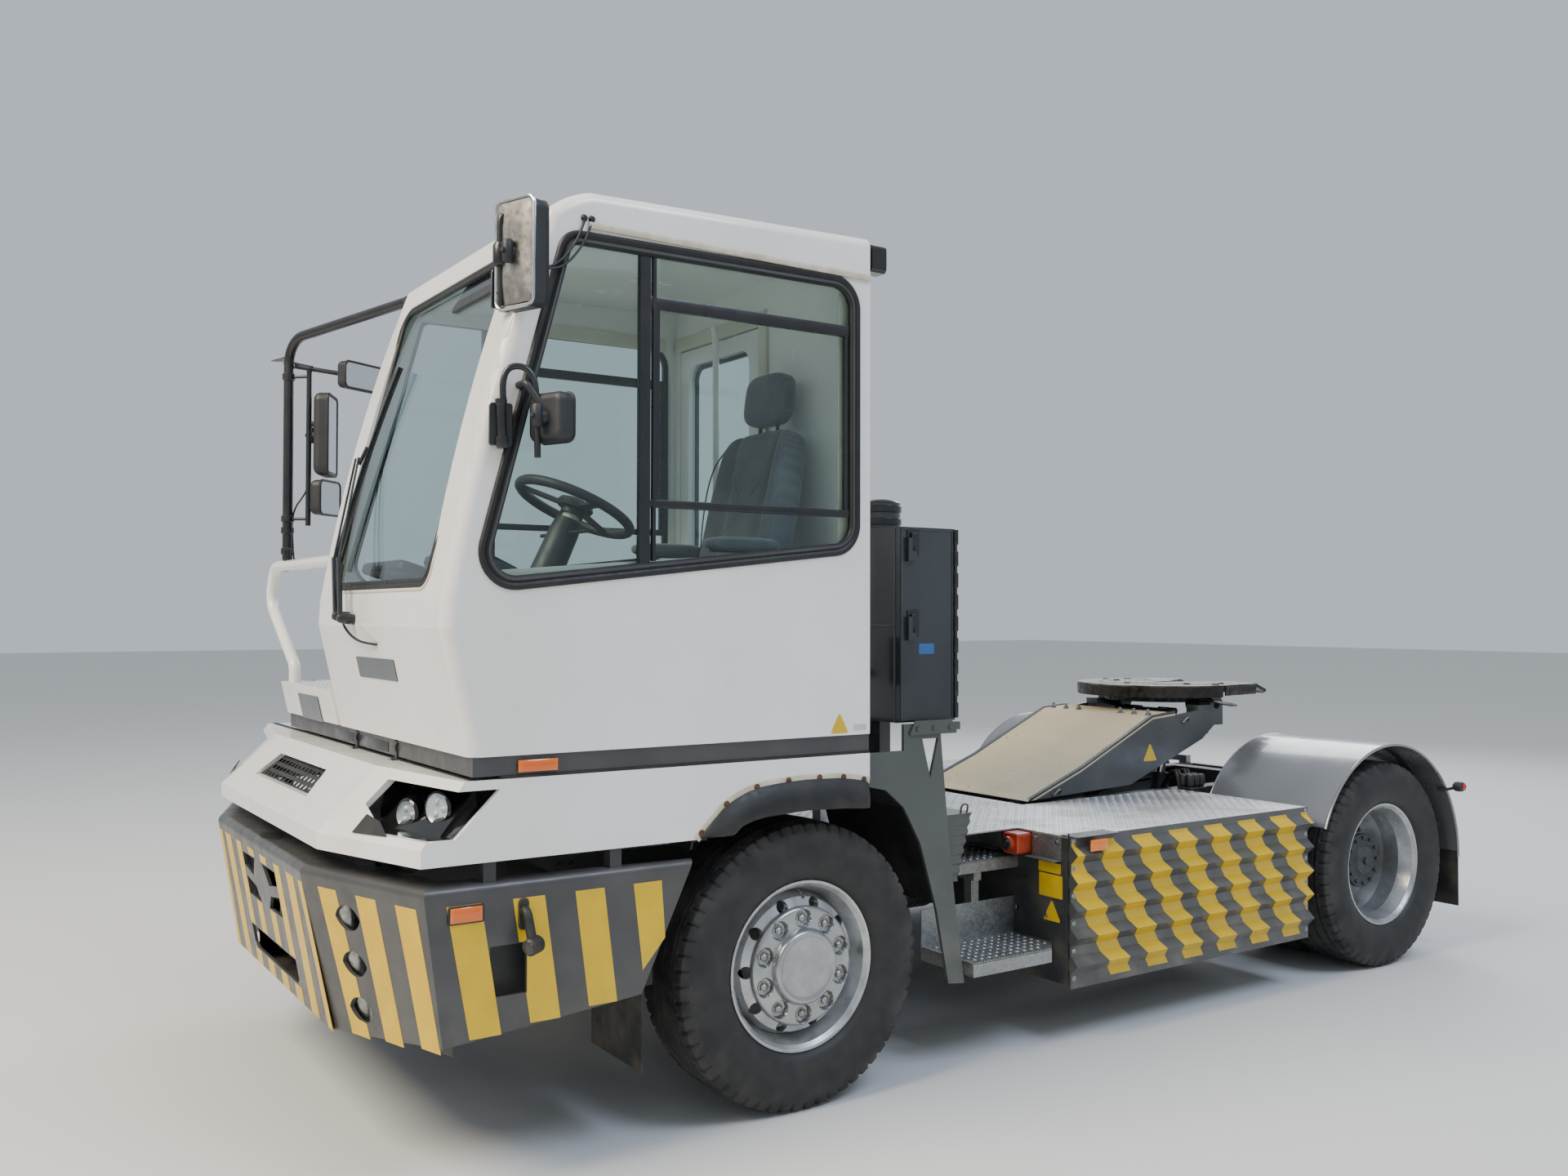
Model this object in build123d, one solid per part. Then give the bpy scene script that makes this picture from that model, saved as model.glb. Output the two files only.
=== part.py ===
from build123d import *
import os
from math import atan2, cos, degrees, pi, radians, sin

# Electric terminal tractor with a one-man cab, a lifting fifth wheel and side battery boxes.
# Millimetres. X points forward, Y to the vehicle's left, Z up from the ground.
# The origin is on the ground, below the middle of the vehicle.

os.makedirs("parts", exist_ok=True)

# Widths are measured from the middle of the vehicle
HALF_WIDTH = 1250

# Running gear
FRONT_AXLE_X = 1265
WHEELBASE = 3500
REAR_AXLE_X = FRONT_AXLE_X - WHEELBASE
TYRE_RADIUS = 506
TYRE_WIDTH = 315
TREAD_WIDTH = 262
BEAD_RADIUS = 286
RIM_LIP_RADIUS = 298
RIM_WIDTH = 250
RIM_WALL = 9
FRONT_TYRE_Y = HALF_WIDTH - 195
REAR_OUTER_TYRE_Y = HALF_WIDTH - 175
TWIN_SPACING = 345
AXLE_Z = TYRE_RADIUS
SEAT_GAP = 0.3
RUNNING_GAP = 6

# Body
BODY_SIDE_Y = HALF_WIDTH - 10
SKIRT_BOTTOM_Z = 1000
SKIRT_LIP_Z = 1052
SKIRT_TOP_Z = 1245
SKIRT_WALL = 20
BODY_REAR_X = FRONT_AXLE_X - 250
ARCH_RADIUS = 640
ARCH_TOP_Z = 1168

# Cab
CAB_WALL = 40
CAB_LEFT_Y = BODY_SIDE_Y
CAB_RIGHT_Y = -160
FLOOR_BOTTOM_Z = 1255
CAB_BOTTOM_Z = 1314
ROOF_SEAM_Z = 2966
CAB_CORNER_R = 42
GLASS = 6
TILT_X = FRONT_AXLE_X + 1222
TILT_Z = 1285
TILT_PIN_R = 14

# Side platform right of the cab
PLATFORM_Y = -938
PLATFORM_TOP_Z = 1450
PLATFORM_WALL = 20

# Frame
RAIL_OUTER_Y = 415
RAIL_FLANGE = 80
RAIL_WEB = 10
RAIL_BOTTOM_Z = 595
RAIL_TOP_Z = 832
RAIL_FRONT_X = FRONT_AXLE_X + 1320
RAIL_REAR_X = REAR_AXLE_X - 505
DECK_TOP_Z = 841
DECK_PLATE = 6
LANDING_Z = 1085

# Battery boxes
BOX_FRONT_X = FRONT_AXLE_X - 1295
BOX_REAR_X = FRONT_AXLE_X - 2865
BOX_INNER_Y = 450
RIDGE_COUNT = 5
RIDGE_PITCH = 110.75
FIRST_RIDGE_Z = 327
RIDGE_HEIGHT = 40
BOX_OUTER_Y = HALF_WIDTH - RIDGE_HEIGHT - 4
BOX_BOTTOM_Z = 240

# Lifting boom and fifth wheel
BOOM_PIVOT_X = FRONT_AXLE_X - 1860
BOOM_PIVOT_Z = 778
BOOM_HALF_WIDTH = 400
BOOM_PLATE = 16
RAMP_THICK = 14
COUPLING_X = FRONT_AXLE_X - 3250
COUPLING_TOP_Z = 1365
COUPLING_R = 440
COUPLING_PLATE = 36
COUPLING_PIVOT_Z = 1262
TRUNNION_R = 25
BOOM_PIN_R = 25
KINGPIN_SLOT_R = 28


def outline_xz(points, y_low, y_high):
    """Solid with a side-view outline, carried across the vehicle."""
    ring = [(x, y_low, z) for x, z in points]
    return extrude(make_face(Polyline(*ring, close=True)), amount=y_high - y_low, dir=(0, 1, 0))


def outline_xy(points, z_low, z_high):
    """Solid with a plan outline, carried upwards."""
    ring = [(x, y, z_low) for x, y in points]
    return extrude(make_face(Polyline(*ring, close=True)), amount=z_high - z_low, dir=(0, 0, 1))


def outline_yz(points, x_low, x_high):
    """Solid with a front-view outline, carried forwards."""
    ring = [(x_low, y, z) for y, z in points]
    return extrude(make_face(Polyline(*ring, close=True)), amount=x_high - x_low, dir=(1, 0, 0))


def block(x_low, x_high, y_low, y_high, z_low, z_high):
    centre = ((x_low + x_high) / 2, (y_low + y_high) / 2, (z_low + z_high) / 2)
    return Pos(*centre) * Box(x_high - x_low, y_high - y_low, z_high - z_low)


def rod_x(y, z, radius, x_low, x_high):
    return Pos((x_low + x_high) / 2, y, z) * Rot(0, 90, 0) * Cylinder(radius, x_high - x_low)


def rod_y(x, z, radius, y_low, y_high):
    return Pos(x, (y_low + y_high) / 2, z) * Rot(90, 0, 0) * Cylinder(radius, y_high - y_low)


def rod_z(x, y, radius, z_low, z_high):
    return Pos(x, y, (z_low + z_high) / 2) * Cylinder(radius, z_high - z_low)


def rod_between(start, end, radius):
    """Straight round bar between two points."""
    start, end = Vector(*start), Vector(*end)
    way = end - start
    return extrude(Plane(origin=start, z_dir=way) * Circle(radius), amount=way.length)


def tube(points, radius, bend):
    """Round bar bent along a route, with one bend radius."""
    route = FilletPolyline(*points, radius=bend)
    return sweep(Plane(origin=route @ 0, z_dir=route % 0) * Circle(radius), path=route)


def lathe_y(profile, x, y, z):
    """Turned piece about a lateral axis. The profile lists (outward distance, radius)."""
    ring = make_face(Polyline(*[(r, w, 0) for w, r in profile], close=True))
    return Pos(x, y, z) * revolve(ring, Axis.Y)


def other_side(piece):
    return mirror(piece, about=Plane.XZ)


def both_sides(piece):
    return piece + other_side(piece)


def ahead(distance):
    """Place along the vehicle, measured forward from the front axle."""
    return FRONT_AXLE_X + distance


# Wheels

def tyre_ring(y):
    half = TYRE_WIDTH / 2
    tread = TREAD_WIDTH / 2
    bead = RIM_WIDTH / 2 - 17
    profile = [
        (-bead, BEAD_RADIUS),
        (-bead - 2, RIM_LIP_RADIUS + 1),
        (-bead - 20, RIM_LIP_RADIUS + 2),
        (-half + 12, BEAD_RADIUS + 40),
        (-half, TYRE_RADIUS - 110),
        (-half + 8, TYRE_RADIUS - 50),
        (-tread, TYRE_RADIUS - 8),
        (-tread + 22, TYRE_RADIUS),
        (tread - 22, TYRE_RADIUS),
        (tread, TYRE_RADIUS - 8),
        (half - 8, TYRE_RADIUS - 50),
        (half, TYRE_RADIUS - 110),
        (half - 12, BEAD_RADIUS + 40),
        (bead + 20, RIM_LIP_RADIUS + 2),
        (bead + 2, RIM_LIP_RADIUS + 1),
        (bead, BEAD_RADIUS),
    ]
    return lathe_y(profile, 0, y, 0)


def rim_profile(disc):
    """Rim barrel with its two lips and a disc. The disc lists (outward distance, radius)."""
    half = RIM_WIDTH / 2
    seat = BEAD_RADIUS - SEAT_GAP
    return [
        (-half, RIM_LIP_RADIUS), (-half, RIM_LIP_RADIUS - RIM_WALL),
        (-half + 14, seat - RIM_WALL), (-40, seat - 26), disc[0],
    ] + disc[1:-1] + [
        disc[-1], (50, seat - 30), (half - 14, seat - RIM_WALL),
        (half, RIM_LIP_RADIUS - RIM_WALL), (half, RIM_LIP_RADIUS),
        (half - 11, RIM_LIP_RADIUS), (half - 14, seat), (60, seat),
        (35, seat - 20), (-35, seat - 20), (-60, seat), (-half + 14, seat),
        (-half + 11, RIM_LIP_RADIUS),
    ]


HAND_HOLES = 10
STUD_COUNT = 10
STUD_CIRCLE = 335
HUB_BORE_R = 42.05
REAR_SPINDLE_R = 55


def hand_holes(y_low, y_high, circle, radius):
    """Openings round a wheel disc."""
    holes = [Rot(0, 360 * n / HAND_HOLES, 0) * rod_y(circle, 0, radius, y_low, y_high) for n in range(HAND_HOLES)]
    return holes


def front_wheel(side):
    """Front rim with its outset disc and the hub that turns on the spindle."""
    disc = [
        (0, 245), (60, 225), (88, 196), (76, 176), (66, 140), (-70, 140), (-70, HUB_BORE_R),
        (108, HUB_BORE_R), (108, 0), (146, 0), (146, 108), (112, 124), (106, 192), (86, 236), (42, 254),
    ]
    wheel = lathe_y(rim_profile(disc), 0, 0, 0)
    wheel -= hand_holes(10, 130, 218, 22)
    if side < 0:
        wheel = other_side(wheel)
    return Pos(FRONT_AXLE_X, side * FRONT_TYRE_Y, AXLE_Z) * wheel


def rear_wheel_pair(side):
    """Twin rims bolted disc to disc on one planetary hub."""
    outer_disc = [
        (-60, 246), (-110, 236), (-160, 215), (-168, 180), (-168, 120), (-150, 120),
        (-150, 176), (-143, 205), (-98, 228), (-30, 252),
    ]
    outer = lathe_y(rim_profile(outer_disc), 0, TWIN_SPACING / 2, 0)
    inner = lathe_y([(-w, r) for w, r in rim_profile(outer_disc)], 0, -TWIN_SPACING / 2, 0)
    hub = lathe_y(
        [(-60, REAR_SPINDLE_R + 0.05), (-60, 138), (4, 138), (4, 176), (34, 176), (34, 150), (88, 142), (104, 120),
         (118, 60), (118, 0), (-8, 0), (-8, REAR_SPINDLE_R + 0.05)],
        0, 0, 0)
    wheel = outer + inner + hub
    wheel -= hand_holes(-60, 60, 205, 24)
    if side < 0:
        wheel = other_side(wheel)
    return Pos(REAR_AXLE_X, side * (REAR_OUTER_TYRE_Y - TWIN_SPACING / 2), AXLE_Z) * wheel


def front_tyre(side):
    return Pos(FRONT_AXLE_X, side * FRONT_TYRE_Y, AXLE_Z) * tyre_ring(0)


def rear_tyres(side):
    pair = tyre_ring(TWIN_SPACING / 2) + tyre_ring(-TWIN_SPACING / 2)
    return Pos(REAR_AXLE_X, side * (REAR_OUTER_TYRE_Y - TWIN_SPACING / 2), AXLE_Z) * pair


# Steering gear

KINGPIN_Y = 868
KINGPIN_R = 22
KINGPIN_BOSS_R = 52
BEAM_BOTTOM_Z = AXLE_Z - 62
BEAM_TOP_Z = AXLE_Z + 58
STEER_ARM = 190
TIE_ROD_Z = BEAM_BOTTOM_Z - 75
BALL_PIN_R = 14
SPINDLE_R = 42
DRUM_R = 196


def front_axle():
    """Forged beam with kingpin bosses, dropped in the middle, and its two leaf springs."""
    drop = 70
    section = [
        (-KINGPIN_Y, BEAM_BOTTOM_Z), (-KINGPIN_Y + 100, BEAM_BOTTOM_Z), (-KINGPIN_Y + 200, BEAM_BOTTOM_Z - drop),
        (KINGPIN_Y - 200, BEAM_BOTTOM_Z - drop), (KINGPIN_Y - 100, BEAM_BOTTOM_Z), (KINGPIN_Y, BEAM_BOTTOM_Z),
        (KINGPIN_Y, BEAM_TOP_Z), (KINGPIN_Y - 170, BEAM_TOP_Z - drop),
        (-KINGPIN_Y + 170, BEAM_TOP_Z - drop), (-KINGPIN_Y, BEAM_TOP_Z),
    ]
    beam = outline_yz(section, ahead(-42), ahead(42))
    web_cut = outline_yz([
        (-KINGPIN_Y + 230, BEAM_BOTTOM_Z - drop + 20), (KINGPIN_Y - 230, BEAM_BOTTOM_Z - drop + 20),
        (KINGPIN_Y - 230, BEAM_TOP_Z - drop - 20), (-KINGPIN_Y + 230, BEAM_TOP_Z - drop - 20)], 0, 30)
    beam -= Pos(ahead(12), 0, 0) * web_cut
    beam -= Pos(ahead(-42), 0, 0) * web_cut
    for side in (-1, 1):
        beam += rod_z(ahead(0), side * KINGPIN_Y, KINGPIN_BOSS_R, BEAM_BOTTOM_Z, BEAM_TOP_Z)
        beam += leaf_spring(side)
    for side in (-1, 1):
        beam -= rod_z(ahead(0), side * KINGPIN_Y, KINGPIN_R + 0.05, BEAM_BOTTOM_Z - 1, BEAM_TOP_Z + 1)
    return beam


SPRING_Y = 375
SPRING_WIDTH = 78
SPRING_HALF_LENGTH = 720
SPRING_LEAVES = [(1.0, 0), (0.86, 1), (0.6, 2)]
LEAF = 15


def leaf_spring(side):
    """Parabolic leaves, one on another, clamped on the beam and hung from two eyes."""
    low = SPRING_Y - SPRING_WIDTH / 2
    seat_z = BEAM_TOP_Z - 70
    pack = block(ahead(-75), ahead(75), low, low + SPRING_WIDTH, seat_z, seat_z + LEAF)
    rise = RAIL_BOTTOM_Z - 46 - seat_z - 4 * LEAF
    for share, level in SPRING_LEAVES:
        reach = SPRING_HALF_LENGTH * share
        base = seat_z + LEAF * (3 - level)
        tip = base + rise * share ** 2
        leaf = outline_xz([
            (ahead(-reach), tip), (ahead(-reach / 2), base + (tip - base) * 0.3), (ahead(-70), base),
            (ahead(70), base), (ahead(reach / 2), base + (tip - base) * 0.3), (ahead(reach), tip),
            (ahead(reach), tip + LEAF), (ahead(reach / 2), base + (tip - base) * 0.3 + LEAF),
            (ahead(70), base + LEAF), (ahead(-70), base + LEAF),
            (ahead(-reach / 2), base + (tip - base) * 0.3 + LEAF), (ahead(-reach), tip + LEAF)],
            low, low + SPRING_WIDTH)
        pack += leaf
    eye_z = seat_z + 3 * LEAF + rise + LEAF / 2
    for end in (-1, 1):
        pack += rod_y(ahead(end * SPRING_HALF_LENGTH), eye_z, 28, low, low + SPRING_WIDTH)
        pack += block(ahead(end * SPRING_HALF_LENGTH - 24), ahead(end * SPRING_HALF_LENGTH + 24), low, low + SPRING_WIDTH,
                      eye_z, RAIL_BOTTOM_Z)
    pack += block(ahead(-62), ahead(62), low - 8, low + SPRING_WIDTH + 8, seat_z - 140, seat_z - 116)
    for x in (-50, 50):
        for y in (low - 1, low + SPRING_WIDTH + 1):
            pack += rod_z(ahead(x), y, 9, seat_z - 140, seat_z + 5 * LEAF)
    if side < 0:
        pack = other_side(pack)
    return pack


def knuckle(side):
    """Forked steering knuckle with its kingpin, spindle, brake carrier and steering arm."""
    gap = 5
    lug = 36
    low, high = BEAM_BOTTOM_Z - gap - lug, BEAM_TOP_Z + gap + lug
    body = rod_z(ahead(0), KINGPIN_Y, KINGPIN_BOSS_R - 2, low, low + lug)
    body += rod_z(ahead(0), KINGPIN_Y, KINGPIN_BOSS_R - 2, high - lug, high)
    body += rod_z(ahead(0), KINGPIN_Y, KINGPIN_R, low, high)
    web_y = KINGPIN_Y + KINGPIN_BOSS_R + 8
    for z in (low, high - lug):
        body += block(ahead(-46), ahead(46), KINGPIN_Y, web_y + 4, z, z + lug)
    body += block(ahead(-46), ahead(46), web_y, web_y + 34, low, high)
    body += rod_y(ahead(0), AXLE_Z, SPINDLE_R, web_y, FRONT_TYRE_Y + 104)
    body += rod_y(ahead(0), AXLE_Z, DRUM_R - 40, web_y + 10, web_y + 26)
    body += outline_xy([
        (ahead(-30), KINGPIN_Y - 34), (ahead(-30), KINGPIN_Y + 34),
        (ahead(-STEER_ARM), KINGPIN_Y + 24), (ahead(-STEER_ARM), KINGPIN_Y - 24)], low, low + 24)
    body += rod_z(ahead(-STEER_ARM), KINGPIN_Y, 26, low, low + 24)
    body += rod_z(ahead(-STEER_ARM), KINGPIN_Y, BALL_PIN_R, TIE_ROD_Z - 30, low)
    if side < 0:
        body = other_side(body)
    return body


def tie_rod():
    """Cross tube between the two steering arms, with a ball end below each."""
    end_z = TIE_ROD_Z
    bar = rod_y(ahead(-STEER_ARM), end_z, 19, -KINGPIN_Y, KINGPIN_Y)
    for side in (-1, 1):
        bar += rod_z(ahead(-STEER_ARM), side * KINGPIN_Y, 27, end_z - 26, end_z + 26)
    for side in (-1, 1):
        bar -= rod_z(ahead(-STEER_ARM), side * KINGPIN_Y, BALL_PIN_R + 0.05, end_z - 40, end_z + 40)
    return bar


# Rear axle and drive

def rear_axle():
    """Driven axle housing with its differential, spring seats and brake carriers."""
    housing = rod_y(REAR_AXLE_X, AXLE_Z, 78, -560, 560)
    housing += Pos(REAR_AXLE_X, 0, AXLE_Z) * Sphere(205)
    housing += rod_x(0, AXLE_Z, 92, REAR_AXLE_X, REAR_AXLE_X + 330)
    tube_end = REAR_OUTER_TYRE_Y - TWIN_SPACING / 2 - 14
    for side in (-1, 1):
        housing += rod_y(REAR_AXLE_X, AXLE_Z, REAR_SPINDLE_R, min(side * 500, side * tube_end), max(side * 500, side * tube_end))
        y_low, y_high = sorted((side * (RAIL_OUTER_Y - RAIL_FLANGE), side * RAIL_OUTER_Y))
        housing += block(REAR_AXLE_X - 110, REAR_AXLE_X + 110, y_low, y_high, AXLE_Z, RAIL_BOTTOM_Z)
    return housing


MOTOR_X = FRONT_AXLE_X - 1230
MOTOR_LENGTH = 640
MOTOR_R = 205


def drive_unit():
    """Traction motor with its shaft to the rear axle."""
    rear = MOTOR_X - MOTOR_LENGTH / 2
    motor = rod_x(0, AXLE_Z + 30, MOTOR_R, rear, rear + MOTOR_LENGTH)
    motor += block(rear + 60, rear + MOTOR_LENGTH - 60, -RAIL_OUTER_Y + RAIL_WEB + SEAT_GAP,
                   RAIL_OUTER_Y - RAIL_WEB - SEAT_GAP, 640, 700)
    motor += rod_between((rear + 10, 0, AXLE_Z + 30), (REAR_AXLE_X + 335, 0, AXLE_Z), 48)
    return motor


# Frame

def rail(side):
    """Channel rail, open towards the middle of the vehicle."""
    web_in = RAIL_OUTER_Y - RAIL_WEB
    beam = block(RAIL_REAR_X, RAIL_FRONT_X, web_in, RAIL_OUTER_Y, RAIL_BOTTOM_Z, RAIL_TOP_Z)
    for z in (RAIL_BOTTOM_Z, RAIL_TOP_Z - RAIL_WEB):
        beam += block(RAIL_REAR_X, RAIL_FRONT_X, RAIL_OUTER_Y - RAIL_FLANGE, RAIL_OUTER_Y, z, z + RAIL_WEB)
    if side < 0:
        beam = other_side(beam)
    return beam


# Cross members: place along the vehicle, length along the vehicle, bottom and top height
CROSS_MEMBERS = [
    (RAIL_FRONT_X - 60, 110, RAIL_BOTTOM_Z, RAIL_TOP_Z),
    (FRONT_AXLE_X + 560, 90, RAIL_TOP_Z - 110, RAIL_TOP_Z),
    (FRONT_AXLE_X - 640, 90, RAIL_TOP_Z - 110, RAIL_TOP_Z),
    (BOOM_PIVOT_X + 190, 110, RAIL_BOTTOM_Z + 130, RAIL_TOP_Z),
    (REAR_AXLE_X - 330, 90, RAIL_TOP_Z - 140, RAIL_TOP_Z),
    (RAIL_REAR_X + 20, 40, RAIL_BOTTOM_Z, RAIL_TOP_Z),
]

LIFT_PIN_X = FRONT_AXLE_X - 2950
LIFT_PIN_Z = 500
LIFT_PIN_R = 18
LIFT_Y = 235
HINGE_LUGS = [(60, 24), (520, 24)]


def frame_rails():
    """Ladder frame with its cross members, boom brackets and cab supports."""
    frame = rail(1) + rail(-1)
    for x, length, z_low, z_high in CROSS_MEMBERS:
        half = RAIL_OUTER_Y - RAIL_WEB
        frame += block(x - length / 2, x + length / 2, -half, half, z_low, z_high)
    # Ears that hold the boom's front pivot
    for side in (-1, 1):
        y_low, y_high = sorted((side * 330, side * 404))
        frame += block(BOOM_PIVOT_X - 60, BOOM_PIVOT_X + 150, y_low, y_high, RAIL_BOTTOM_Z + 100, BOOM_PIVOT_Z + 30)
    frame -= rod_y(BOOM_PIVOT_X, BOOM_PIVOT_Z, BOOM_PIN_R + 0.05, -404.5, 404.5)
    # Cross tube that carries the foot of the lifting cylinders
    frame += block(LIFT_PIN_X - 50, LIFT_PIN_X + 50, -RAIL_OUTER_Y + RAIL_WEB, RAIL_OUTER_Y - RAIL_WEB,
                   LIFT_PIN_Z - 140, LIFT_PIN_Z - 60)
    for side in (-1, 1):
        for offset in (-38, 26):
            y = side * LIFT_Y + offset
            frame += block(LIFT_PIN_X - 34, LIFT_PIN_X + 34, y, y + 12, LIFT_PIN_Z - 80, LIFT_PIN_Z + 34)
        frame += rod_y(LIFT_PIN_X, LIFT_PIN_Z, LIFT_PIN_R, side * LIFT_Y - 38, side * LIFT_Y + 38)
    for side in (-1, 1):
        y_low, y_high = sorted((side * 396, side * 404.5))
        frame += block(LIFT_PIN_X - 50, LIFT_PIN_X + 50, y_low, y_high, LIFT_PIN_Z - 140, RAIL_BOTTOM_Z + 40)
    # Cab cross beam with the two lugs of the tilt hinge
    beam_x = TILT_X
    frame += block(beam_x - 50, beam_x + 40, -380, 620, 1110, 1190)
    for side in (-1, 1):
        y_low, y_high = sorted((side * 340, side * 414))
        frame += block(beam_x - 40, beam_x + 30, y_low, y_high, RAIL_TOP_Z - 20, 1120)
    for y, width in HINGE_LUGS:
        frame += block(beam_x - 18, beam_x + 18, y - width / 2, y + width / 2, 1180, TILT_Z)
        frame += rod_y(beam_x, TILT_Z, 24, y - width / 2, y + width / 2)
    for y, width in HINGE_LUGS:
        frame -= rod_y(beam_x, TILT_Z, TILT_PIN_R + 0.05, y - width, y + width)
    # Rear cab posts with rubber pads on top
    for y in (-200, 700):
        frame += block(BODY_REAR_X + 60, BODY_REAR_X + 140, y - 40, y + 40, 1180, FLOOR_BOTTOM_Z - SEAT_GAP)
    frame += block(BODY_REAR_X + 60, BODY_REAR_X + 140, -414, 740, 1172, 1222)
    for side in (-1, 1):
        y_low, y_high = sorted((side * 340, side * 414))
        frame += block(BODY_REAR_X + 60, BODY_REAR_X + 140, y_low, y_high, RAIL_TOP_Z - 20, 1180)
    # Outriggers that carry the bumper and skirt
    for side in (-1, 1):
        y_low, y_high = sorted((side * 400, side * (HALF_WIDTH - 31)))
        for x in (ahead(place) for place in POST_PLACES):
            frame += block(x - 30, x + 30, y_low, y_high, RAIL_TOP_Z - 60, RAIL_TOP_Z)
            y_low, y_high = sorted((side * (HALF_WIDTH - 60), side * (HALF_WIDTH - 17)))
            frame += block(x - 20, x + 20, y_low, y_high, RAIL_TOP_Z - 60, SKIRT_BOTTOM_Z - SEAT_GAP)
            y_low, y_high = sorted((side * 400, side * (HALF_WIDTH - 31)))
    return frame


# Bumper

BUMPER_TOP_Z = 940
POST_PLACES = (760, 1180)
BUMPER_FOOT_Z = 400
BUMPER_PLATE = 14
BUMPER_ROLL = 26
BUMPER_TOP = [(474, HALF_WIDTH), (1390, HALF_WIDTH), (1588, 640), (1588, -640), (1390, -HALF_WIDTH), (474, -HALF_WIDTH)]
BUMPER_FOOT = [(474, HALF_WIDTH), (1318, HALF_WIDTH), (1488, 655), (1488, -655), (1318, -HALF_WIDTH), (474, -HALF_WIDTH)]


def ruled_shell(top, foot, z_top, z_foot, inset, rear_x):
    """Solid between a plan outline at the top and one at the foot, both drawn in by one inset."""
    def ring(points, z):
        face = make_face(Polyline(*[(ahead(x), y, z) for x, y in points], close=True))
        return offset(face, amount=-inset, kind=Kind.INTERSECTION) if inset else face
    return loft([ring(foot, z_foot), ring(top, z_top)], ruled=True)


def eye_cut(y, z, half_width, half_height, x_low, x_high):
    """Pointed oval hole, made by two arcs."""
    left, right = (x_low, y - half_width, z), (x_low, y + half_width, z)
    upper = ThreePointArc(left, (x_low, y, z + half_height), right)
    lower = ThreePointArc(right, (x_low, y, z - half_height), left)
    return extrude(make_face(upper + lower), amount=x_high - x_low, dir=(1, 0, 0))


def front_bumper():
    """Heavy folded plate bumper with its towing windows and side returns."""
    outer = ruled_shell(BUMPER_TOP, BUMPER_FOOT, BUMPER_TOP_Z, BUMPER_FOOT_Z, 0, 0)
    top_edges = [e for e in outer.edges() if e.center().Z > BUMPER_TOP_Z - 1 and e.center().X > ahead(480)]
    outer = fillet(top_edges, BUMPER_ROLL)
    inner = ruled_shell(BUMPER_TOP, BUMPER_FOOT, BUMPER_TOP_Z, BUMPER_FOOT_Z - 1, BUMPER_PLATE, 0)
    inner = Pos(0, 0, -BUMPER_PLATE) * inner
    shell = outer - inner
    # Open middle of the top flange
    inside = HALF_WIDTH - BUMPER_PLATE
    shell -= outline_xy([(ahead(400), inside), (ahead(1290), inside - 86), (ahead(1460), 560), (ahead(1460), -560),
                         (ahead(1290), 86 - inside), (ahead(400), -inside)], BUMPER_TOP_Z - 60, BUMPER_TOP_Z + 10)
    # Slanted rear ends and the rising foot of the side returns
    shell -= outline_xz([(ahead(400), 960), (ahead(474), 960), (ahead(675), 530), (ahead(1330), 470),
                         (ahead(1330), 380), (ahead(400), 380)], -HALF_WIDTH - 50, HALF_WIDTH + 50)
    shell -= outline_xz([(ahead(1329), 471), (ahead(1490), 405), (ahead(1700), 405), (ahead(1700), 380),
                         (ahead(1329), 380)], -HALF_WIDTH - 50, HALF_WIDTH + 50)
    # Towing windows in the middle
    front = ahead(1380), ahead(1700)
    shell -= outline_yz([(-250, 850), (-60, 850), (-120, 780), (-250, 800)], *front)
    shell -= outline_yz([(60, 850), (250, 850), (250, 800), (120, 780)], *front)
    shell -= outline_yz([(-250, 760), (-110, 740), (-60, 690), (-250, 690)], *front)
    shell -= outline_yz([(110, 740), (250, 760), (250, 690), (60, 690)], *front)
    shell -= outline_yz([(-330, 560), (330, 560), (330, 490), (300, 470), (-300, 470), (-330, 490)], *front)
    for side in (-1, 1):
        for z in (800, 655, 510):
            shell -= eye_cut(side * 860, z, 62, 40, *front)
        y_low, y_high = sorted((side * (HALF_WIDTH - 25), side * (HALF_WIDTH + 10)))
        shell -= block(ahead(1067), ahead(1184), y_low, y_high, 597, 749)
        y_low, y_high = sorted((side * (HALF_WIDTH - 150), side * (HALF_WIDTH - 16.7)))
        for x in POST_PLACES:
            shell -= block(ahead(x - 20.3), ahead(x + 20.3), y_low, y_high, BUMPER_TOP_Z - 60, BUMPER_TOP_Z + 10)
    return shell


def tow_jaw():
    """Towing jaw behind the middle window, with its pin."""
    jaw = block(RAIL_FRONT_X - 4.7, ahead(1492), -90, 90, 560, 584)
    jaw += block(RAIL_FRONT_X - 4.7, ahead(1492), -90, 90, 690, 714)
    jaw += block(RAIL_FRONT_X - 4.7, RAIL_FRONT_X + 40, -90, 90, 560, 714)
    jaw += rod_z(ahead(1440), 0, 24, 540, 760)
    return jaw


# White lower body

SKIRT_LIP = [(-250, BODY_SIDE_Y), (1393, BODY_SIDE_Y), (1555, 728), (1555, -728), (1393, -BODY_SIDE_Y),
             (-250, -BODY_SIDE_Y)]
SKIRT_TOP = [(-250, BODY_SIDE_Y), (1261, BODY_SIDE_Y), (1352, 680), (1352, -680), (1261, -BODY_SIDE_Y),
             (-250, -BODY_SIDE_Y)]


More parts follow.
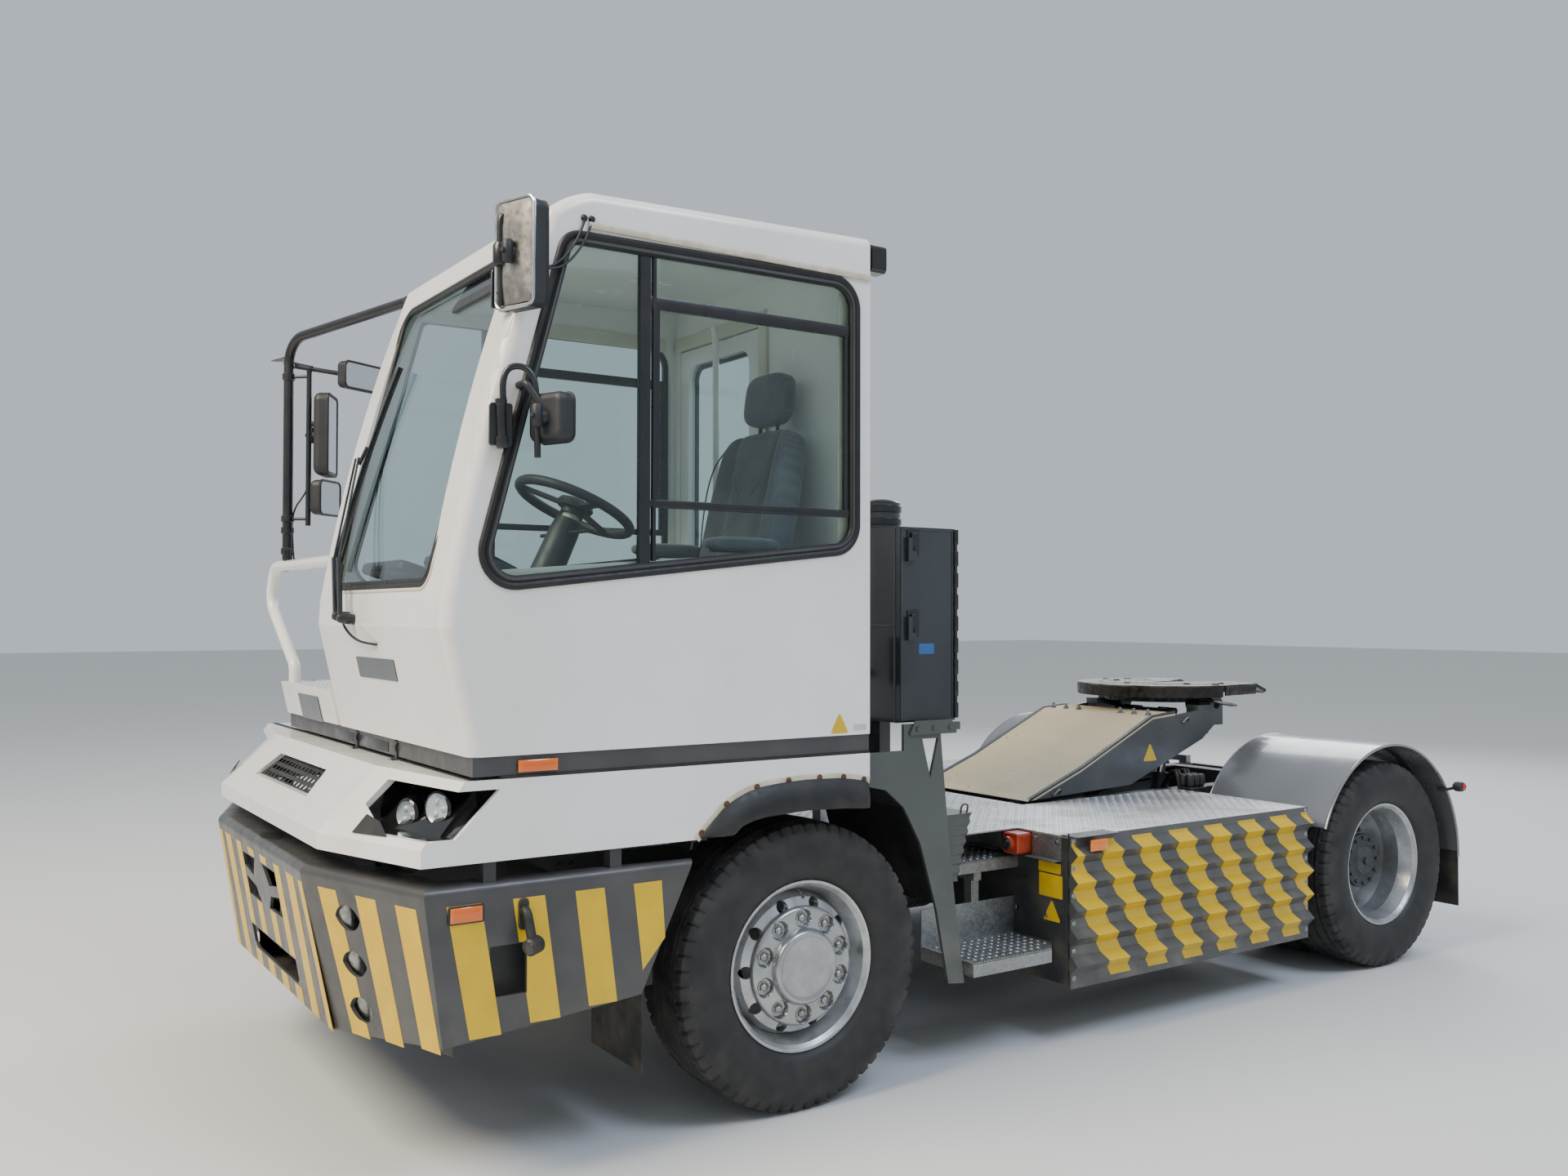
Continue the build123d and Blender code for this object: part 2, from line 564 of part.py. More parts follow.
def skirt_form(inset):
    """Lip that stands upright below and slopes back above, drawn in by one inset."""
    def ring(points, z):
        face = make_face(Polyline(*[(ahead(x), y, z) for x, y in points], close=True))
        return offset(face, amount=-inset, kind=Kind.INTERSECTION) if inset else face
    low = SKIRT_BOTTOM_Z - (1 if inset else 0)
    lip = extrude(ring(SKIRT_LIP, low), amount=SKIRT_LIP_Z - low, dir=(0, 0, 1))
    slope = loft([ring(SKIRT_LIP, SKIRT_LIP_Z), ring(SKIRT_TOP, SKIRT_TOP_Z - (SKIRT_WALL / 2 if inset else 0))], ruled=True)
    return lip + slope


def arch_cut(y_low, y_high, grow):
    """Wheel arch outline, flat on top, carried across."""
    r = ARCH_RADIUS + grow
    top = ARCH_TOP_Z + grow
    pts = [(-r - 20, 0), (-r - 20, 640)]
    pts += [(-r * 0.95, 800), (-r * 0.84, 1010), (-430 - grow, 1110 + grow * 0.7), (-247, top - 20), (-110, top), (30, top + 6), (162, top),
            (278, top - 18), (365 + grow * 0.5, 1105 + grow * 0.7), (469 + grow, 1000), (r, 300), (r, 0)]
    return outline_xz([(ahead(x), z) for x, z in pts], y_low, y_high)


def lower_body():
    """White shell round the front of the vehicle, with its arches, intake and lamp pockets."""
    shell = skirt_form(0) - skirt_form(SKIRT_WALL)
    shell -= block(BODY_REAR_X - 1, BODY_REAR_X + 60, -BODY_SIDE_Y + SKIRT_WALL, BODY_SIDE_Y - SKIRT_WALL,
                   SKIRT_BOTTOM_Z - 1, SKIRT_TOP_Z + 1)
    shell -= block(BODY_REAR_X + 50, ahead(1150), -PLATFORM_WALL - 900, BODY_SIDE_Y - 60, SKIRT_TOP_Z - 40, SKIRT_TOP_Z + 1)
    for side in (-1, 1):
        y_low, y_high = sorted((side * (BODY_SIDE_Y - 140), side * (BODY_SIDE_Y + 60)))
        shell -= arch_cut(y_low, y_high, 0)
    # Trapezoid air intake in the sloping front
    shell -= outline_yz([(-380, 1195), (270, 1195), (330, 1115), (-440, 1115)], ahead(1300), ahead(1600))
    # Room for the lugs of the tilt hinge
    for y, width in HINGE_LUGS:
        shell -= block(TILT_X - 60, TILT_X + 40, y - 40, y + 40, SKIRT_TOP_Z - 40, SKIRT_TOP_Z + 1)
    for side in (-1, 1):
        shell -= lamp_pocket(side, 0)
    return shell


def lamp_pocket(side, inset):
    """Slanted pocket that wraps round the front corner."""
    pts = [(1420 - inset, 1090), (1300, 1090), (1150, 1190), (1150, 1215), (1180, 1218), (1420 - inset, 1218)]
    ring = [(ahead(1150) + inset, 1216 - inset), (ahead(1420), 1216 - inset), (ahead(1440), 1075 + inset),
            (ahead(1290) + inset, 1075 + inset)]
    pocket = outline_xz(ring, 820 + inset, BODY_SIDE_Y + 60)
    if side < 0:
        pocket = other_side(pocket)
    return pocket


# Each lamp: distance ahead of the axle, y, z, radius
HEADLAMP_TABLE = [(1327, 926, 1115, 46), (1274, 1058, 1145, 51)]


def headlamps():
    """Black bowls behind the pockets, each with two round lamps turned 25 degrees outward."""
    housing = lamp_pocket(1, -12) & skirt_form(SKIRT_WALL + SEAT_GAP)
    housing -= lamp_pocket(1, -4) - skirt_form(110)
    housing -= skirt_form(130)
    for x, y, z, radius in HEADLAMP_TABLE:
        housing += Pos(ahead(x), y, z) * Rot(0, 0, 25) * Rot(0, 85, 0) * Pos(0, 0, -55) * Cylinder(radius, 110)
    return both_sides(housing)


GRILLE_Z = (1100, 1210)


def intake_grille():
    """Black sheet behind the air intake, pierced with rows of slots."""
    sheet = skirt_form(SKIRT_WALL + SEAT_GAP) - skirt_form(SKIRT_WALL + 6)
    sheet &= block(ahead(1300), ahead(1500), -452, 342, *GRILLE_Z)
    for row in range(4):
        z = 1124 + 22 * row
        for n in range(15):
            y = -400 + 50 * n + 12 * (row % 2)
            sheet -= block(ahead(1300), ahead(1500), y, y + 38, z - 6, z + 6)
    return sheet


LIP_DEPTH = 106


def arch_lips():
    """Rubber lip round each front wheel arch."""
    band = arch_cut(BODY_SIDE_Y - 44, BODY_SIDE_Y + 36, -1) - arch_cut(BODY_SIDE_Y - 50, BODY_SIDE_Y + 60, -LIP_DEPTH)
    band -= block(ahead(-900), ahead(-252), 1100, BODY_SIDE_Y + 160, 0, 1400)
    band -= block(ahead(-900), ahead(900), 1100, BODY_SIDE_Y + 160, 0, SKIRT_BOTTOM_Z + 2)
    return both_sides(band)


def arch_liners():
    """Inner wheel arches, bent round the front tyres, open on the outside."""
    liner = arch_cut(560, BODY_SIDE_Y - 50, -14) - arch_cut(550, BODY_SIDE_Y - 44, -22)
    liner -= block(ahead(-900), ahead(900), 500, 1250, 0, 640)
    liner -= block(ahead(0), ahead(900), 500, 1250, 0, 960)
    liner -= block(ahead(-900), ahead(-256), BLADE_Y - 14 - SEAT_GAP, 1250, 0, 1400)
    return both_sides(liner)


BLADE_Y = HALF_WIDTH - 100
BLADE = [(-262, 1232), (-262, 1120), (-395, 1090), (-480, 1020), (-560, 880), (-640, 620), (-700, 330),
         (-780, 320), (-735, 620), (-700, 900), (-660, 1300), (-760, 1300), (-760, 1330), (-480, 1330), (-480, 1232)]


def fender_blades():
    """Tapering plates behind the front wheels, with a hole above the step."""
    plate = outline_xz([(ahead(x), z) for x, z in BLADE], BLADE_Y - 14, BLADE_Y)
    plate -= outline_xz([(ahead(-570), 1272), (ahead(-650), 1272), (ahead(-610), 1120)], BLADE_Y - 20, BLADE_Y + 20)
    arm = block(ahead(-700), ahead(-650), RAIL_OUTER_Y + SEAT_GAP, BLADE_Y - 14, 700, 760)
    return both_sides(plate + arm)


# Steps, deck and boxes

STEP_FRONT_X = BOX_FRONT_X + 508
STEP_TABLE = [(400, BOX_OUTER_Y - 11, BOX_OUTER_Y - 326, 52, 150), (722, BOX_OUTER_Y - 296, BOX_OUTER_Y - 566, 46, 110)]


def steps():
    """Folded step treads on both sides. The table lists height, outer y, inner y, edge depth and riser."""
    flight = block(BOX_FRONT_X + 200, BOX_FRONT_X + 240, RAIL_OUTER_Y + SEAT_GAP, BOX_OUTER_Y - 306, 640, 690)
    for z, outer, inner, depth, riser in STEP_TABLE:
        tread = block(BOX_FRONT_X + SEAT_GAP, STEP_FRONT_X, inner, outer, z - depth, z)
        tread -= block(BOX_FRONT_X + 4, STEP_FRONT_X - 4, inner - 1, outer - 4, z - depth - 1, z - 4)
        tread += block(BOX_FRONT_X + SEAT_GAP, STEP_FRONT_X, inner, inner + 4, z, z + riser)
        if z < 500:
            tread -= outline_xy([(BOX_FRONT_X - 1, outer - 90), (BOX_FRONT_X + 90, outer + 1), (BOX_FRONT_X - 1, outer + 1)], z - depth - 2, z + 1)
        flight += tread
    flight += block(BOX_FRONT_X + 200, BOX_FRONT_X + 240, BOX_OUTER_Y - 366, BOX_OUTER_Y - 322, 396, 690)
    return both_sides(flight)


def hanging_plates():
    """Galvanised plates bent over the deck's front edge, with the switch between them."""
    plates = None
    for y_low, y_high in ((646, 813), (1000, 1163)):
        plate = block(BOX_FRONT_X + SEAT_GAP, BOX_FRONT_X + 6, y_low, y_high, 738, DECK_TOP_Z - DECK_PLATE - SEAT_GAP)
        plate += block(BOX_FRONT_X + SEAT_GAP, BOX_FRONT_X + 46, y_low, y_high, 738, 742)
        plates = plate if plates is None else plates + plate
    return both_sides(plates)


def isolator_switch():
    """Orange battery isolator box with its round knob."""
    case = block(BOX_FRONT_X + SEAT_GAP, BOX_FRONT_X + 82, 900, 994, 744, 832)
    case = fillet(case.edges().filter_by(Axis.X), 16)
    case = chamfer(case.faces().sort_by(Axis.X)[-1].edges(), 5)
    return case + rod_x(947, 788, 30, BOX_FRONT_X + 81, BOX_FRONT_X + 104)


def wheel_chock():
    """Ribbed chock hung behind the front arch on the left."""
    x_low, x_high = ahead(-908), ahead(-725)
    chock = outline_xz([(x_low, 690), (x_high, 690), (x_high, 962), (x_high - 64, 962), (x_low, 800)], 915, 1070)
    for n in range(4):
        x, z = x_high - 78 - n * 28, 946 - n * 41
        chock += outline_xz([(x - 24, z - 32), (x + 12, z + 10), (x - 16, z + 14)], 915, 1070)
    chock -= outline_xz([(x_high - 30, 718), (x_high - 30, 890), (x_low + 40, 772), (x_low + 40, 718)], 914, 1071)
    return chock + block(x_high - 1, ahead(-700) - SEAT_GAP, 950, 1020, 715, 745)


def battery_boxes():
    """Closed battery boxes hung outside the rails."""
    box = block(BOX_REAR_X, BOX_FRONT_X, BOX_INNER_Y, BOX_OUTER_Y, BOX_BOTTOM_Z, DECK_TOP_Z - DECK_PLATE)
    box += block(BOX_REAR_X + 200, BOX_REAR_X + 300, RAIL_OUTER_Y, BOX_INNER_Y, 640, 760)
    box += block(BOX_FRONT_X - 300, BOX_FRONT_X - 200, RAIL_OUTER_Y, BOX_INNER_Y, 640, 760)
    return both_sides(box)


def ridge_panels():
    """Side guards with lengthwise ridges of triangular section."""
    low, high = BOX_BOTTOM_Z - 10, DECK_TOP_Z
    base = HALF_WIDTH - RIDGE_HEIGHT + 4
    half = RIDGE_PITCH * 0.34
    section = [(BOX_OUTER_Y, low), (base, low)]
    for n in range(RIDGE_COUNT):
        z = FIRST_RIDGE_Z + RIDGE_PITCH * n
        section += [(base, z - half), (HALF_WIDTH, z), (base, z + half * 0.9)]
    section += [(base, high), (BOX_OUTER_Y, high)]
    panel = outline_yz(section, BOX_REAR_X, BOX_FRONT_X)
    return both_sides(panel)


def deck():
    """Tread plates over the rails and the battery boxes."""
    low = DECK_TOP_Z - DECK_PLATE
    plate = block(BOX_REAR_X + 2, BOX_FRONT_X, RAIL_OUTER_Y - RAIL_FLANGE + 90, BOX_OUTER_Y, low, DECK_TOP_Z)
    plate = plate + other_side(plate)
    middle = block(BOOM_PIVOT_X + 70, ahead(-690), -BOX_OUTER_Y + 300, BOX_OUTER_Y - 300, low, DECK_TOP_Z)
    middle += block(BOOM_PIVOT_X + 70, BOX_FRONT_X, -BOX_OUTER_Y, BOX_OUTER_Y, low, DECK_TOP_Z)
    # Upper landing in front of the cab door, on four legs
    landing = block(ahead(-690), ahead(-262), -540, 540, LANDING_Z - DECK_PLATE, LANDING_Z)
    landing += block(ahead(-690), ahead(-684), -540, 540, LANDING_Z - 60, LANDING_Z)
    for side in (-1, 1):
        y_low, y_high = sorted((side * 350, side * 410))
        for x in (-684, -340):
            landing += block(ahead(x), ahead(x + 60), y_low, y_high, RAIL_TOP_Z + SEAT_GAP, LANDING_Z)
    return plate + middle + landing


CABINET_OUTER_Y = HALF_WIDTH - 132
CABINET_INNER_Y = CABINET_OUTER_Y - 478
CABINET_FRONT_X = FRONT_AXLE_X - 487
CABINET_REAR_X = FRONT_AXLE_X - 762
CABINET_LOW_Z = 1332
CABINET_TOP_Z = 2078
CABINET_WALL = 20


def cabinet_body():
    """Tall locker behind the cab, open where its door closes it."""
    case = block(CABINET_REAR_X, CABINET_FRONT_X, CABINET_INNER_Y, CABINET_OUTER_Y - CABINET_WALL, CABINET_LOW_Z, CABINET_TOP_Z)
    case -= block(CABINET_REAR_X + CABINET_WALL, CABINET_FRONT_X - CABINET_WALL, CABINET_INNER_Y + CABINET_WALL,
                  CABINET_OUTER_Y, CABINET_LOW_Z + CABINET_WALL, CABINET_TOP_Z - CABINET_WALL)
    # Foot that carries the locker down to the frame
    case += block(CABINET_REAR_X + 5, CABINET_REAR_X + 60, CABINET_INNER_Y, CABINET_INNER_Y + 80,
                  DECK_TOP_Z + SEAT_GAP, CABINET_LOW_Z)
    case += rod_z(CABINET_FRONT_X - 110, CABINET_INNER_Y + 230, 72, CABINET_TOP_Z, CABINET_TOP_Z + 105)
    return case


def cabinet_door():
    """Locker door, hinged on its rear edge."""
    low = CABINET_OUTER_Y - CABINET_WALL + SEAT_GAP
    door = block(CABINET_REAR_X + 2, CABINET_FRONT_X, low, CABINET_OUTER_Y, CABINET_LOW_Z + 2, CABINET_TOP_Z - 2)
    door += rod_z(CABINET_REAR_X, CABINET_OUTER_Y + 5, 6, CABINET_LOW_Z + 12, CABINET_TOP_Z - 12)
    for z in (1690, 1990):
        door += block(CABINET_FRONT_X - 70, CABINET_FRONT_X - 30, CABINET_OUTER_Y, CABINET_OUTER_Y + 16, z - 45, z + 45)
    return door


# Mudguards, flaps and lamps

MUDGUARD_R = 598
FLAP_OUTER_Y = HALF_WIDTH - 80
MUDGUARD_SHEET = 8


def rear_mudguards():
    """Curved sheets over the twin tyres, each on two arms from the frame."""
    y_low, y_high = 560, HALF_WIDTH
    outer = rod_y(REAR_AXLE_X, AXLE_Z, MUDGUARD_R, y_low, y_high)
    ring = outer - rod_y(REAR_AXLE_X, AXLE_Z, MUDGUARD_R - MUDGUARD_SHEET, y_low - 1, y_high + 1)
    ring -= outline_xz([(REAR_AXLE_X, AXLE_Z), (REAR_AXLE_X + 900, AXLE_Z + 380), (REAR_AXLE_X + 900, -200),
                        (REAR_AXLE_X - 900, -200), (REAR_AXLE_X - 900, AXLE_Z + 20)], y_low - 10, y_high + 10)
    arm = block(REAR_AXLE_X - 470, REAR_AXLE_X - 430, 360, y_low + 60, 845, 880)
    arm += block(REAR_AXLE_X - 470, REAR_AXLE_X - 430, 360, RAIL_OUTER_Y, RAIL_TOP_Z + SEAT_GAP, 860)
    return both_sides(ring + arm)


def mud_flaps():
    """Hanging flaps ahead of the front wheels and behind the rear wheels."""
    front = block(ahead(628), ahead(634), 800, FLAP_OUTER_Y, 250, 590)
    front += block(ahead(628), ahead(700), RAIL_OUTER_Y + SEAT_GAP, HALF_WIDTH - BUMPER_PLATE - 1, 550, 600)
    x = REAR_AXLE_X - MUDGUARD_R
    rear = block(x - 8, x - 0.3, 600, HALF_WIDTH - 6, 235, AXLE_Z + 130)
    return both_sides(front + rear)


def marker_lamps():
    """Rear lamp clusters, side markers on the bumper and lamps on stalks at the rear corners."""
    lamps = block(RAIL_REAR_X - 60, RAIL_REAR_X - SEAT_GAP, 120, 400, 640, 780)
    lamps += block(ahead(1236), ahead(1290), HALF_WIDTH + SEAT_GAP, HALF_WIDTH + 14, 842, 878)
    stalk_z = AXLE_Z + 341
    lamps += rod_y(ahead(-3970), stalk_z, 9, HALF_WIDTH - 30, HALF_WIDTH + 70)
    lamps += rod_y(ahead(-3970), stalk_z, 26, HALF_WIDTH + 68, HALF_WIDTH + 104)
    return both_sides(lamps)


def air_tanks():
    """Brake air reservoirs hung across the frame behind the front axle."""
    tanks = rod_y(ahead(-560), 470, 110, -320, -20)
    tanks += rod_y(ahead(-560), 470, 110, 20, 320)
    tanks += block(ahead(-580), ahead(-540), -RAIL_OUTER_Y, RAIL_OUTER_Y, 570, RAIL_BOTTOM_Z - SEAT_GAP)
    return tanks


# Lifting boom

# Boom side outline, measured forward from the front axle and up from the ground
BOOM_SIDE = [(-1905, 852), (-2220, 968), (-2740, 1202), (-2920, 1216), (-3262, 1252), (-3275, 1185), (-3130, 1083),
             (-2570, 878)]
LIFT_EYE_X = FRONT_AXLE_X - 3000
LIFT_EYE_Z = 1000


def boom_frame():
    """Two side plates joined by cross tubes, with the front pivot and the bearings of the coupling."""
    beam = None
    side_points = [(ahead(x), z) for x, z in BOOM_SIDE]
    for side in (-1, 1):
        y_low, y_high = sorted((side * BOOM_HALF_WIDTH, side * (BOOM_HALF_WIDTH - BOOM_PLATE)))
        plate = outline_xz(side_points, y_low, y_high)
        beam = plate if beam is None else beam + plate
        # Foot plate down to the pivot, inside the frame ears
        f_low, f_high = sorted((side * 322, side * 290))
        foot = outline_xz([(BOOM_PIVOT_X - 50, BOOM_PIVOT_Z), (BOOM_PIVOT_X + 50, BOOM_PIVOT_Z),
                           (BOOM_PIVOT_X + 40, 836), (ahead(-1905), 846), (ahead(-2220), 955), (ahead(-2220), 880)], f_low, f_high)
        foot += rod_y(BOOM_PIVOT_X, BOOM_PIVOT_Z, 50, f_low, f_high)
        beam += foot
    beam += block(ahead(-2240), ahead(-2140), -BOOM_HALF_WIDTH + 1, BOOM_HALF_WIDTH - 1, 884, 930)
    beam += block(ahead(-3180), ahead(-3080), -BOOM_HALF_WIDTH + 1, BOOM_HALF_WIDTH - 1, 1110, 1190)
    beam += rod_y(BOOM_PIVOT_X, BOOM_PIVOT_Z, 30, -322, 322)
    beam += rod_y(BOOM_PIVOT_X, BOOM_PIVOT_Z, BOOM_PIN_R, -404, 404)
    beam += block(LIFT_EYE_X - 60, LIFT_EYE_X + 60, -BOOM_HALF_WIDTH + 1, BOOM_HALF_WIDTH - 1, LIFT_EYE_Z + 60, LIFT_EYE_Z + 110)
    for side in (-1, 1):
        for offset in (-38, 26):
            y = side * LIFT_Y + offset
            beam += block(LIFT_EYE_X - 34, LIFT_EYE_X + 34, y, y + 12, LIFT_EYE_Z - 34, LIFT_EYE_Z + 80)
        beam += rod_y(LIFT_EYE_X, LIFT_EYE_Z, LIFT_PIN_R, side * LIFT_Y - 38, side * LIFT_Y + 38)
        y_low, y_high = sorted((side * (BOOM_HALF_WIDTH - 1), side * 320))
        bearing = block(COUPLING_X - 50, COUPLING_X + 150, y_low, y_high, COUPLING_PIVOT_Z - 110, COUPLING_PIVOT_Z)
        bearing += rod_y(COUPLING_X, COUPLING_PIVOT_Z, 50, y_low, y_high)
        beam += bearing
        beam -= rod_y(COUPLING_X, COUPLING_PIVOT_Z, TRUNNION_R + 0.05, side * 352 - 60, side * 352 + 60)
    return beam


def ramp_plate():
    """Sloping top plate that guides a trailer's kingpin up to the coupling."""
    under = [(-1840, 846.6), (-1905, 852 + SEAT_GAP), (-2220, 968 + SEAT_GAP), (-2740, 1202 + SEAT_GAP), (-2915, 1216 + SEAT_GAP)]
    top = [(x, z + RAMP_THICK) for x, z in reversed(under)]
    return outline_xz([(ahead(x), z) for x, z in under + top[:-1] + [(-1836, 851)]], -BOOM_HALF_WIDTH, BOOM_HALF_WIDTH)


def fifth_wheel():
    """Coupling plate with its throat, skirt and two trunnions."""
    low, high = COUPLING_TOP_Z - COUPLING_PLATE, COUPLING_TOP_Z
    plate = rod_z(COUPLING_X, 0, COUPLING_R, low, high)
    plate += outline_xy([(COUPLING_X, -COUPLING_R), (COUPLING_X, COUPLING_R), (COUPLING_X - 330, COUPLING_R - 40),
                         (COUPLING_X - 430, 250), (COUPLING_X - 430, -250), (COUPLING_X - 330, -COUPLING_R + 40)], low, high)
    skirt = rod_z(COUPLING_X, 0, COUPLING_R - 150, low - 60, low)
    skirt -= rod_z(COUPLING_X, 0, COUPLING_R - 180, low - 61, low)
    plate += skirt
    plate -= outline_xy([(COUPLING_X, -KINGPIN_SLOT_R), (COUPLING_X, KINGPIN_SLOT_R), (COUPLING_X - 120, KINGPIN_SLOT_R),
                         (COUPLING_X - 440, 190), (COUPLING_X - 440, -190), (COUPLING_X - 120, -KINGPIN_SLOT_R)],
                        low - 70, high + 1)
    plate -= rod_z(COUPLING_X, 0, KINGPIN_SLOT_R, low - 70, high + 1)
    for side in (-1, 1):
        y_low, y_high = sorted((side * 230, side * 312))
        plate += block(COUPLING_X - 50, COUPLING_X + 50, y_low, y_high, COUPLING_PIVOT_Z, low)
        plate += rod_y(COUPLING_X, COUPLING_PIVOT_Z, 50, y_low, y_high)
        y_low, y_high = sorted((side * 300, side * 382))
        plate += rod_y(COUPLING_X, COUPLING_PIVOT_Z, TRUNNION_R, y_low, y_high)
    return plate


# Lifting cylinders, both drawn along the line from the foot pin to the boom eye

BARREL_R = 46
LIFT_ROD_R = 26
EYE_PLAY = 2.1


def lift_point(share, side):
    return (LIFT_PIN_X + (LIFT_EYE_X - LIFT_PIN_X) * share, side * LIFT_Y, LIFT_PIN_Z + (LIFT_EYE_Z - LIFT_PIN_Z) * share)


def lift_barrels():
    barrels = None
    for side in (-1, 1):
        barrel = rod_between(lift_point(0.11, side), lift_point(0.80, side), BARREL_R)
        barrel += rod_between(lift_point(0.03, side), lift_point(0.12, side), 20)
        barrel += rod_y(LIFT_PIN_X, LIFT_PIN_Z, 32, side * LIFT_Y - 21, side * LIFT_Y + 21)
        barrel -= rod_y(LIFT_PIN_X, LIFT_PIN_Z, LIFT_PIN_R + 0.05, side * LIFT_Y - 23, side * LIFT_Y + 23)
        barrel -= rod_between(lift_point(0.15, side), lift_point(0.81, side), LIFT_ROD_R + 0.05)
        barrels = barrel if barrels is None else barrels + barrel
    return barrels


def lift_rods():
    rods = None
    for side in (-1, 1):
        rod = rod_between(lift_point(0.16, side), lift_point(0.915, side), LIFT_ROD_R)
        rod += rod_between(lift_point(0.90, side), lift_point(0.97, side), 20)
        rod += rod_y(LIFT_EYE_X, LIFT_EYE_Z, 30, side * LIFT_Y - 21, side * LIFT_Y + 21)
        rod -= rod_y(LIFT_EYE_X, LIFT_EYE_Z, LIFT_PIN_R + EYE_PLAY, side * LIFT_Y - 23, side * LIFT_Y + 23)
        rods = rod if rods is None else rods + rod
    return rods


# Cab

# Side outline of the cab, measured forward from the front axle and up from the ground
CAB_FOOT_FRONT = (1247, CAB_BOTTOM_Z)
CAB_NOSE_LOW = (1333, 1700)
CAB_NOSE_HIGH = (1328, 1790)
CAB_SCREEN_MIDDLE = (1186, 2430)
CAB_SCREEN_TOP = (999, 3005)
CAB_BROW = (935, 3052)
CAB_ROOF_FRONT = (850, 3084)
CAB_ROOF_REAR = (-250, 3112)


def cab_side_face(y):
    """Side outline: upright nose, bowed screen, rounded brow and nearly level roof."""
    def at(point):
        return (ahead(point[0]), y, point[1])
    rear_foot = (-250, CAB_BOTTOM_Z)
    edges = [
        Line(at(rear_foot), at(CAB_FOOT_FRONT)),
        Line(at(CAB_FOOT_FRONT), at(CAB_NOSE_LOW)),
        Line(at(CAB_NOSE_LOW), at(CAB_NOSE_HIGH)),
        ThreePointArc(at(CAB_NOSE_HIGH), at(CAB_SCREEN_MIDDLE), at(CAB_SCREEN_TOP)),
        ThreePointArc(at(CAB_SCREEN_TOP), at(CAB_BROW), at(CAB_ROOF_FRONT)),
        Line(at(CAB_ROOF_FRONT), at(CAB_ROOF_REAR)),
        Line(at(CAB_ROOF_REAR), at(rear_foot)),
    ]
    return make_face(edges)


def cab_block():
    return extrude(cab_side_face(CAB_RIGHT_Y), amount=CAB_LEFT_Y - CAB_RIGHT_Y, dir=(0, 1, 0))


def cab_outer():
    form = cab_block()
    side_edges = [e for e in form.edges()
                  if min(abs(e.center().Y - CAB_LEFT_Y), abs(e.center().Y - CAB_RIGHT_Y)) < 1
                  and e.center().Z > CAB_BOTTOM_Z + 1 and e.center().X > BODY_REAR_X + 1]
    return fillet(side_edges, CAB_CORNER_R)


def cab_inner():
    face = offset(cab_side_face(CAB_RIGHT_Y + CAB_WALL), amount=-CAB_WALL, kind=Kind.INTERSECTION)
    inner = extrude(face, amount=CAB_LEFT_Y - CAB_RIGHT_Y - 2 * CAB_WALL, dir=(0, 1, 0))
    inner += Pos(0, 0, -CAB_WALL) * inner & block(BODY_REAR_X, ahead(1240), CAB_RIGHT_Y, CAB_LEFT_Y, CAB_BOTTOM_Z - 1, CAB_BOTTOM_Z + 300)
    return inner


WINDOW_CORNERS = [(-182, 1981), (-182, 2931), (941, 2925), (1236, 1822)]
WINDOW_RADII = [95, 95, 60, 95]
SCREEN_CORNERS = [(30, 1838), (1070, 1838), (1050, 2895), (0, 2895)]
SCREEN_RADII = [60, 60, 60, 60]
DOOR_LOW_Z = 1330
DOOR_TOP_Z = 2900
DOOR_RIGHT_Y = -80
DOOR_LEFT_Y = 560
DOOR_HINGE_HEIGHTS = (1500, 2700)
HINGE_PIN_X = BODY_REAR_X - 12
HINGE_PIN_Y = DOOR_RIGHT_Y + 5


def window_solid(y_low, y_high, inset):
    """Side window outline with rounded corners, drawn in by one inset."""
    ring = FilletPolyline(*[(ahead(x), y_low, z) for x, z in WINDOW_CORNERS], radius=WINDOW_RADII, close=True)
    face = make_face(ring)
    if inset:
        face = offset(face, amount=-inset)
    return extrude(face, amount=y_high - y_low, dir=(0, 1, 0))


def screen_solid(inset):
    """Windscreen outline with rounded corners, carried along the vehicle."""
    ring = FilletPolyline(*[(ahead(800), y, z) for y, z in SCREEN_CORNERS], radius=SCREEN_RADII, close=True)
    face = make_face(ring)
    if inset:
        face = offset(face, amount=-inset)
    return extrude(face, amount=700, dir=(1, 0, 0))


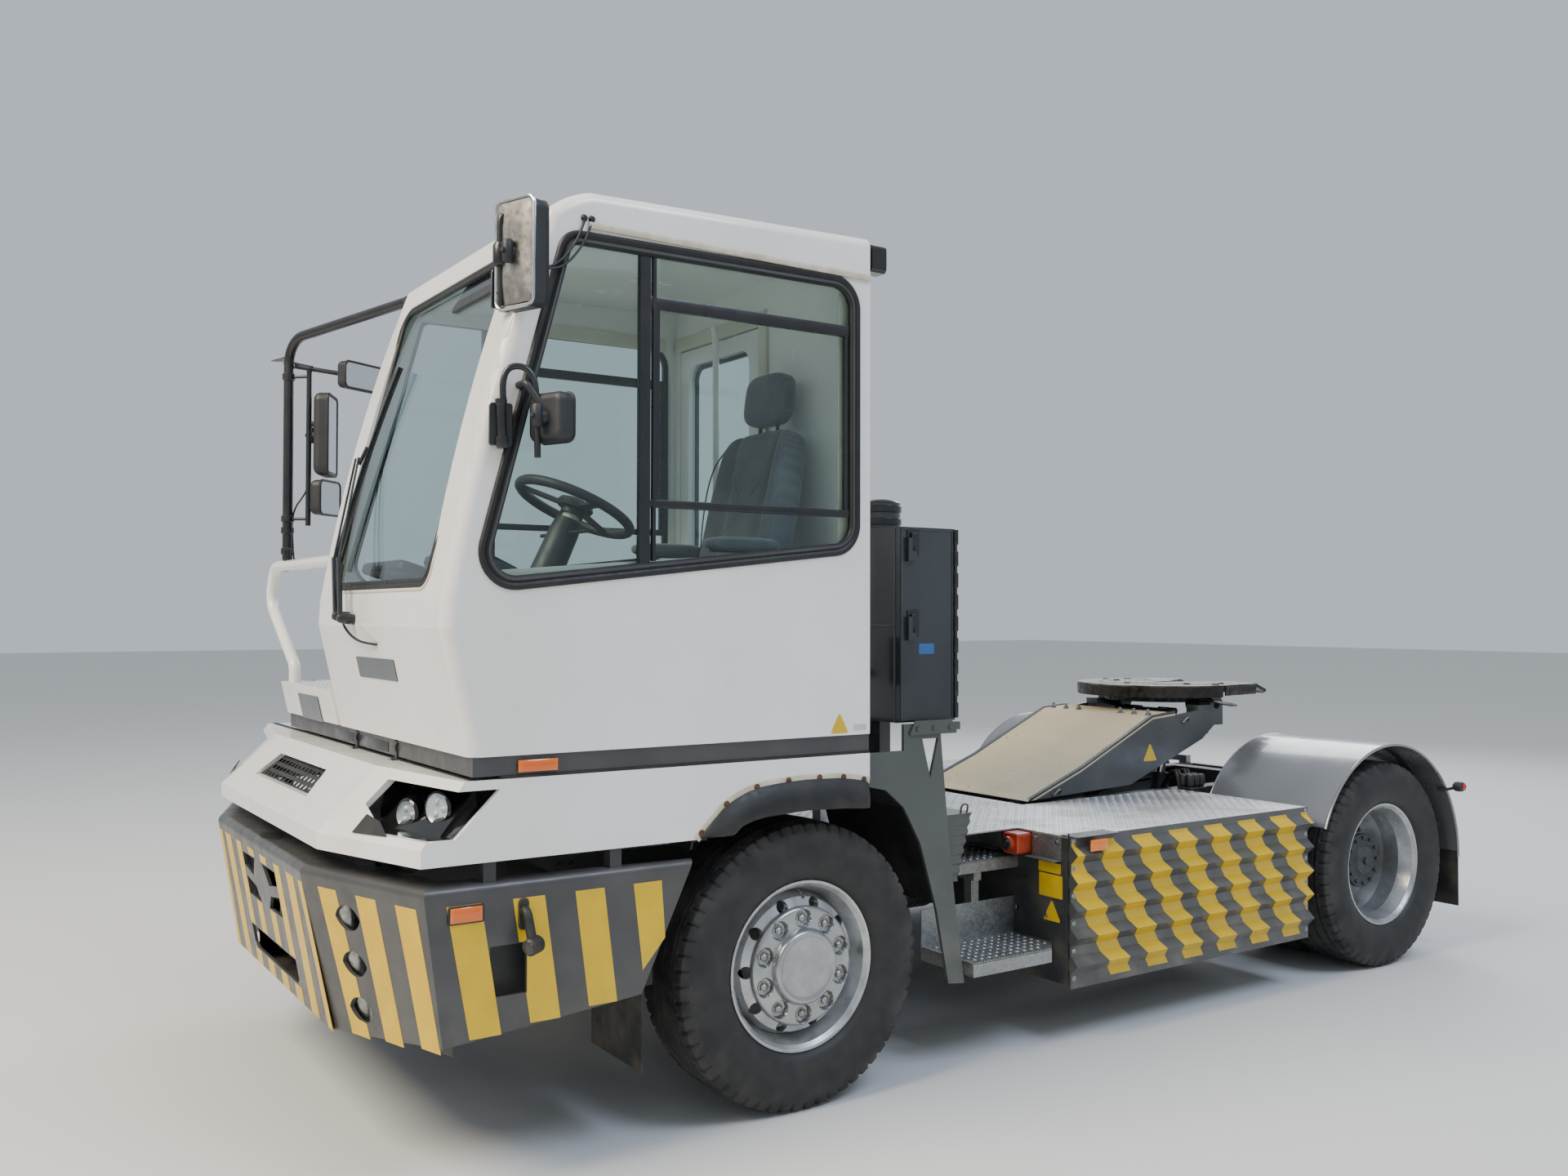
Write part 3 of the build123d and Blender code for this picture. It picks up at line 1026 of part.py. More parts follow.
def cab_walls():
    """Cuts the hollow cab into its panels where the real ones meet."""
    outer, inner = cab_outer(), cab_inner()
    shell = outer - inner
    big = 4000
    seam = ROOF_SEAM_Z
    roof = shell & block(-big, big, -big, big, seam, big)
    body = shell & block(-big, big, -big, big, 0, seam)
    left_in = CAB_LEFT_Y - CAB_WALL
    right_in = CAB_RIGHT_Y + CAB_WALL
    left = body & block(-big, big, left_in, big, 0, big)
    right = body & block(-big, big, -big, right_in, 0, big)
    middle = body & block(-big, big, right_in, left_in, 0, big)
    rear = middle & block(-big, BODY_REAR_X + CAB_WALL, -big, big, 0, big)
    front = middle & block(BODY_REAR_X + CAB_WALL + 200, big, -big, big, 0, big)
    left -= window_solid(CAB_LEFT_Y - 100, CAB_LEFT_Y + 20, 0)
    right -= window_solid(CAB_RIGHT_Y - 20, CAB_RIGHT_Y + 100, 0)
    front -= screen_solid(0)
    rear -= block(BODY_REAR_X - 1, BODY_REAR_X + CAB_WALL + 1, DOOR_RIGHT_Y, DOOR_LEFT_Y, DOOR_LOW_Z, DOOR_TOP_Z)
    for z in DOOR_HINGE_HEIGHTS:
        rear += rod_z(HINGE_PIN_X, HINGE_PIN_Y, 10, z + 50.3, z + 90)
        rear += block(BODY_REAR_X - 8, BODY_REAR_X + 2, HINGE_PIN_Y - 45, HINGE_PIN_Y - 5, z + 50.3, z + 90)
        rear += block(BODY_REAR_X - 16, BODY_REAR_X - 8, HINGE_PIN_Y - 45, HINGE_PIN_Y, z + 50.3, z + 90)
        rear += rod_z(HINGE_PIN_X, HINGE_PIN_Y, 5, z - 52, z + 60)
    return {"cab_roof": roof, "cab_side_left": left, "cab_side_right": right, "cab_rear": rear, "cab_front": front}


def roof_lamps():
    """Two work lamps behind the roof, each on its bracket."""
    lamp = block(ahead(-332), ahead(-266), 1152, 1232, 2992, 3092)
    lamp = fillet(lamp.edges().filter_by(Axis.X), 18)
    lamp += block(ahead(-270), BODY_REAR_X - SEAT_GAP, 1180, 1204, 3000, 3080)
    second = Pos(0, CAB_RIGHT_Y - 1152 + 8, 0) * lamp
    return lamp + second


def cab_glass():
    """Windscreen and side windows, each seated inside its opening."""
    pane = (screen_solid(SEAT_GAP) & (Pos(-12, 0, 0) * cab_block())) - Pos(-12 - GLASS, 0, 0) * cab_block()
    left = window_solid(CAB_LEFT_Y - 20, CAB_LEFT_Y - 20 + GLASS, SEAT_GAP)
    right = window_solid(CAB_RIGHT_Y + 20 - GLASS, CAB_RIGHT_Y + 20, SEAT_GAP)
    return pane + left + right


def cab_floor():
    """Dark floor frame under the cab and the side platform, with the pin of the tilt hinge."""
    inset = 6
    floor = block(BODY_REAR_X, ahead(1236), PLATFORM_Y + inset, CAB_LEFT_Y - inset, FLOOR_BOTTOM_Z, CAB_BOTTOM_Z)
    for y, width in HINGE_LUGS:
        floor -= block(TILT_X - 120, ahead(1237), y - width / 2 - 6, y + width / 2 + 6, FLOOR_BOTTOM_Z - 1, CAB_BOTTOM_Z + 1)
        floor += rod_y(TILT_X, TILT_Z, TILT_PIN_R, y - width / 2 - 7, y + width / 2 + 7)
    return floor


def side_platform():
    """Walk platform beside the cab, folded down at its front, outer side and rear."""
    slope = (CAB_NOSE_LOW[0] - CAB_FOOT_FRONT[0]) / (CAB_NOSE_LOW[1] - CAB_FOOT_FRONT[1])
    front_top = CAB_FOOT_FRONT[0] + slope * (PLATFORM_TOP_Z - CAB_BOTTOM_Z)
    side = [(ahead(-250), CAB_BOTTOM_Z), (ahead(CAB_FOOT_FRONT[0]), CAB_BOTTOM_Z), (ahead(front_top), PLATFORM_TOP_Z),
            (ahead(-250), PLATFORM_TOP_Z)]
    tray = outline_xz(side, PLATFORM_Y, CAB_RIGHT_Y)
    tray -= block(BODY_REAR_X + PLATFORM_WALL, ahead(CAB_FOOT_FRONT[0] - PLATFORM_WALL), PLATFORM_Y + PLATFORM_WALL,
                  CAB_RIGHT_Y + 1, CAB_BOTTOM_Z - 1, PLATFORM_TOP_Z - PLATFORM_WALL)
    return tray


HOOP_R = 24
POLE_R = 21
POLE_X = FRONT_AXLE_X + 1262
POLE_Y = -912
MIRROR_TUBE_X = FRONT_AXLE_X + 1192
MIRROR_TUBE_Y = -850


def guard_rail():
    """White tube hoop on the platform's outer corner, running back to the cab."""
    route = [(ahead(1246), -830, PLATFORM_TOP_Z + SEAT_GAP), (ahead(1246), -830, PLATFORM_TOP_Z + 70),
             (ahead(1262), -1215, 1800), (ahead(1262), -1120, 1948), (ahead(1262), CAB_RIGHT_Y - SEAT_GAP, 1946)]
    return tube(route, HOOP_R, [55, 90, 90])


def mirror_pole():
    """Black tube from the guard rail up to the cab's brow, with the thin rod that holds the mirrors."""
    pole = tube([(POLE_X, POLE_Y, 1946 + HOOP_R + 2.3), (POLE_X, POLE_Y, 2925), (ahead(985), CAB_RIGHT_Y - 12, 2986), (ahead(985), CAB_RIGHT_Y - SEAT_GAP, 2986)],
                POLE_R, [110, 6])
    pole += rod_between((POLE_X, POLE_Y, 2150), (MIRROR_TUBE_X, MIRROR_TUBE_Y, 2150), 7)
    pole += rod_between((POLE_X, POLE_Y, 2765), (MIRROR_TUBE_X, MIRROR_TUBE_Y, 2765), 7)
    pole += rod_z(MIRROR_TUBE_X, MIRROR_TUBE_Y, 11, 2120, 2800)
    return pole


def mirror_shell(width, height, depth, tilt):
    """Mirror housing with rounded edges, its glass facing back."""
    form = Box(depth, width, height)
    form = fillet(form.edges().filter_by(Axis.X), min(width, height) * 0.2)
    form = fillet(form.faces().sort_by(Axis.X)[-1].edges(), depth * 0.45)
    return Rot(0, 0, tilt) * form


def mirrors_left():
    """Main and wide-angle mirrors on arms from the cab's front corner."""
    upper = Pos(ahead(1125), 1320, 2818) * mirror_shell(160, 323, 60, 20)
    upper += tube([(ahead(1035), CAB_LEFT_Y + SEAT_GAP, 2752), (ahead(1035), 1282, 2752), (ahead(1130), 1322, 2770)], 11, 20)
    lower = Pos(ahead(1035), 1330, 2336) * mirror_shell(150, 150, 55, 20)
    lower += tube([(ahead(1100), CAB_LEFT_Y + SEAT_GAP, 2440), (ahead(1100), 1300, 2440), (ahead(1050), 1330, 2350)], 11, 20)
    return upper + lower


def mirrors_right():
    """Main and wide-angle mirrors on the thin tube, and a close-view mirror on its own arm."""
    main = Pos(ahead(1130), -830, 2512) * mirror_shell(190, 355, 62, -27)
    main += rod_between((MIRROR_TUBE_X - 10.3, MIRROR_TUBE_Y + 4.9, 2560), (ahead(1150), -830, 2560), 12)
    wide = Pos(ahead(1130), -830, 2240) * mirror_shell(170, 150, 55, -45)
    wide += rod_between((MIRROR_TUBE_X - 10.3, MIRROR_TUBE_Y + 4.9, 2240), (ahead(1150), -830, 2240), 12)
    near = Pos(ahead(1000), -760, 2765) * mirror_shell(240, 116, 50, -60)
    near += rod_between((POLE_X - 21.5, POLE_Y + 13.6, 2812), (ahead(1020), -780, 2775), 10)
    return main + wide + near


SEAT_Y = 800


def driver_seat():
    """Driver's seat on its pedestal: cushion, backrest and headrest in one closed form."""
    seat = block(ahead(50), ahead(430), SEAT_Y - 210, SEAT_Y + 210, CAB_BOTTOM_Z, 1720)
    seat += block(ahead(10), ahead(490), SEAT_Y - 240, SEAT_Y + 240, 1720, 1870)
    seat += outline_xz([(ahead(110), 1800), (ahead(-30), 1840), (ahead(-165), 2430), (ahead(-50), 2440)], SEAT_Y - 235, SEAT_Y + 235)
    seat += outline_xz([(ahead(-160), 2420), (ahead(-55), 2430), (ahead(-60), 2662), (ahead(-165), 2650)], SEAT_Y - 125, SEAT_Y + 125)
    return seat


def dash_console():
    """Dashboard with the steering column rising from it."""
    board = outline_xz([(ahead(900), CAB_BOTTOM_Z), (ahead(1200), CAB_BOTTOM_Z), (ahead(1280), 1760), (ahead(1150), 1868),
                        (ahead(1000), 1850)], CAB_RIGHT_Y + 60, CAB_LEFT_Y - 60)
    board += rod_between(tuple(c - 600 * a for c, a in zip(WHEEL_CENTRE, WHEEL_FACE)), WHEEL_CENTRE, 30)
    return board


WHEEL_CENTRE = (FRONT_AXLE_X + 720, SEAT_Y, 2085)
WHEEL_FACE = (-0.4226, 0, 0.9063)
WHEEL_R = 205
WHEEL_RIM_R = 15


def steering_wheel():
    """Steering wheel with three spokes, tilted towards the driver."""
    ring = Torus(WHEEL_R, WHEEL_RIM_R)
    hub = Pos(0, 0, -6) * Cylinder(42, 50)
    for angle in (90, 210, 330):
        spoke = Rot(0, 0, angle) * Pos(WHEEL_R / 2, 0, 0) * Box(WHEEL_R - 20, 30, 12)
        hub += spoke
    wheel = ring + hub
    axis = Vector(*WHEEL_FACE)
    return Plane(origin=Vector(*WHEEL_CENTRE) + axis * (31 + SEAT_GAP), z_dir=axis) * wheel


def rear_door():
    """Cab entry door in the rear wall, with its window cut."""
    gap = 5
    door = block(BODY_REAR_X, BODY_REAR_X + CAB_WALL, DOOR_RIGHT_Y + gap, DOOR_LEFT_Y - gap, DOOR_LOW_Z + gap, DOOR_TOP_Z - gap)
    opening = block(BODY_REAR_X - 1, BODY_REAR_X + CAB_WALL + 1, DOOR_RIGHT_Y + 75, DOOR_LEFT_Y - 75, 1900, DOOR_TOP_Z - 75)
    opening = fillet(opening.edges().filter_by(Axis.X), 60)
    door -= opening
    for z in DOOR_HINGE_HEIGHTS:
        door += rod_z(HINGE_PIN_X, HINGE_PIN_Y, 10, z - 50, z + 50)
        door += block(HINGE_PIN_X - 4, BODY_REAR_X + 2, HINGE_PIN_Y, HINGE_PIN_Y + 45, z - 50, z + 50)
    for z in DOOR_HINGE_HEIGHTS:
        door -= rod_z(HINGE_PIN_X, HINGE_PIN_Y, 5.05, z - 60, z + 60)
    return door


def rear_door_glass():
    pane = block(BODY_REAR_X + 17, BODY_REAR_X + 17 + GLASS, DOOR_RIGHT_Y + 75 + SEAT_GAP, DOOR_LEFT_Y - 75 - SEAT_GAP,
                 1900 + SEAT_GAP, DOOR_TOP_Z - 75 - SEAT_GAP)
    return fillet(pane.edges().filter_by(Axis.X), 60)


def build_all():
    pieces = {
        "frame_rails": frame_rails(),
        "front_bumper": front_bumper(),
        "tow_jaw": tow_jaw(),
        "front_axle": front_axle(),
        "rear_axle": rear_axle(),
        "drive_unit": drive_unit(),
        "lower_body": lower_body(),
        "headlamps": headlamps(),
        "intake_grille": intake_grille(),
        "arch_lips": arch_lips(),
        "arch_liners": arch_liners(),
        "fender_blades": fender_blades(),
        "steps": steps(),
        "hanging_plates": hanging_plates(),
        "isolator_switch": isolator_switch(),
        "wheel_chock": wheel_chock(),
        "battery_boxes": battery_boxes(),
        "ridge_panels": ridge_panels(),
        "deck": deck(),
        "cabinet_body": cabinet_body(),
        "cabinet_door": cabinet_door(),
        "rear_mudguards": rear_mudguards(),
        "mud_flaps": mud_flaps(),
        "marker_lamps": marker_lamps(),
        "air_tanks": air_tanks(),
        "knuckle_left": knuckle(1),
        "knuckle_right": knuckle(-1),
        "tie_rod": tie_rod(),
        "front_wheel_left": front_wheel(1),
        "front_wheel_right": front_wheel(-1),
        "front_tyre_left": front_tyre(1),
        "front_tyre_right": front_tyre(-1),
        "rear_wheels_left": rear_wheel_pair(1),
        "rear_wheels_right": rear_wheel_pair(-1),
        "rear_tyres_left": rear_tyres(1),
        "rear_tyres_right": rear_tyres(-1),
        "boom_frame": boom_frame(),
        "ramp_plate": ramp_plate(),
        "fifth_wheel": fifth_wheel(),
        "lift_barrels": lift_barrels(),
        "lift_rods": lift_rods(),
        "roof_lamps": roof_lamps(),
        "cab_glass": cab_glass(),
        "cab_floor": cab_floor(),
        "side_platform": side_platform(),
        "guard_rail": guard_rail(),
        "mirror_pole": mirror_pole(),
        "mirrors_left": mirrors_left(),
        "mirrors_right": mirrors_right(),
        "driver_seat": driver_seat(),
        "dash_console": dash_console(),
        "steering_wheel": steering_wheel(),
        "rear_door": rear_door(),
        "rear_door_glass": rear_door_glass(),
    }
    pieces.update(cab_walls())
    return pieces


for name, piece in build_all().items():
    export_step(piece, "parts/" + name + ".step")
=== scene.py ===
"""Finishes, tyres and fine parts of an electric terminal tractor, laid round its fixed frame.

Shapes are worked out in millimetres, as the frame's own source does, and turned to metres when
a mesh is made. X points forward, Y to the vehicle's left and Z up from the ground.
"""

from math import cos, pi, radians, sin

import bmesh
import bpy
import numpy as np
from mathutils import Matrix, Vector


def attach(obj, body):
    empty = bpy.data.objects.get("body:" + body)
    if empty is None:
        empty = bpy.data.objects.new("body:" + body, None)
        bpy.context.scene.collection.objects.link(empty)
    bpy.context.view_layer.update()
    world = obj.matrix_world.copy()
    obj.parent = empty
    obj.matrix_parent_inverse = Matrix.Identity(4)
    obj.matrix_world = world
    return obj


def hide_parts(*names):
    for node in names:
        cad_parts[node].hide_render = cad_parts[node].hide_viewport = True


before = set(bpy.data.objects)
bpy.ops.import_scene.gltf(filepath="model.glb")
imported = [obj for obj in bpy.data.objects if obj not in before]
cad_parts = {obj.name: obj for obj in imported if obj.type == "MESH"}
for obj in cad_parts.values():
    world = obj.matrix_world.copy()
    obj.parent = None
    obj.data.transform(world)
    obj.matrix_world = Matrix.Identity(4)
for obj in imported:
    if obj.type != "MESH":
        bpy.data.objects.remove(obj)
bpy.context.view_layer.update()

bl_info = {
    "name": "Electric terminal tractor",
    "version": (1, 0, 0),
    "blender": (4, 5, 0),
    "location": "View3D > Sidebar > Tractor",
    "description": "Tyres, glass, trim and finishes round the frame of a terminal tractor",
    "category": "Object",
}

MM = 0.001
FRONT_AXLE = 1265.0
REAR_AXLE = -2235.0
AXLE_Z = 506.0
TYRE_R = 506.0
HALF_WIDTH = 1250.0
CAB_LEFT = 1240.0
CAB_RIGHT = -160.0
DECK_Z = 841.0
SIDES = ((1, "left"), (-1, "right"))

# Directions
UP = (0, 0, 1)
DOWN = (0, 0, -1)
FORE = (1, 0, 0)
BACK = (-1, 0, 0)
LEFT = (0, 1, 0)


# Arrays and outlines

def ahead(distance):
    """Place along the vehicle, measured forward from the front axle, in millimetres."""
    return FRONT_AXLE + distance


def from_axle(*points):
    """Points whose first measure is taken ahead of the front axle."""
    return np.asarray(points, float) + (FRONT_AXLE, 0, 0)


BODY_REAR = ahead(-250)


def unit(v):
    """Vectors brought to length one."""
    v = np.asarray(v, float)
    return v / np.linalg.norm(v, axis=-1, keepdims=True)


def ring(radius, count, start=0.0):
    """Points (radius cos t, radius sin t) for count even steps of t round a circle."""
    t = start + np.arange(count) * 2 * pi / count
    return np.stack([radius * np.cos(t), radius * np.sin(t)], -1)


def rectangle(width, height, corner=0.0, steps=4):
    """Rectangle about the origin with rounded corners."""
    w, h = width / 2, height / 2
    return rounded([(w, -h), (w, h), (-w, h), (-w, -h)], corner, steps)


def oblong(half_width, half_height, corner, steps):
    """Rounded rectangle given by its half sizes, drawn from its lower corner."""
    w, h = half_width, half_height
    return rounded([(-w, -h), (w, -h), (w, h), (-w, h)], corner, steps)


def rounded(corners, radius, steps=6):
    """Closed outline whose corners are arcs: each runs from one tangent point to the next,
    centre plus radius times a direction turned evenly between the two edge normals."""
    c = np.asarray(corners, float)
    r = np.broadcast_to(np.asarray(radius, float), (len(c),))[:, None]
    before, after = unit(np.roll(c, 1, 0) - c), unit(np.roll(c, -1, 0) - c)
    half = np.arccos(np.clip((before * after).sum(1), -1, 1))[:, None] / 2
    if not r.any():
        return c
    centre = c + unit(before + after) * r / np.sin(half)
    start = c + before * r / np.tan(half) - centre
    end = c + after * r / np.tan(half) - centre
    t = np.linspace(0, 1, steps)[None, :, None]
    sweep_angle = (pi - 2 * half)[:, :, None]
    arc = (np.sin((1 - t) * sweep_angle) * start[:, None] + np.sin(t * sweep_angle) * end[:, None])
    arc = arc / np.sin(sweep_angle)
    return (centre[:, None] + arc).reshape(-1, 2)


def inset(outline, depth):
    """Closed outline moved inwards by depth along the bisector of its two edge normals."""
    p = np.asarray(outline, float)
    one, two = unit(p - np.roll(p, 1, 0)), unit(np.roll(p, -1, 0) - p)
    area = (p[:, 0] * np.roll(p[:, 1], -1) - np.roll(p[:, 0], -1) * p[:, 1]).sum()
    turn = np.array([[0, 1], [-1, 0]]) if area > 0 else np.array([[0, -1], [1, 0]])
    n1, n2 = one @ turn.T * -1, two @ turn.T * -1
    way = n1 + n2
    way = way / np.maximum((way * n1).sum(1), 0.3)[:, None]
    return p + way * depth


def smooth_path(points, rounds=3):
    """Corners cut round: each stretch keeps its points at a quarter and three quarters."""
    p = np.asarray(points, float)
    for _ in range(rounds):
        near, far = p[:-1] * 0.75 + p[1:] * 0.25, p[:-1] * 0.25 + p[1:] * 0.75
        p = np.concatenate([p[:1], np.stack([near, far], 1).reshape(-1, p.shape[1]), p[-1:]])
    return p


# Forms: a form is its points and blocks of faces with equal corner counts

def grid(rows, columns, wrap_rows=False, wrap_columns=False):
    """Quads between the points of a grid laid out row by row."""
    r = np.arange(rows if wrap_rows else rows - 1)[:, None]
    c = np.arange(columns if wrap_columns else columns - 1)[None, :]
    r2, c2 = (r + 1) % rows, (c + 1) % columns
    quads = [r * columns + c, r2 * columns + c, r2 * columns + c2, r * columns + c2]
    return np.stack([np.broadcast_to(q, (r.size, c.size)) for q in quads], -1).reshape(-1, 4)


def join(*forms):
    """Several forms as one."""
    points, blocks, base = [], [], 0
    for p, b in forms:
        points.append(p)
        blocks += [block + base for block in b]
        base += len(p)
    return np.concatenate(points), blocks


def surface(points, wrap_u=False, wrap_v=False):
    """Sheet through a grid of points (u, v, 3)."""
    u, v = points.shape[:2]
    return points.reshape(-1, 3), [grid(u, v, wrap_u, wrap_v)]


def slab(front, back):
    """Closed plate between two grids of points."""
    edges = (0, -1, np.s_[:, 0], np.s_[:, -1])
    rims = [surface(np.stack([front[edge], back[edge]])) for edge in edges]
    return join(surface(front), surface(back), *rims)


def lathe(profile, turns=24):
    """Profile (radius, height) turned about Z: (r cos t, r sin t, h)."""
    p = np.asarray(profile, float)
    circle = ring(1.0, turns)
    points = np.concatenate([p[:, :1, None] * circle.T[None], p[:, 1:, None] * np.ones((1, 1, turns))], 1)
    return surface(points.transpose(0, 2, 1), wrap_v=True)


def prism(outline, low, high, chamfer=0.0):
    """Outline carried from low to high along Z, its end edges broken by a chamfer."""
    o = np.asarray(outline, float)
    rings = [(o, low), (o, high)]
    if chamfer:
        small = inset(o, chamfer)
        rings = [(small, low), (o, low + chamfer), (o, high - chamfer), (small, high)]
    n = len(o)
    points = np.concatenate([np.column_stack([r, np.full(n, z)]) for r, z in rings])
    caps = np.stack([np.arange(n)[::-1], np.arange(n) + n * (len(rings) - 1)])
    return points, [grid(len(rings), n, wrap_columns=True), caps]


def sweep(path, section, up=UP, closed=False):
    """Section (side, lift) carried along a path: path + side * (way x up) + lift * its normal."""
    p = np.asarray(path, float)
    way = np.roll(p, -1, 0) - np.roll(p, 1, 0)
    if not closed:
        way[0], way[-1] = p[1] - p[0], p[-1] - p[-2]
    way = unit(way)
    side = unit(np.cross(way, np.asarray(up, float)))
    lift = np.cross(side, way)
    s = np.asarray(section, float)
    points = p[:, None] + side[:, None] * s[None, :, :1] + lift[:, None] * s[None, :, 1:]
    n, m = len(p), len(s)
    blocks = [grid(n, m, closed, True)]
    if not closed:
        blocks.append(np.stack([np.arange(m), np.arange(m)[::-1] + m * (n - 1)]))
    return points.reshape(-1, 3), blocks


def tube(path, radius, sides=10, up=(0.05, 0.1, 1), rounds=3):
    """Round bar along a smoothed path."""
    return sweep(smooth_path(path, rounds), ring(radius, sides), up)


def frames(places, axis, along):
    """One 3x4 frame for each place: its Z along axis and its X as near along as it can be."""
    spots = np.atleast_2d(np.asarray(places, float))
    z = unit(np.broadcast_to(np.asarray(axis, float), spots.shape))
    a = np.broadcast_to(np.asarray(along, float), spots.shape)
    x = unit(a - (a * z).sum(1, keepdims=True) * z)
    return np.stack([x, np.cross(z, x), z, spots], -1)


def copies(form, places):
    """The same form set at each frame."""
    points, blocks = form
    out = np.einsum("nij,kj->nki", places[:, :, :3], points) + places[:, None, :, 3]
    step = np.arange(len(places))[:, None, None] * len(points)
    return out.reshape(-1, 3), [(b[None] + step).reshape(-1, b.shape[1]) for b in blocks]


def at(form, places, axis=UP, along=FORE):
    """A form set at one place or at each of several, its Z along axis."""
    return copies(form, frames(places, axis, along))


def around(form, circle, count, height, start=0.0):
    """A form repeated evenly round a circle about Z, at a height."""
    return at(form, np.column_stack([ring(circle, count, start), np.full(count, height)]))


def shift(form, x=0.0, y=0.0, z=0.0):
    """A form moved along the three axes."""
    return form[0] + (x, y, z), form[1]


def plate(size, span, place, axis=UP, along=FORE):
    """Rectangular plate: size is its width, height and corner radius, and span its lower face,
    its upper face and the chamfer of their edges."""
    return at(prism(rectangle(*size), *span), place, axis, along)


def bar(start, end, width, height, up, corner=3.0):
    """Straight bar with rounded edges: width across it, height along up."""
    return sweep([start, end], rectangle(width, height, corner, 3), up)


def other_side(form):
    """The form mirrored to the vehicle's other side."""
    points, blocks = form
    return points * (1, -1, 1), [b[:, ::-1] for b in blocks]


def both_sides(*forms):
    """Forms on both sides of the vehicle, as one."""
    return join(*forms, other_side(join(*forms)))


def hexagon_head(radius, height):
    """Hexagon bolt head with a broken edge, standing on Z = 0."""
    return lathe([(0, height), (radius * 0.82, height), (radius, height * 0.82), (radius, -1), (0, -1)], 6)


def dome_head(radius, height):
    """Round head whose height falls as the cosine of its radius."""
    t = np.linspace(0, pi / 2, 4)
    dome = np.column_stack([radius * np.sin(t), height * np.cos(t)])
    return lathe([*dome, (radius, -1), (0, -1)], 10)


def make(name, form, finish, body, replaces=(), smooth=35.0):
    """Puts a form into a mesh in metres, closes its seams, turns its faces outwards and sets it
    on a body."""
    points, blocks = form
    mesh = bpy.data.meshes.new(name)
    mesh.from_pydata(points * MM, [], [face for block in blocks for face in block.tolist()])
    work = bmesh.new()
    work.from_mesh(mesh)
    bmesh.ops.remove_doubles(work, verts=work.verts, dist=1e-5)
    bmesh.ops.recalc_face_normals(work, faces=work.faces)
    work.to_mesh(mesh)
    work.free()
    mesh.shade_smooth()
    mesh.set_sharp_from_angle(angle=radians(smooth))
    mesh.materials.append(material(finish))
    piece = bpy.data.objects.new(name, mesh)
    bpy.context.scene.collection.objects.link(piece)
    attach(piece, body)
    if replaces:
        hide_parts(*replaces)
    return piece


# Materials

def linear(hex_code):
    """An sRGB hex colour as the linear colour that a shader takes."""
    value = np.array([int(hex_code[i : i + 2], 16) for i in (1, 3, 5)]) / 255
    value = np.where(value <= 0.04045, value / 12.92, ((value + 0.055) / 1.055) ** 2.4)
    return (*value.tolist(), 1.0)


def connect(tree, made, inputs):
    """Gives each socket of a node its value, or the output that it is linked to."""
    for socket, value in dict(inputs).items():
        if isinstance(value, bpy.types.NodeSocket):
            tree.links.new(value, made.inputs[socket])
        else:
            made.inputs[socket].default_value = value


def node(tree, kind, inputs=(), **settings):
    """Adds a shader node with its settings and inputs."""
    made = tree.nodes.new("ShaderNode" + kind)
    for name, value in settings.items():
        setattr(made, name, value)
    connect(tree, made, inputs)
    return made


def noise(tree, place, size, detail=3.0):
    """Noise whose clouds are size millimetres across."""
    ends = {"Vector": place, "Scale": 1 / (size * MM), "Detail": detail}
    return node(tree, "TexNoise", ends).outputs["Fac"]


def spread(tree, value, low, high, to_low=0.0, to_high=1.0):
    """A value between low and high brought to another range, and held there outside it."""
    ends = {"From Min": low, "From Max": high, "To Min": to_low, "To Max": to_high, "Value": value}
    return node(tree, "MapRange", ends).outputs["Result"]


def product(tree, one, two):
    """One value times another."""
    return node(tree, "Math", {0: one, 1: two}, operation="MULTIPLY").outputs[0]


def mixed(tree, share, one, two):
    """Colour one turning to colour two by share. Each is a hex colour or another node's output."""
    ends = {6: one, 7: two}
    ends = {socket: linear(hue) if isinstance(hue, str) else hue for socket, hue in ends.items()}
    return node(tree, "Mix", {"Factor": share, **ends}, data_type="RGBA").outputs[2]


def relief(tree, height, depth, strength, **settings):
    """Normals bent by a height that spans depth millimetres."""
    ends = {"Height": height, "Distance": depth * MM, "Strength": strength}
    return node(tree, "Bump", ends, **settings).outputs["Normal"]


def fraction(tree, vector, part):
    """One of the three parts of a vector."""
    return node(tree, "SeparateXYZ", {"Vector": vector}).outputs[part]


def begin(name):
    """An empty material with its output, its shader and the place on the piece."""
    made = bpy.data.materials.new(name)
    made.use_nodes = True
    tree = made.node_tree
    tree.nodes.clear()
    shader = node(tree, "BsdfPrincipled")
    node(tree, "OutputMaterial", {"Surface": shader.outputs["BSDF"]})
    return made, tree, shader, node(tree, "TexCoord").outputs["Object"]


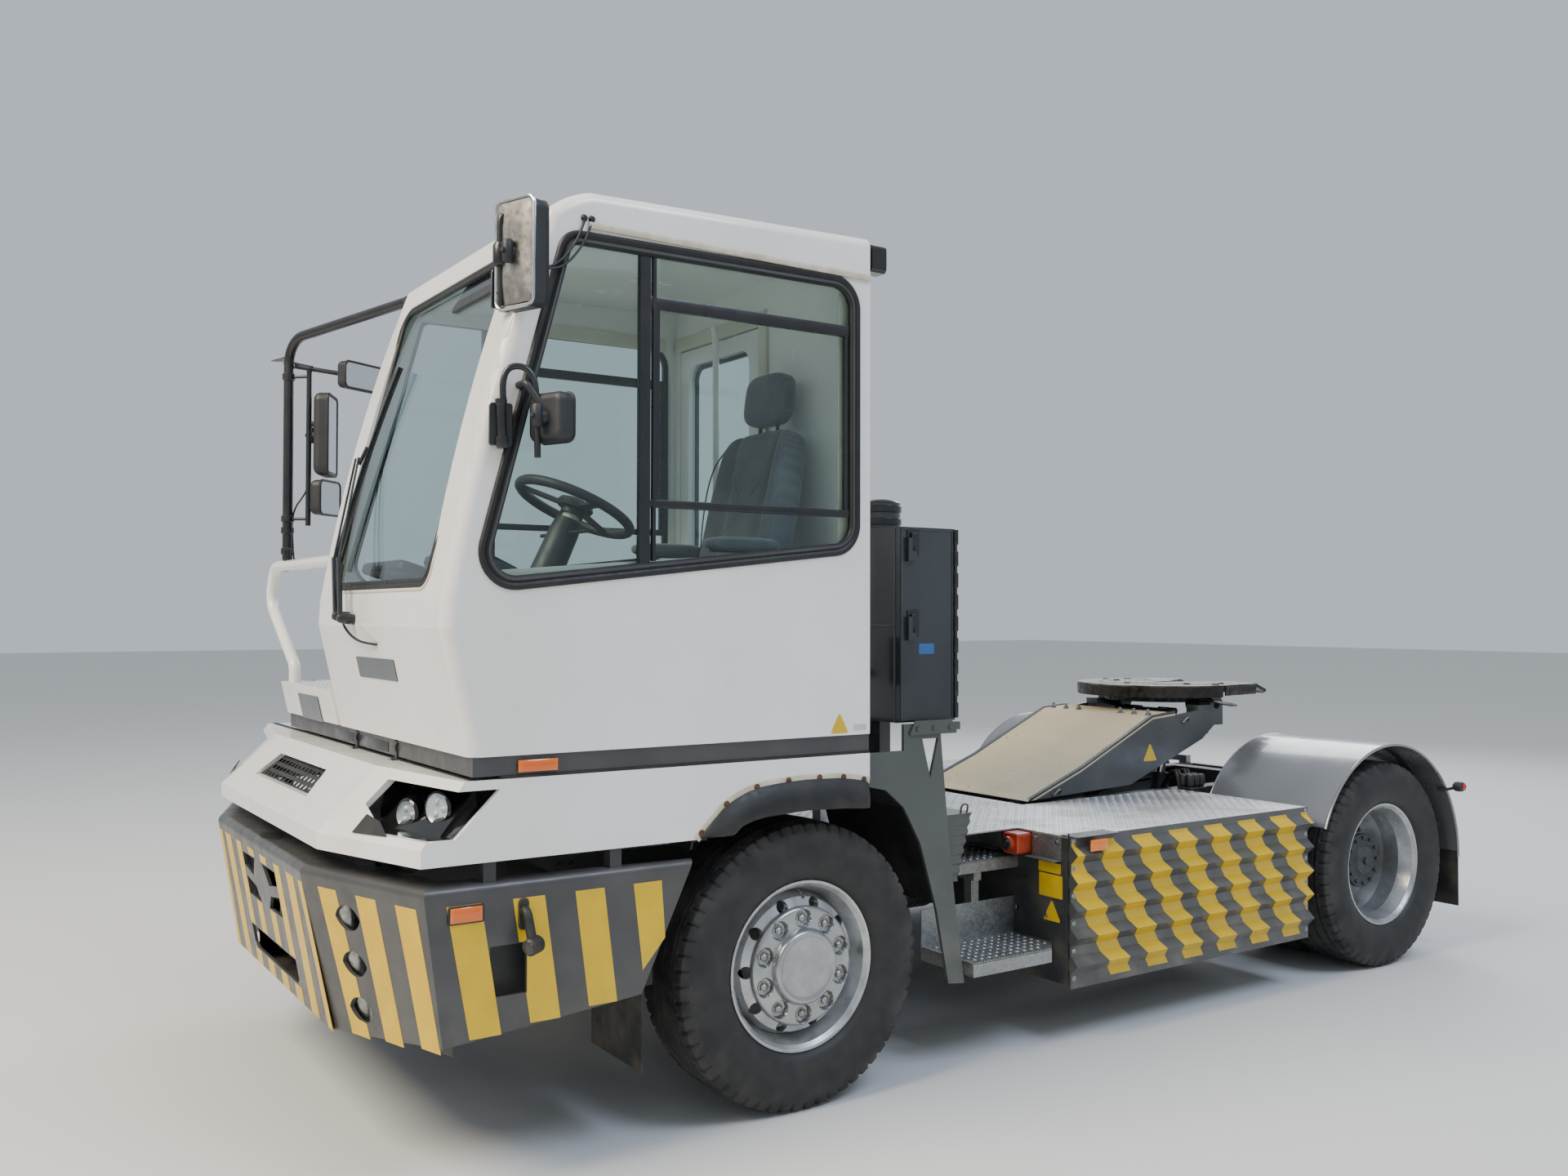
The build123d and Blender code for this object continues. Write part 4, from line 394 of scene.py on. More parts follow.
# Surface recipes by real finish. Columns: sRGB colour, its darker shade, size of the clouds
# between them in mm, roughness from and to, size and height of the surface's own relief in mm,
# metallic, coat, road dust from 0 to 1 and the height in mm below which it gathers.
RECIPES = {
    # Two-pack gloss enamel, sprayed: clear highlights, a faint orange peel, grime low down
    "white_enamel": ("#efedea", "#e6e3de", 700, 0.16, 0.28, 2.2, 0.012, 0.0, 0.5, 0.35, 1150),
    # Powder coat on folded plate: even satin with a fine peel
    "charcoal_powder_coat": ("#454545", "#3a3a3b", 240, 0.32, 0.46, 1.6, 0.02, 0.0, 0.1, 0.3, 700),
    # Chassis paint: brushed and sprayed black, dull with dust
    "chassis_black": ("#343638", "#2a2c2d", 260, 0.42, 0.6, 3.0, 0.03, 0.0, 0.0, 0.4, 900),
    # Mill steel rubbed bright in use
    "bare_steel": ("#8f8f8d", "#6d6a66", 60, 0.28, 0.5, 1.2, 0.03, 1.0, 0.0, 0.2, 700),
    # Sand-cast aluminium of the motor: grey with a fine grain
    "cast_aluminium": ("#9a9c9d", "#7f8182", 90, 0.42, 0.6, 1.8, 0.08, 0.8, 0.0, 0.4, 800),
    # Gloss black acrylic lamp housings
    "black_acrylic": ("#0b0b0d", "#101113", 200, 0.08, 0.16, 9.0, 0.004, 0.0, 0.4, 0.12, 1300),
    # Extruded rubber seal: soft sheen along its ribs. The same black, laid as a sheet on the bumper's wing,
    # is painted shade of the lamp pockets
    "seal_rubber": ("#121213", "#1b1b1b", 70, 0.45, 0.6, 2.0, 0.02, 0.0, 0.0, 0.15, 1500),
    # Vacuum-formed polyethylene with a leather grain
    "grained_polyethylene": ("#1a1b1c", "#232425", 110, 0.5, 0.66, 1.4, 0.12, 0.0, 0.0, 0.5, 900),
    # Air-dried enamel in grey-green
    "grey_green_enamel": ("#4c504d", "#434744", 260, 0.32, 0.46, 2.2, 0.02, 0.0, 0.15, 0.4, 1000),
    # Gloss powder coat of the locker: nearly black with mirror-like highlights
    "dark_gloss_coat": ("#2c3034", "#24272b", 320, 0.14, 0.26, 1.8, 0.012, 0.0, 0.5, 0.2, 1300),
    # Metallic base coat under lacquer: broad pale reflections over a rolled sheet
    "silver_grey_metallic": ("#8d8f92", "#7f8184", 500, 0.2, 0.3, 2.6, 0.002, 0.6, 0.5, 0.08, 700),
    # Cut rubber sheet
    "rubber_sheet": ("#151515", "#1c1c1b", 220, 0.6, 0.76, 1.5, 0.03, 0.0, 0.0, 0.25, 700),
    # Dark grey-green satin enamel of the boom
    "slate_enamel": ("#4a4c4c", "#404242", 280, 0.26, 0.42, 2.4, 0.02, 0.0, 0.2, 0.35, 1000),
    # Silver wheel enamel with brake dust in its clouds
    "wheel_silver": ("#c6c8ca", "#a6a6a5", 90, 0.26, 0.42, 1.4, 0.015, 0.75, 0.25, 0.35, 420),
    # Hard chrome on a ground rod
    "hard_chrome": ("#c9cacc", "#bfc0c2", 80, 0.06, 0.12, 3.0, 0.002, 1.0, 0.0, 0.0, 100),
    # Satin black enamel of the window band and the poles
    "satin_black_enamel": ("#17181a", "#1e1f21", 250, 0.24, 0.38, 2.0, 0.015, 0.0, 0.15, 0.15, 1500),
    # Injection-moulded ABS with a spark-eroded grain
    "grained_abs": ("#1e1f21", "#26272a", 150, 0.46, 0.58, 0.9, 0.05, 0.0, 0.0, 0.1, 1500),
    # Zinc-plated fasteners
    "zinc_plate": ("#a8a9a6", "#8c8b86", 12, 0.26, 0.44, 1.0, 0.01, 1.0, 0.0, 0.1, 800),
    # Retroreflective vinyl tape in signal yellow: even colour under a glossy skin
    "yellow_vinyl": ("#dcb400", "#d1aa00", 90, 0.34, 0.48, 2.5, 0.01, 0.0, 0.12, 0.1, 800),
    # Bare anodised light trim
    "bright_aluminium": ("#c4c5c6", "#b2b3b4", 120, 0.22, 0.34, 1.0, 0.006, 1.0, 0.0, 0.1, 800),
    # Pressed aluminium wheel cover with a soft grey shine
    "pressed_wheel_cover": ("#acaeaf", "#9c9e9f", 120, 0.24, 0.36, 1.4, 0.01, 0.9, 0.2, 0.15, 420),
    # Dark enamel of the rear hub, dulled by dust
    "dark_hub_enamel": ("#35373a", "#2a2c2e", 70, 0.4, 0.56, 1.6, 0.03, 0.0, 0.0, 0.35, 420),
    # Ivory PVC strip that has yellowed in the sun
    "ivory_strip": ("#cfc9b4", "#b9b097", 60, 0.4, 0.5, 1.4, 0.02, 0.0, 0.0, 0.1, 900),
    # Steel screws rusted brown
    "rusty_screw": ("#6d4a33", "#4a3326", 10, 0.6, 0.8, 1.0, 0.08, 0.3, 0.0, 0.0, 100),
    # Dark grey boom enamel
    "boom_paint": ("#4a4d50", "#3c3f41", 60, 0.36, 0.5, 1.6, 0.02, 0.0, 0.1, 0.2, 420),
    # Die-cast mirror back, silver paint worn and stained
    "stained_silver": ("#a6a19a", "#87827a", 46, 0.22, 0.42, 3.0, 0.05, 0.85, 0.1, 0.0, 100),
    # Vacuum-metallised lamp bowl, pale and soft in daylight
    "metallised_bowl": ("#eef0f1", "#dde1e4", 30, 0.2, 0.34, 1.2, 0.006, 0.3, 0.4, 0.0, 100),
    # Orange sheath of the high-voltage cables
    "orange_sheath": ("#d8611a", "#c04f12", 60, 0.42, 0.55, 1.2, 0.02, 0.0, 0.0, 0.4, 900),
    # Fresh black grease, wet and glossy
    "wet_grease": ("#1c1a17", "#26221c", 20, 0.12, 0.3, 2.4, 0.3, 0.0, 0.0, 0.0, 100),
    # Moulded polycarbonate switch box in orange red
    "orange_polycarbonate": ("#b23c1a", "#9f3315", 80, 0.28, 0.4, 1.4, 0.01, 0.0, 0.2, 0.3, 900),
    # Printed vinyl label left blank, in yellow, blue and pale grey
    "blank_yellow_label": ("#dcb60a", "#d1ab08", 60, 0.3, 0.4, 3.0, 0.005, 0.0, 0.2, 0.3, 800),
    "blank_blue_label": ("#2f5e9c", "#2a558f", 60, 0.3, 0.4, 3.0, 0.005, 0.0, 0.2, 0.1, 800),
    "blank_grey_label": ("#c9cbc8", "#bcbeba", 60, 0.3, 0.4, 3.0, 0.005, 0.0, 0.2, 0.2, 800),
    # Cream ABS of the dash top, the door frame and the grab pole. The same cream, as a bead round the
    # windscreen, is a painted highlight on the frame's edge
    "cream_abs": ("#d9d3c2", "#cfc8b5", 160, 0.34, 0.46, 1.0, 0.03, 0.0, 0.0, 0.05, 1500),
    # Pressed sheet left in black cathodic dip: valves, brake chambers and brackets
    "dip_coat_black": ("#1b1c1d", "#252423", 60, 0.4, 0.58, 1.2, 0.03, 0.0, 0.0, 0.5, 900),
}
ROAD_DUST = "#8d8577"
# A wave texture at scale one repeats after this length
WAVE_TURN = 6.283
MADE = {}


def coated(name, hue, shade, cloud, rough, rough_to, grain, height, metallic, coat, dust, below):
    """A finish from its recipe: two clouded tones, dust that gathers low down and a fine relief."""
    made, tree, shader, place = begin(name)
    tone = mixed(tree, spread(tree, noise(tree, place, cloud), 0.35, 0.65), hue, shade)
    if dust:
        low = spread(tree, fraction(tree, place, "Z"), below * MM, below * MM * 0.25, 0.12, 1.0)
        share = product(tree, low, spread(tree, noise(tree, place, 130, 6), 0.42, 0.72))
        tone = mixed(tree, product(tree, share, dust), tone, ROAD_DUST)
    fine = noise(tree, place, max(grain * 6, cloud / 4))
    connect(tree, shader, {
        "Base Color": tone,
        "Roughness": spread(tree, fine, 0.3, 0.7, rough, rough_to),
        "Normal": relief(tree, noise(tree, place, grain, 2), height, 1.0),
        "Metallic": metallic,
        "Coat Weight": coat,
        "Coat Roughness": 0.06,
    })
    return made


def hot_dip_zinc(name):
    """Hot-dip galvanised sheet: zinc crystals 9 mm across, each a flat grey of its own, dull in use."""
    made, tree, shader, place = begin(name)
    cells = node(tree, "TexVoronoi", {"Vector": place, "Scale": 1 / (9 * MM)}).outputs["Color"]
    share = node(tree, "SeparateColor", {"Color": cells}).outputs[0]
    stain = spread(tree, noise(tree, place, 160, 6), 0.5, 0.75, 0, 0.6)
    connect(tree, shader, {
        "Base Color": mixed(tree, stain, mixed(tree, share, "#8d908f", "#a9abaa"), "#6b6459"),
        "Roughness": spread(tree, share, 0, 1, 0.36, 0.56),
        "Metallic": 0.85,
    })
    return made


def rolled_tread_aluminium(name):
    """Rolled aluminium tread plate: bright where shoes polish it, with clouds of dried dirt."""
    made, tree, shader, place = begin(name)
    wear = spread(tree, noise(tree, place, 260, 7), 0.38, 0.66)
    grit = spread(tree, noise(tree, place, 9, 4), 0.55, 0.75, 0, 0.7)
    connect(tree, shader, {
        "Base Color": mixed(tree, grit, mixed(tree, wear, "#cfd1d3", "#a5a39f"), "#7a766f"),
        "Roughness": spread(tree, wear, 0, 1, 0.3, 0.55),
        "Metallic": 0.75,
    })
    return made


def sand_coat(name):
    """Anti-slip coat of sand in resin: 2 mm grains, drawn at 4 mm so that they show, with dark scuffs."""
    made, tree, shader, place = begin(name)
    grain = node(tree, "TexVoronoi", {"Vector": place, "Scale": 1 / (4 * MM)})
    share = node(tree, "SeparateColor", {"Color": grain.outputs["Color"]}).outputs[0]
    scuff = spread(tree, noise(tree, place, 55, 5), 0.68, 0.76)
    tone = mixed(tree, scuff, mixed(tree, share, "#b9a98a", "#cdbf9f"), "#5a4a3a")
    soft = spread(tree, noise(tree, place, 420, 3), 0.4, 0.7, 0, 0.35)
    connect(tree, shader, {
        "Base Color": mixed(tree, soft, tone, "#a08f72"),
        "Roughness": 0.86,
        "Normal": relief(tree, grain.outputs["Distance"], 0.8, 0.7, invert=True),
    })
    return made


def greased_casting(name):
    """Cast iron under old grease: near black and wet, grey where a trailer's plate has rubbed it."""
    made, tree, shader, place = begin(name)
    # The rubbed face is the topmost 10 mm of the plate
    top = spread(tree, fraction(tree, place, "Z"), (COUPLING_TOP - 10) * MM, (COUPLING_TOP - 1) * MM)
    share = product(tree, top, spread(tree, noise(tree, place, 210, 6), 0.46, 0.6))
    tone = mixed(tree, spread(tree, noise(tree, place, 35, 5), 0.4, 0.65), "#191816", "#2d2822")
    tone = mixed(tree, share, tone, "#77716a")
    rust = spread(tree, noise(tree, place, 90, 6), 0.62, 0.72, 0, 0.7)
    connect(tree, shader, {
        "Base Color": mixed(tree, rust, tone, "#6a452e"),
        "Roughness": spread(tree, noise(tree, place, 28, 4), 0.35, 0.65, 0.2, 0.62),
        "Metallic": 0.35,
        "Normal": relief(tree, noise(tree, place, 14, 4), 1.6, 0.8),
    })
    return made


def safety_glass(name, tint, least=0.03):
    """Toughened glass: what is behind it through a tint, and reflections that grow with the fifth
    power of the slant."""
    made, tree, shader, _ = begin(name)
    tree.nodes.remove(shader)
    clear = node(tree, "BsdfTransparent", {"Color": linear(tint)})
    gloss = node(tree, "BsdfGlossy", {"Color": (0.9, 0.93, 0.95, 1), "Roughness": 0.02})
    slant = node(tree, "LayerWeight", {"Blend": 0.5}).outputs["Facing"]
    grown = node(tree, "Math", {0: slant, 1: 5.0}, operation="POWER").outputs[0]
    share = node(tree, "Math", {0: grown, 1: 0.8, 2: least}, operation="MULTIPLY_ADD").outputs[0]
    mix = node(tree, "MixShader", {0: share, 1: clear.outputs[0], 2: gloss.outputs[0]})
    output = next(n for n in tree.nodes if n.type == "OUTPUT_MATERIAL")
    connect(tree, output, {"Surface": mix.outputs[0]})
    return made


def stripes(tree, place, pitch, way):
    """Waves pitch millimetres apart across the Y or the Z axis."""
    ends = {"Vector": place, "Scale": 1 / (pitch * MM) / WAVE_TURN}
    return node(tree, "TexWave", ends, bands_direction=way).outputs["Fac"]


def lens(name, hue, deep):
    """Moulded acrylic lens: deep colour under a polished face, with flutes 6 mm apart."""
    made, tree, shader, place = begin(name)
    flute = stripes(tree, place, 6, "Y")
    connect(tree, shader, {
        "Base Color": mixed(tree, flute, hue, deep),
        "Roughness": 0.1,
        "Coat Weight": 0.7,
        "Coat Roughness": 0.03,
        "Normal": relief(tree, flute, 0.5, 0.6),
    })
    return made


def tyre_rubber(name, axle_x):
    """Carbon-black tyre rubber: dull, with dust in rings on the sidewall and on the tread."""
    made, tree, shader, place = begin(name)
    centre = (-axle_x * MM, 0, -AXLE_Z * MM)
    centred = node(tree, "Mapping", {"Vector": place, "Location": centre}).outputs[0]
    flat = node(tree, "VectorMath", {0: centred, 1: (1, 0, 1)}, operation="MULTIPLY").outputs[0]
    radius = node(tree, "VectorMath", {0: flat}, operation="LENGTH").outputs["Value"]
    tone = mixed(tree, spread(tree, noise(tree, place, 60, 5), 0.35, 0.65), "#1c1c1d", "#262626")
    outer = spread(tree, radius, 0.40, 0.5, 0.1, 0.75)
    share = product(tree, outer, spread(tree, noise(tree, place, 90, 6), 0.35, 0.7))
    connect(tree, shader, {
        "Base Color": mixed(tree, share, tone, "#4d4a45"),
        "Roughness": spread(tree, radius, 0.3, 0.5, 0.55, 0.8),
        "Normal": relief(tree, noise(tree, place, 3, 3), 0.15, 0.6),
    })
    return made


def woven_cloth(name):
    """Flat-woven polyester seat cloth: threads 1.2 mm apart, drawn at 3 mm so that they show."""
    made, tree, shader, place = begin(name)
    weave = product(tree, stripes(tree, place, 3, "Y"), stripes(tree, place, 3, "Z"))
    fade = spread(tree, noise(tree, place, 160, 4), 0.4, 0.7, 0, 0.4)
    connect(tree, shader, {
        "Base Color": mixed(tree, fade, mixed(tree, weave, "#4b4d50", "#6a6c70"), "#7b7c7e"),
        "Roughness": 0.9,
        "Sheen Weight": 0.3,
        "Normal": relief(tree, weave, 0.5, 0.8),
    })
    return made


def mirror_glass(name):
    """Silvered glass: a clean mirror with a faint film of dust."""
    made, tree, shader, place = begin(name)
    connect(tree, shader, {
        "Base Color": linear("#d5d9dc"),
        "Metallic": 1.0,
        "Roughness": spread(tree, noise(tree, place, 40, 5), 0.4, 0.7, 0.02, 0.09),
    })
    return made


OTHER_FINISHES = {
    "hot_dip_zinc": hot_dip_zinc,
    "rolled_tread_aluminium": rolled_tread_aluminium,
    "sand_coat": sand_coat,
    "greased_casting": greased_casting,
    "woven_cloth": woven_cloth,
    "mirror_glass": mirror_glass,
    "green_safety_glass": lambda name: safety_glass(name, "#eef5f4"),
    "clear_lens_glass": lambda name: safety_glass(name, "#f4f7f8", 0.04),
    "amber_acrylic": lambda name: lens(name, "#f07a12", "#d8600a"),
    "red_acrylic": lambda name: lens(name, "#c01a14", "#8f100d"),
    "front_tyre_rubber": lambda name: tyre_rubber(name, FRONT_AXLE),
    "rear_tyre_rubber": lambda name: tyre_rubber(name, REAR_AXLE),
}


def material(name):
    """The finish of that name, made once."""
    if name not in MADE:
        MADE[name] = coated(name, *RECIPES[name]) if name in RECIPES else OTHER_FINISHES[name](name)
    return MADE[name]


# The finish that each of the frame's nodes takes
NODE_FINISH = {
    "chassis_black": ("frame_rails", "front_axle", "rear_axle", "knuckle_left", "knuckle_right", "tie_rod",
                      "battery_boxes", "lift_barrels"),
    "charcoal_powder_coat": ("front_bumper", "cab_floor"),
    "bare_steel": ("tow_jaw",),
    "dip_coat_black": ("air_tanks",),
    "cast_aluminium": ("drive_unit",),
    "white_enamel": ("lower_body", "side_platform", "guard_rail", "rear_door", "cab_roof", "cab_side_left",
                     "cab_side_right", "cab_rear", "cab_front"),
    "black_acrylic": ("headlamps", "roof_lamps"),
    "seal_rubber": ("arch_lips",),
    "grained_polyethylene": ("arch_liners", "intake_grille"),
    "grey_green_enamel": ("fender_blades", "wheel_chock"),
    "hot_dip_zinc": ("steps", "hanging_plates"),
    "orange_polycarbonate": ("isolator_switch",),
    "slate_enamel": ("ridge_panels", "boom_frame"),
    "rolled_tread_aluminium": ("deck",),
    "dark_gloss_coat": ("cabinet_body", "cabinet_door"),
    "silver_grey_metallic": ("rear_mudguards",),
    "rubber_sheet": ("mud_flaps",),
    "red_acrylic": ("marker_lamps",),
    "wheel_silver": ("front_wheel_left", "front_wheel_right", "rear_wheels_left", "rear_wheels_right"),
    "sand_coat": ("ramp_plate",),
    "greased_casting": ("fifth_wheel",),
    "hard_chrome": ("lift_rods",),
    "green_safety_glass": ("cab_glass", "rear_door_glass"),
    "satin_black_enamel": ("mirror_pole",),
    "grained_abs": ("mirrors_left", "mirrors_right", "steering_wheel"),
    "cream_abs": ("dash_console",),
    "woven_cloth": ("driver_seat",),
    "front_tyre_rubber": ("front_tyre_left", "front_tyre_right"),
    "rear_tyre_rubber": ("rear_tyres_left", "rear_tyres_right"),
}


class PaintFrame(bpy.types.Operator):
    """Give every node of the frame its finish"""

    bl_idname = "tractor.paint_frame"
    bl_label = "Paint the frame"

    def execute(self, context):
        for finish, nodes in NODE_FINISH.items():
            for name in nodes:
                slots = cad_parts[name].data.materials
                slots.clear()
                slots.append(material(finish))
        missing = set(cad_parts) - {n for nodes in NODE_FINISH.values() for n in nodes}
        if missing:
            raise RuntimeError(f"no finish for {sorted(missing)}")
        return {"FINISHED"}


# Tyres

HALF_TREAD = 131.0
SHOULDER_LUGS = 60
LUG_STEPS = 5
GROOVES = (-78.0, -27.0, 27.0, 78.0)


def tyre_form(y, outward):
    """Tyre about its axle: radius and width follow a profile from bead to bead, and the tread
    drops by 13 mm in four round grooves and by 9 mm in slots cut across each shoulder."""
    profile = np.array([
        (-108, 286), (-111, 297), (-122, 301), (-134, 309), (-144, 322), (-151, 345), (-156, 372),
        (-157.5, 396), (-156.5, 415), (-154, 432), (-150, 452), (-145, 470), (-139, 485), (-134, 493),
        (-131, 498),
    ])
    crown = np.array([-120, -110, -100, -92, -85, -82, -74, -71, -60, -45, -34, -31, -23, -20, -8])
    middle = np.column_stack([crown, TYRE_R - 6 * (np.abs(crown) / HALF_TREAD) ** 2.5])
    left = np.concatenate([profile, middle])
    section = np.concatenate([left, (left * (-1, 1))[::-1]])
    w, r = section[:, 0], section[:, 1]
    turns = SHOULDER_LUGS * LUG_STEPS
    t = np.arange(turns) * 2 * pi / turns
    depth = np.max([13.0 * (np.abs(w - g) < 5.5) for g in GROOVES], 0) * (r > 490)
    phase = np.arange(turns) % LUG_STEPS
    slot = (phase[:, None] == 0) * (np.abs(w)[None] > 96) * (r > 470)[None] * 9.0
    sipe = (phase[:, None] == 2) * (np.abs(w)[None] < 70) * (np.abs(w)[None] > 36) * 2.5
    radius = r[None] - depth[None] - slot - sipe
    width = np.broadcast_to(w, radius.shape) - np.sign(w) * slot * (np.abs(w) > 128) * 0.4
    points = np.stack([
        radius * np.cos(t)[:, None],
        y + width * outward,
        AXLE_Z + radius * np.sin(t)[:, None],
    ], -1)
    return surface(points, wrap_u=True, wrap_v=True)


def about_axle(form, axle_x, y, side=1):
    """A form drawn about its own Z set on an axle, its Z pointing out of that side."""
    return at(form, (axle_x, y * side, AXLE_Z), (0, side, 0), UP)


FRONT_TYRE_Y = 1055.0
REAR_OUTER_Y = 1075.0
# From one rear tyre's middle to its twin's
TWIN = 345.0


class Tyres(bpy.types.Operator):
    """Six tyres with grooved treads and notched shoulders"""

    bl_idname = "tractor.tyres"
    bl_label = "Tyres"

    def execute(self, context):
        for side, word in SIDES:
            front = shift(tyre_form(side * FRONT_TYRE_Y, side), FRONT_AXLE)
            make(f"ribbed_tyre_front_{word}", front, "front_tyre_rubber", f"{word}_front_wheel",
                 [f"front_tyre_{word}"], 28)
            rear = [shift(tyre_form(side * y, side), REAR_AXLE) for y in (REAR_OUTER_Y, REAR_OUTER_Y - TWIN)]
            make(f"ribbed_tyres_rear_{word}", join(*rear), "rear_tyre_rubber", f"{word}_rear_wheels",
                 [f"rear_tyres_{word}"], 28)
        return {"FINISHED"}


# Wheels

NUT_CIRCLE = 167.5
WHEEL_NUTS = 10
HUB_OUT = 8


def trim_disc():
    """Pressed cover over a front wheel's nuts. Its height follows a profile of the radius, less a
    pocket 17 mm deep within 31 mm of each nut, whose wall is a smooth step 5 mm wide."""
    r = np.concatenate([
        [0.01], np.linspace(20, 100, 6), np.linspace(105, 137, 14), np.linspace(139, 199, 26),
        [203, 206, 208, 208],
    ])
    radii = [0, 98, 106, 113, 121, 128, 134, 199, 205, 208]
    heights = [151, 151, 152.5, 156, 156.5, 150, 131, 128, 124, 118]
    face = np.interp(r, radii, heights)
    face[-1] = 104
    t = np.arange(240) * 2 * pi / 240
    nearest = np.round(t / (2 * pi / WHEEL_NUTS)) * 2 * pi / WHEEL_NUTS
    cosine = np.cos(t - nearest)[None]
    reach = np.sqrt(r[:, None] ** 2 + NUT_CIRCLE ** 2 - 2 * r[:, None] * NUT_CIRCLE * cosine)
    step = np.clip((33.5 - reach) / 5, 0, 1)
    height = face[:, None] - 17 * step * step * (3 - 2 * step)
    points = np.stack([r[:, None] * np.cos(t), r[:, None] * np.sin(t), height], -1)
    return surface(points, wrap_v=True)


def nuts(circle, count, base, radius=17, height=24, start=0.0):
    """Hexagon nuts with rounded ends, evenly round a circle."""
    nut = [(0, height), (7, height - 1), (11, height - 4), (radius * 0.86, height - 8), (radius, height - 11)]
    nut = lathe([*nut, (radius, 0), (0, 0)], 6)
    collar = lathe([(radius + 6, 0), (radius + 5, 5), (radius - 2, 6), (radius - 2, 0)], 16)
    return around(join(nut, collar), circle, count, base, start)


def valve(radius, low, high):
    """Angled tyre valve: stem out of the rim, bent outwards, with its cap."""
    stem = tube([(radius, 0, low), (radius - 14, 0, low + 18), (radius - 20, 0, high)], 4, 8)
    return join(stem, at(lathe([(0, 12), (5, 11), (6, 8), (6, -6), (0, -6)], 8), (radius - 20, 0, high)))


class Wheels(bpy.types.Operator):
    """Trim discs, nuts, valves and the rear hub covers"""

    bl_idname = "tractor.wheels"
    bl_label = "Wheel fittings"

    def execute(self, context):
        rim_edge = lathe([(292, 124), (299, 127), (302, 122), (299, 112), (292, 112), (292, 124)], 96)
        hub = lathe([(0, 22), (70, 22), (78, 14), (96, 8), (132, 6), (136, 2), (136, -12), (124, -22),
                     (124, -70), (140, -84), (142, -150), (0, -150)], 60)
        studs = around(hexagon_head(9, 10), 115, 12, 7)
        plug = shift(lathe([(0, 12), (16, 11), (19, 7), (19, -2), (0, -2)], 8), z=22)
        cover = shift(join(hub, plug), z=HUB_OUT)
        front = (
            ("trim_disc", trim_disc(), "pressed_wheel_cover", "rim_silver"),
            ("rim_edge_front", rim_edge, "bright_aluminium", "rim_silver"),
            ("wheel_nuts_front", nuts(NUT_CIRCLE, WHEEL_NUTS, 110, height=20), "zinc_plate", "bare_steel"),
            ("valve_front", valve(262, 96, 128), "zinc_plate", "bare_steel"),
        )
        rear_nuts = nuts(NUT_CIRCLE, WHEEL_NUTS, -168, height=30, start=0.3)
        rear = (
            ("rim_edge_rear", rim_edge, "bright_aluminium", "rim_silver"),
            ("hub_cover", cover, "dark_hub_enamel", "frame_paint"),
            ("hub_bolts", shift(studs, z=HUB_OUT), "dark_hub_enamel", "frame_paint"),
            ("wheel_nuts_rear", rear_nuts, "dark_hub_enamel", "frame_paint"),
            ("valve_rear", valve(250, -70, 20), "zinc_plate", "bare_steel"),
        )
        axles = ((front, FRONT_AXLE, FRONT_TYRE_Y, "front_wheel"),
                 (rear, REAR_AXLE, REAR_OUTER_Y, "rear_wheels"))
        for side, word in SIDES:
            for table, axle, y, body in axles:
                for name, form, finish, slot in table:
                    placed = about_axle(form, axle, y, side)
                    make(f"{name}_{word}", placed, finish, f"{word}_{body}")
        return {"FINISHED"}


# Front bumper

BUMPER_FOOT = 400
BUMPER_HEIGHT = 540
TAPE_TOP = 884
TAPE_FOOT = 430
TAPE_LIFT = 0.8
INNER_BACK = 75


def bumper_side(along, z):
    """Point on the bumper's flat side."""
    return np.stack([ahead(along), np.full_like(along, HALF_WIDTH), z], -1)


def bumper_wing(y, z):
    """Point on the bumper's slanting face: on the ruled surface between its top and foot lines."""
    k = (z - BUMPER_FOOT) / BUMPER_HEIGHT
    s = (HALF_WIDTH - y) / (595 + 15 * k)
    return np.stack([ahead(1318 + 170 * s + k * (72 + 28 * s)), y, z], -1)


def bumper_front(y, z):
    """Point on the bumper's middle face, which leans forward by 100 mm in 540."""
    return np.stack([ahead(1488 + 100 * (z - BUMPER_FOOT) / BUMPER_HEIGHT), y, z], -1)


EYE_HEIGHTS = (800, 655, 510)


def patch(first, second, out, lift=TAPE_LIFT, depth=2 * TAPE_LIFT):
    """Thin closed sheet between two rows of points, lifted along out."""
    out = np.asarray(out, float)
    top = np.stack([first, second]) + out * lift
    return slab(top, top - out * depth)


def stripe(face, top, foot, z_top, z_foot, trim=None):
    """Tape on a bumper face. Its two edges run straight from top to foot; trim draws them back
    from a hole."""
    z = np.linspace(z_top, z_foot, 97)
    share = (TAPE_TOP - z) / (TAPE_TOP - TAPE_FOOT)
    edges = [top[i] + (foot[i] - top[i]) * share for i in (0, 1)]
    if trim:
        edges = trim(z, *edges)
    a, b = (face(edge, z) for edge in edges)
    out = np.cross(a[-1] - a[0], b[0] - a[0])
    out = unit(out) * np.sign(out @ np.array([1.0, 1.0, 0.0]))
    return patch(a, b, out)


def clear_of_eyes(z, near, far):
    """Draws a wing stripe's outer edge back from the three pointed oval holes, arcs of 68 mm radius."""
    for centre in EYE_HEIGHTS:
        half = np.sqrt(np.maximum(68.05 ** 2 - (np.abs(z - centre) + 28.05) ** 2, 0))
        far = np.where((half > 0) & (near < 800), np.minimum(far, 860 - half - 1), far)
    return near, far


def clear_of_side_hole(z, near, far):
    """Draws a side stripe back from the square hole between 597 and 749 mm."""
    inside = (z > 596) & (z < 750)
    return near, np.where(inside & (near < 1060), np.minimum(far, 1066), far)


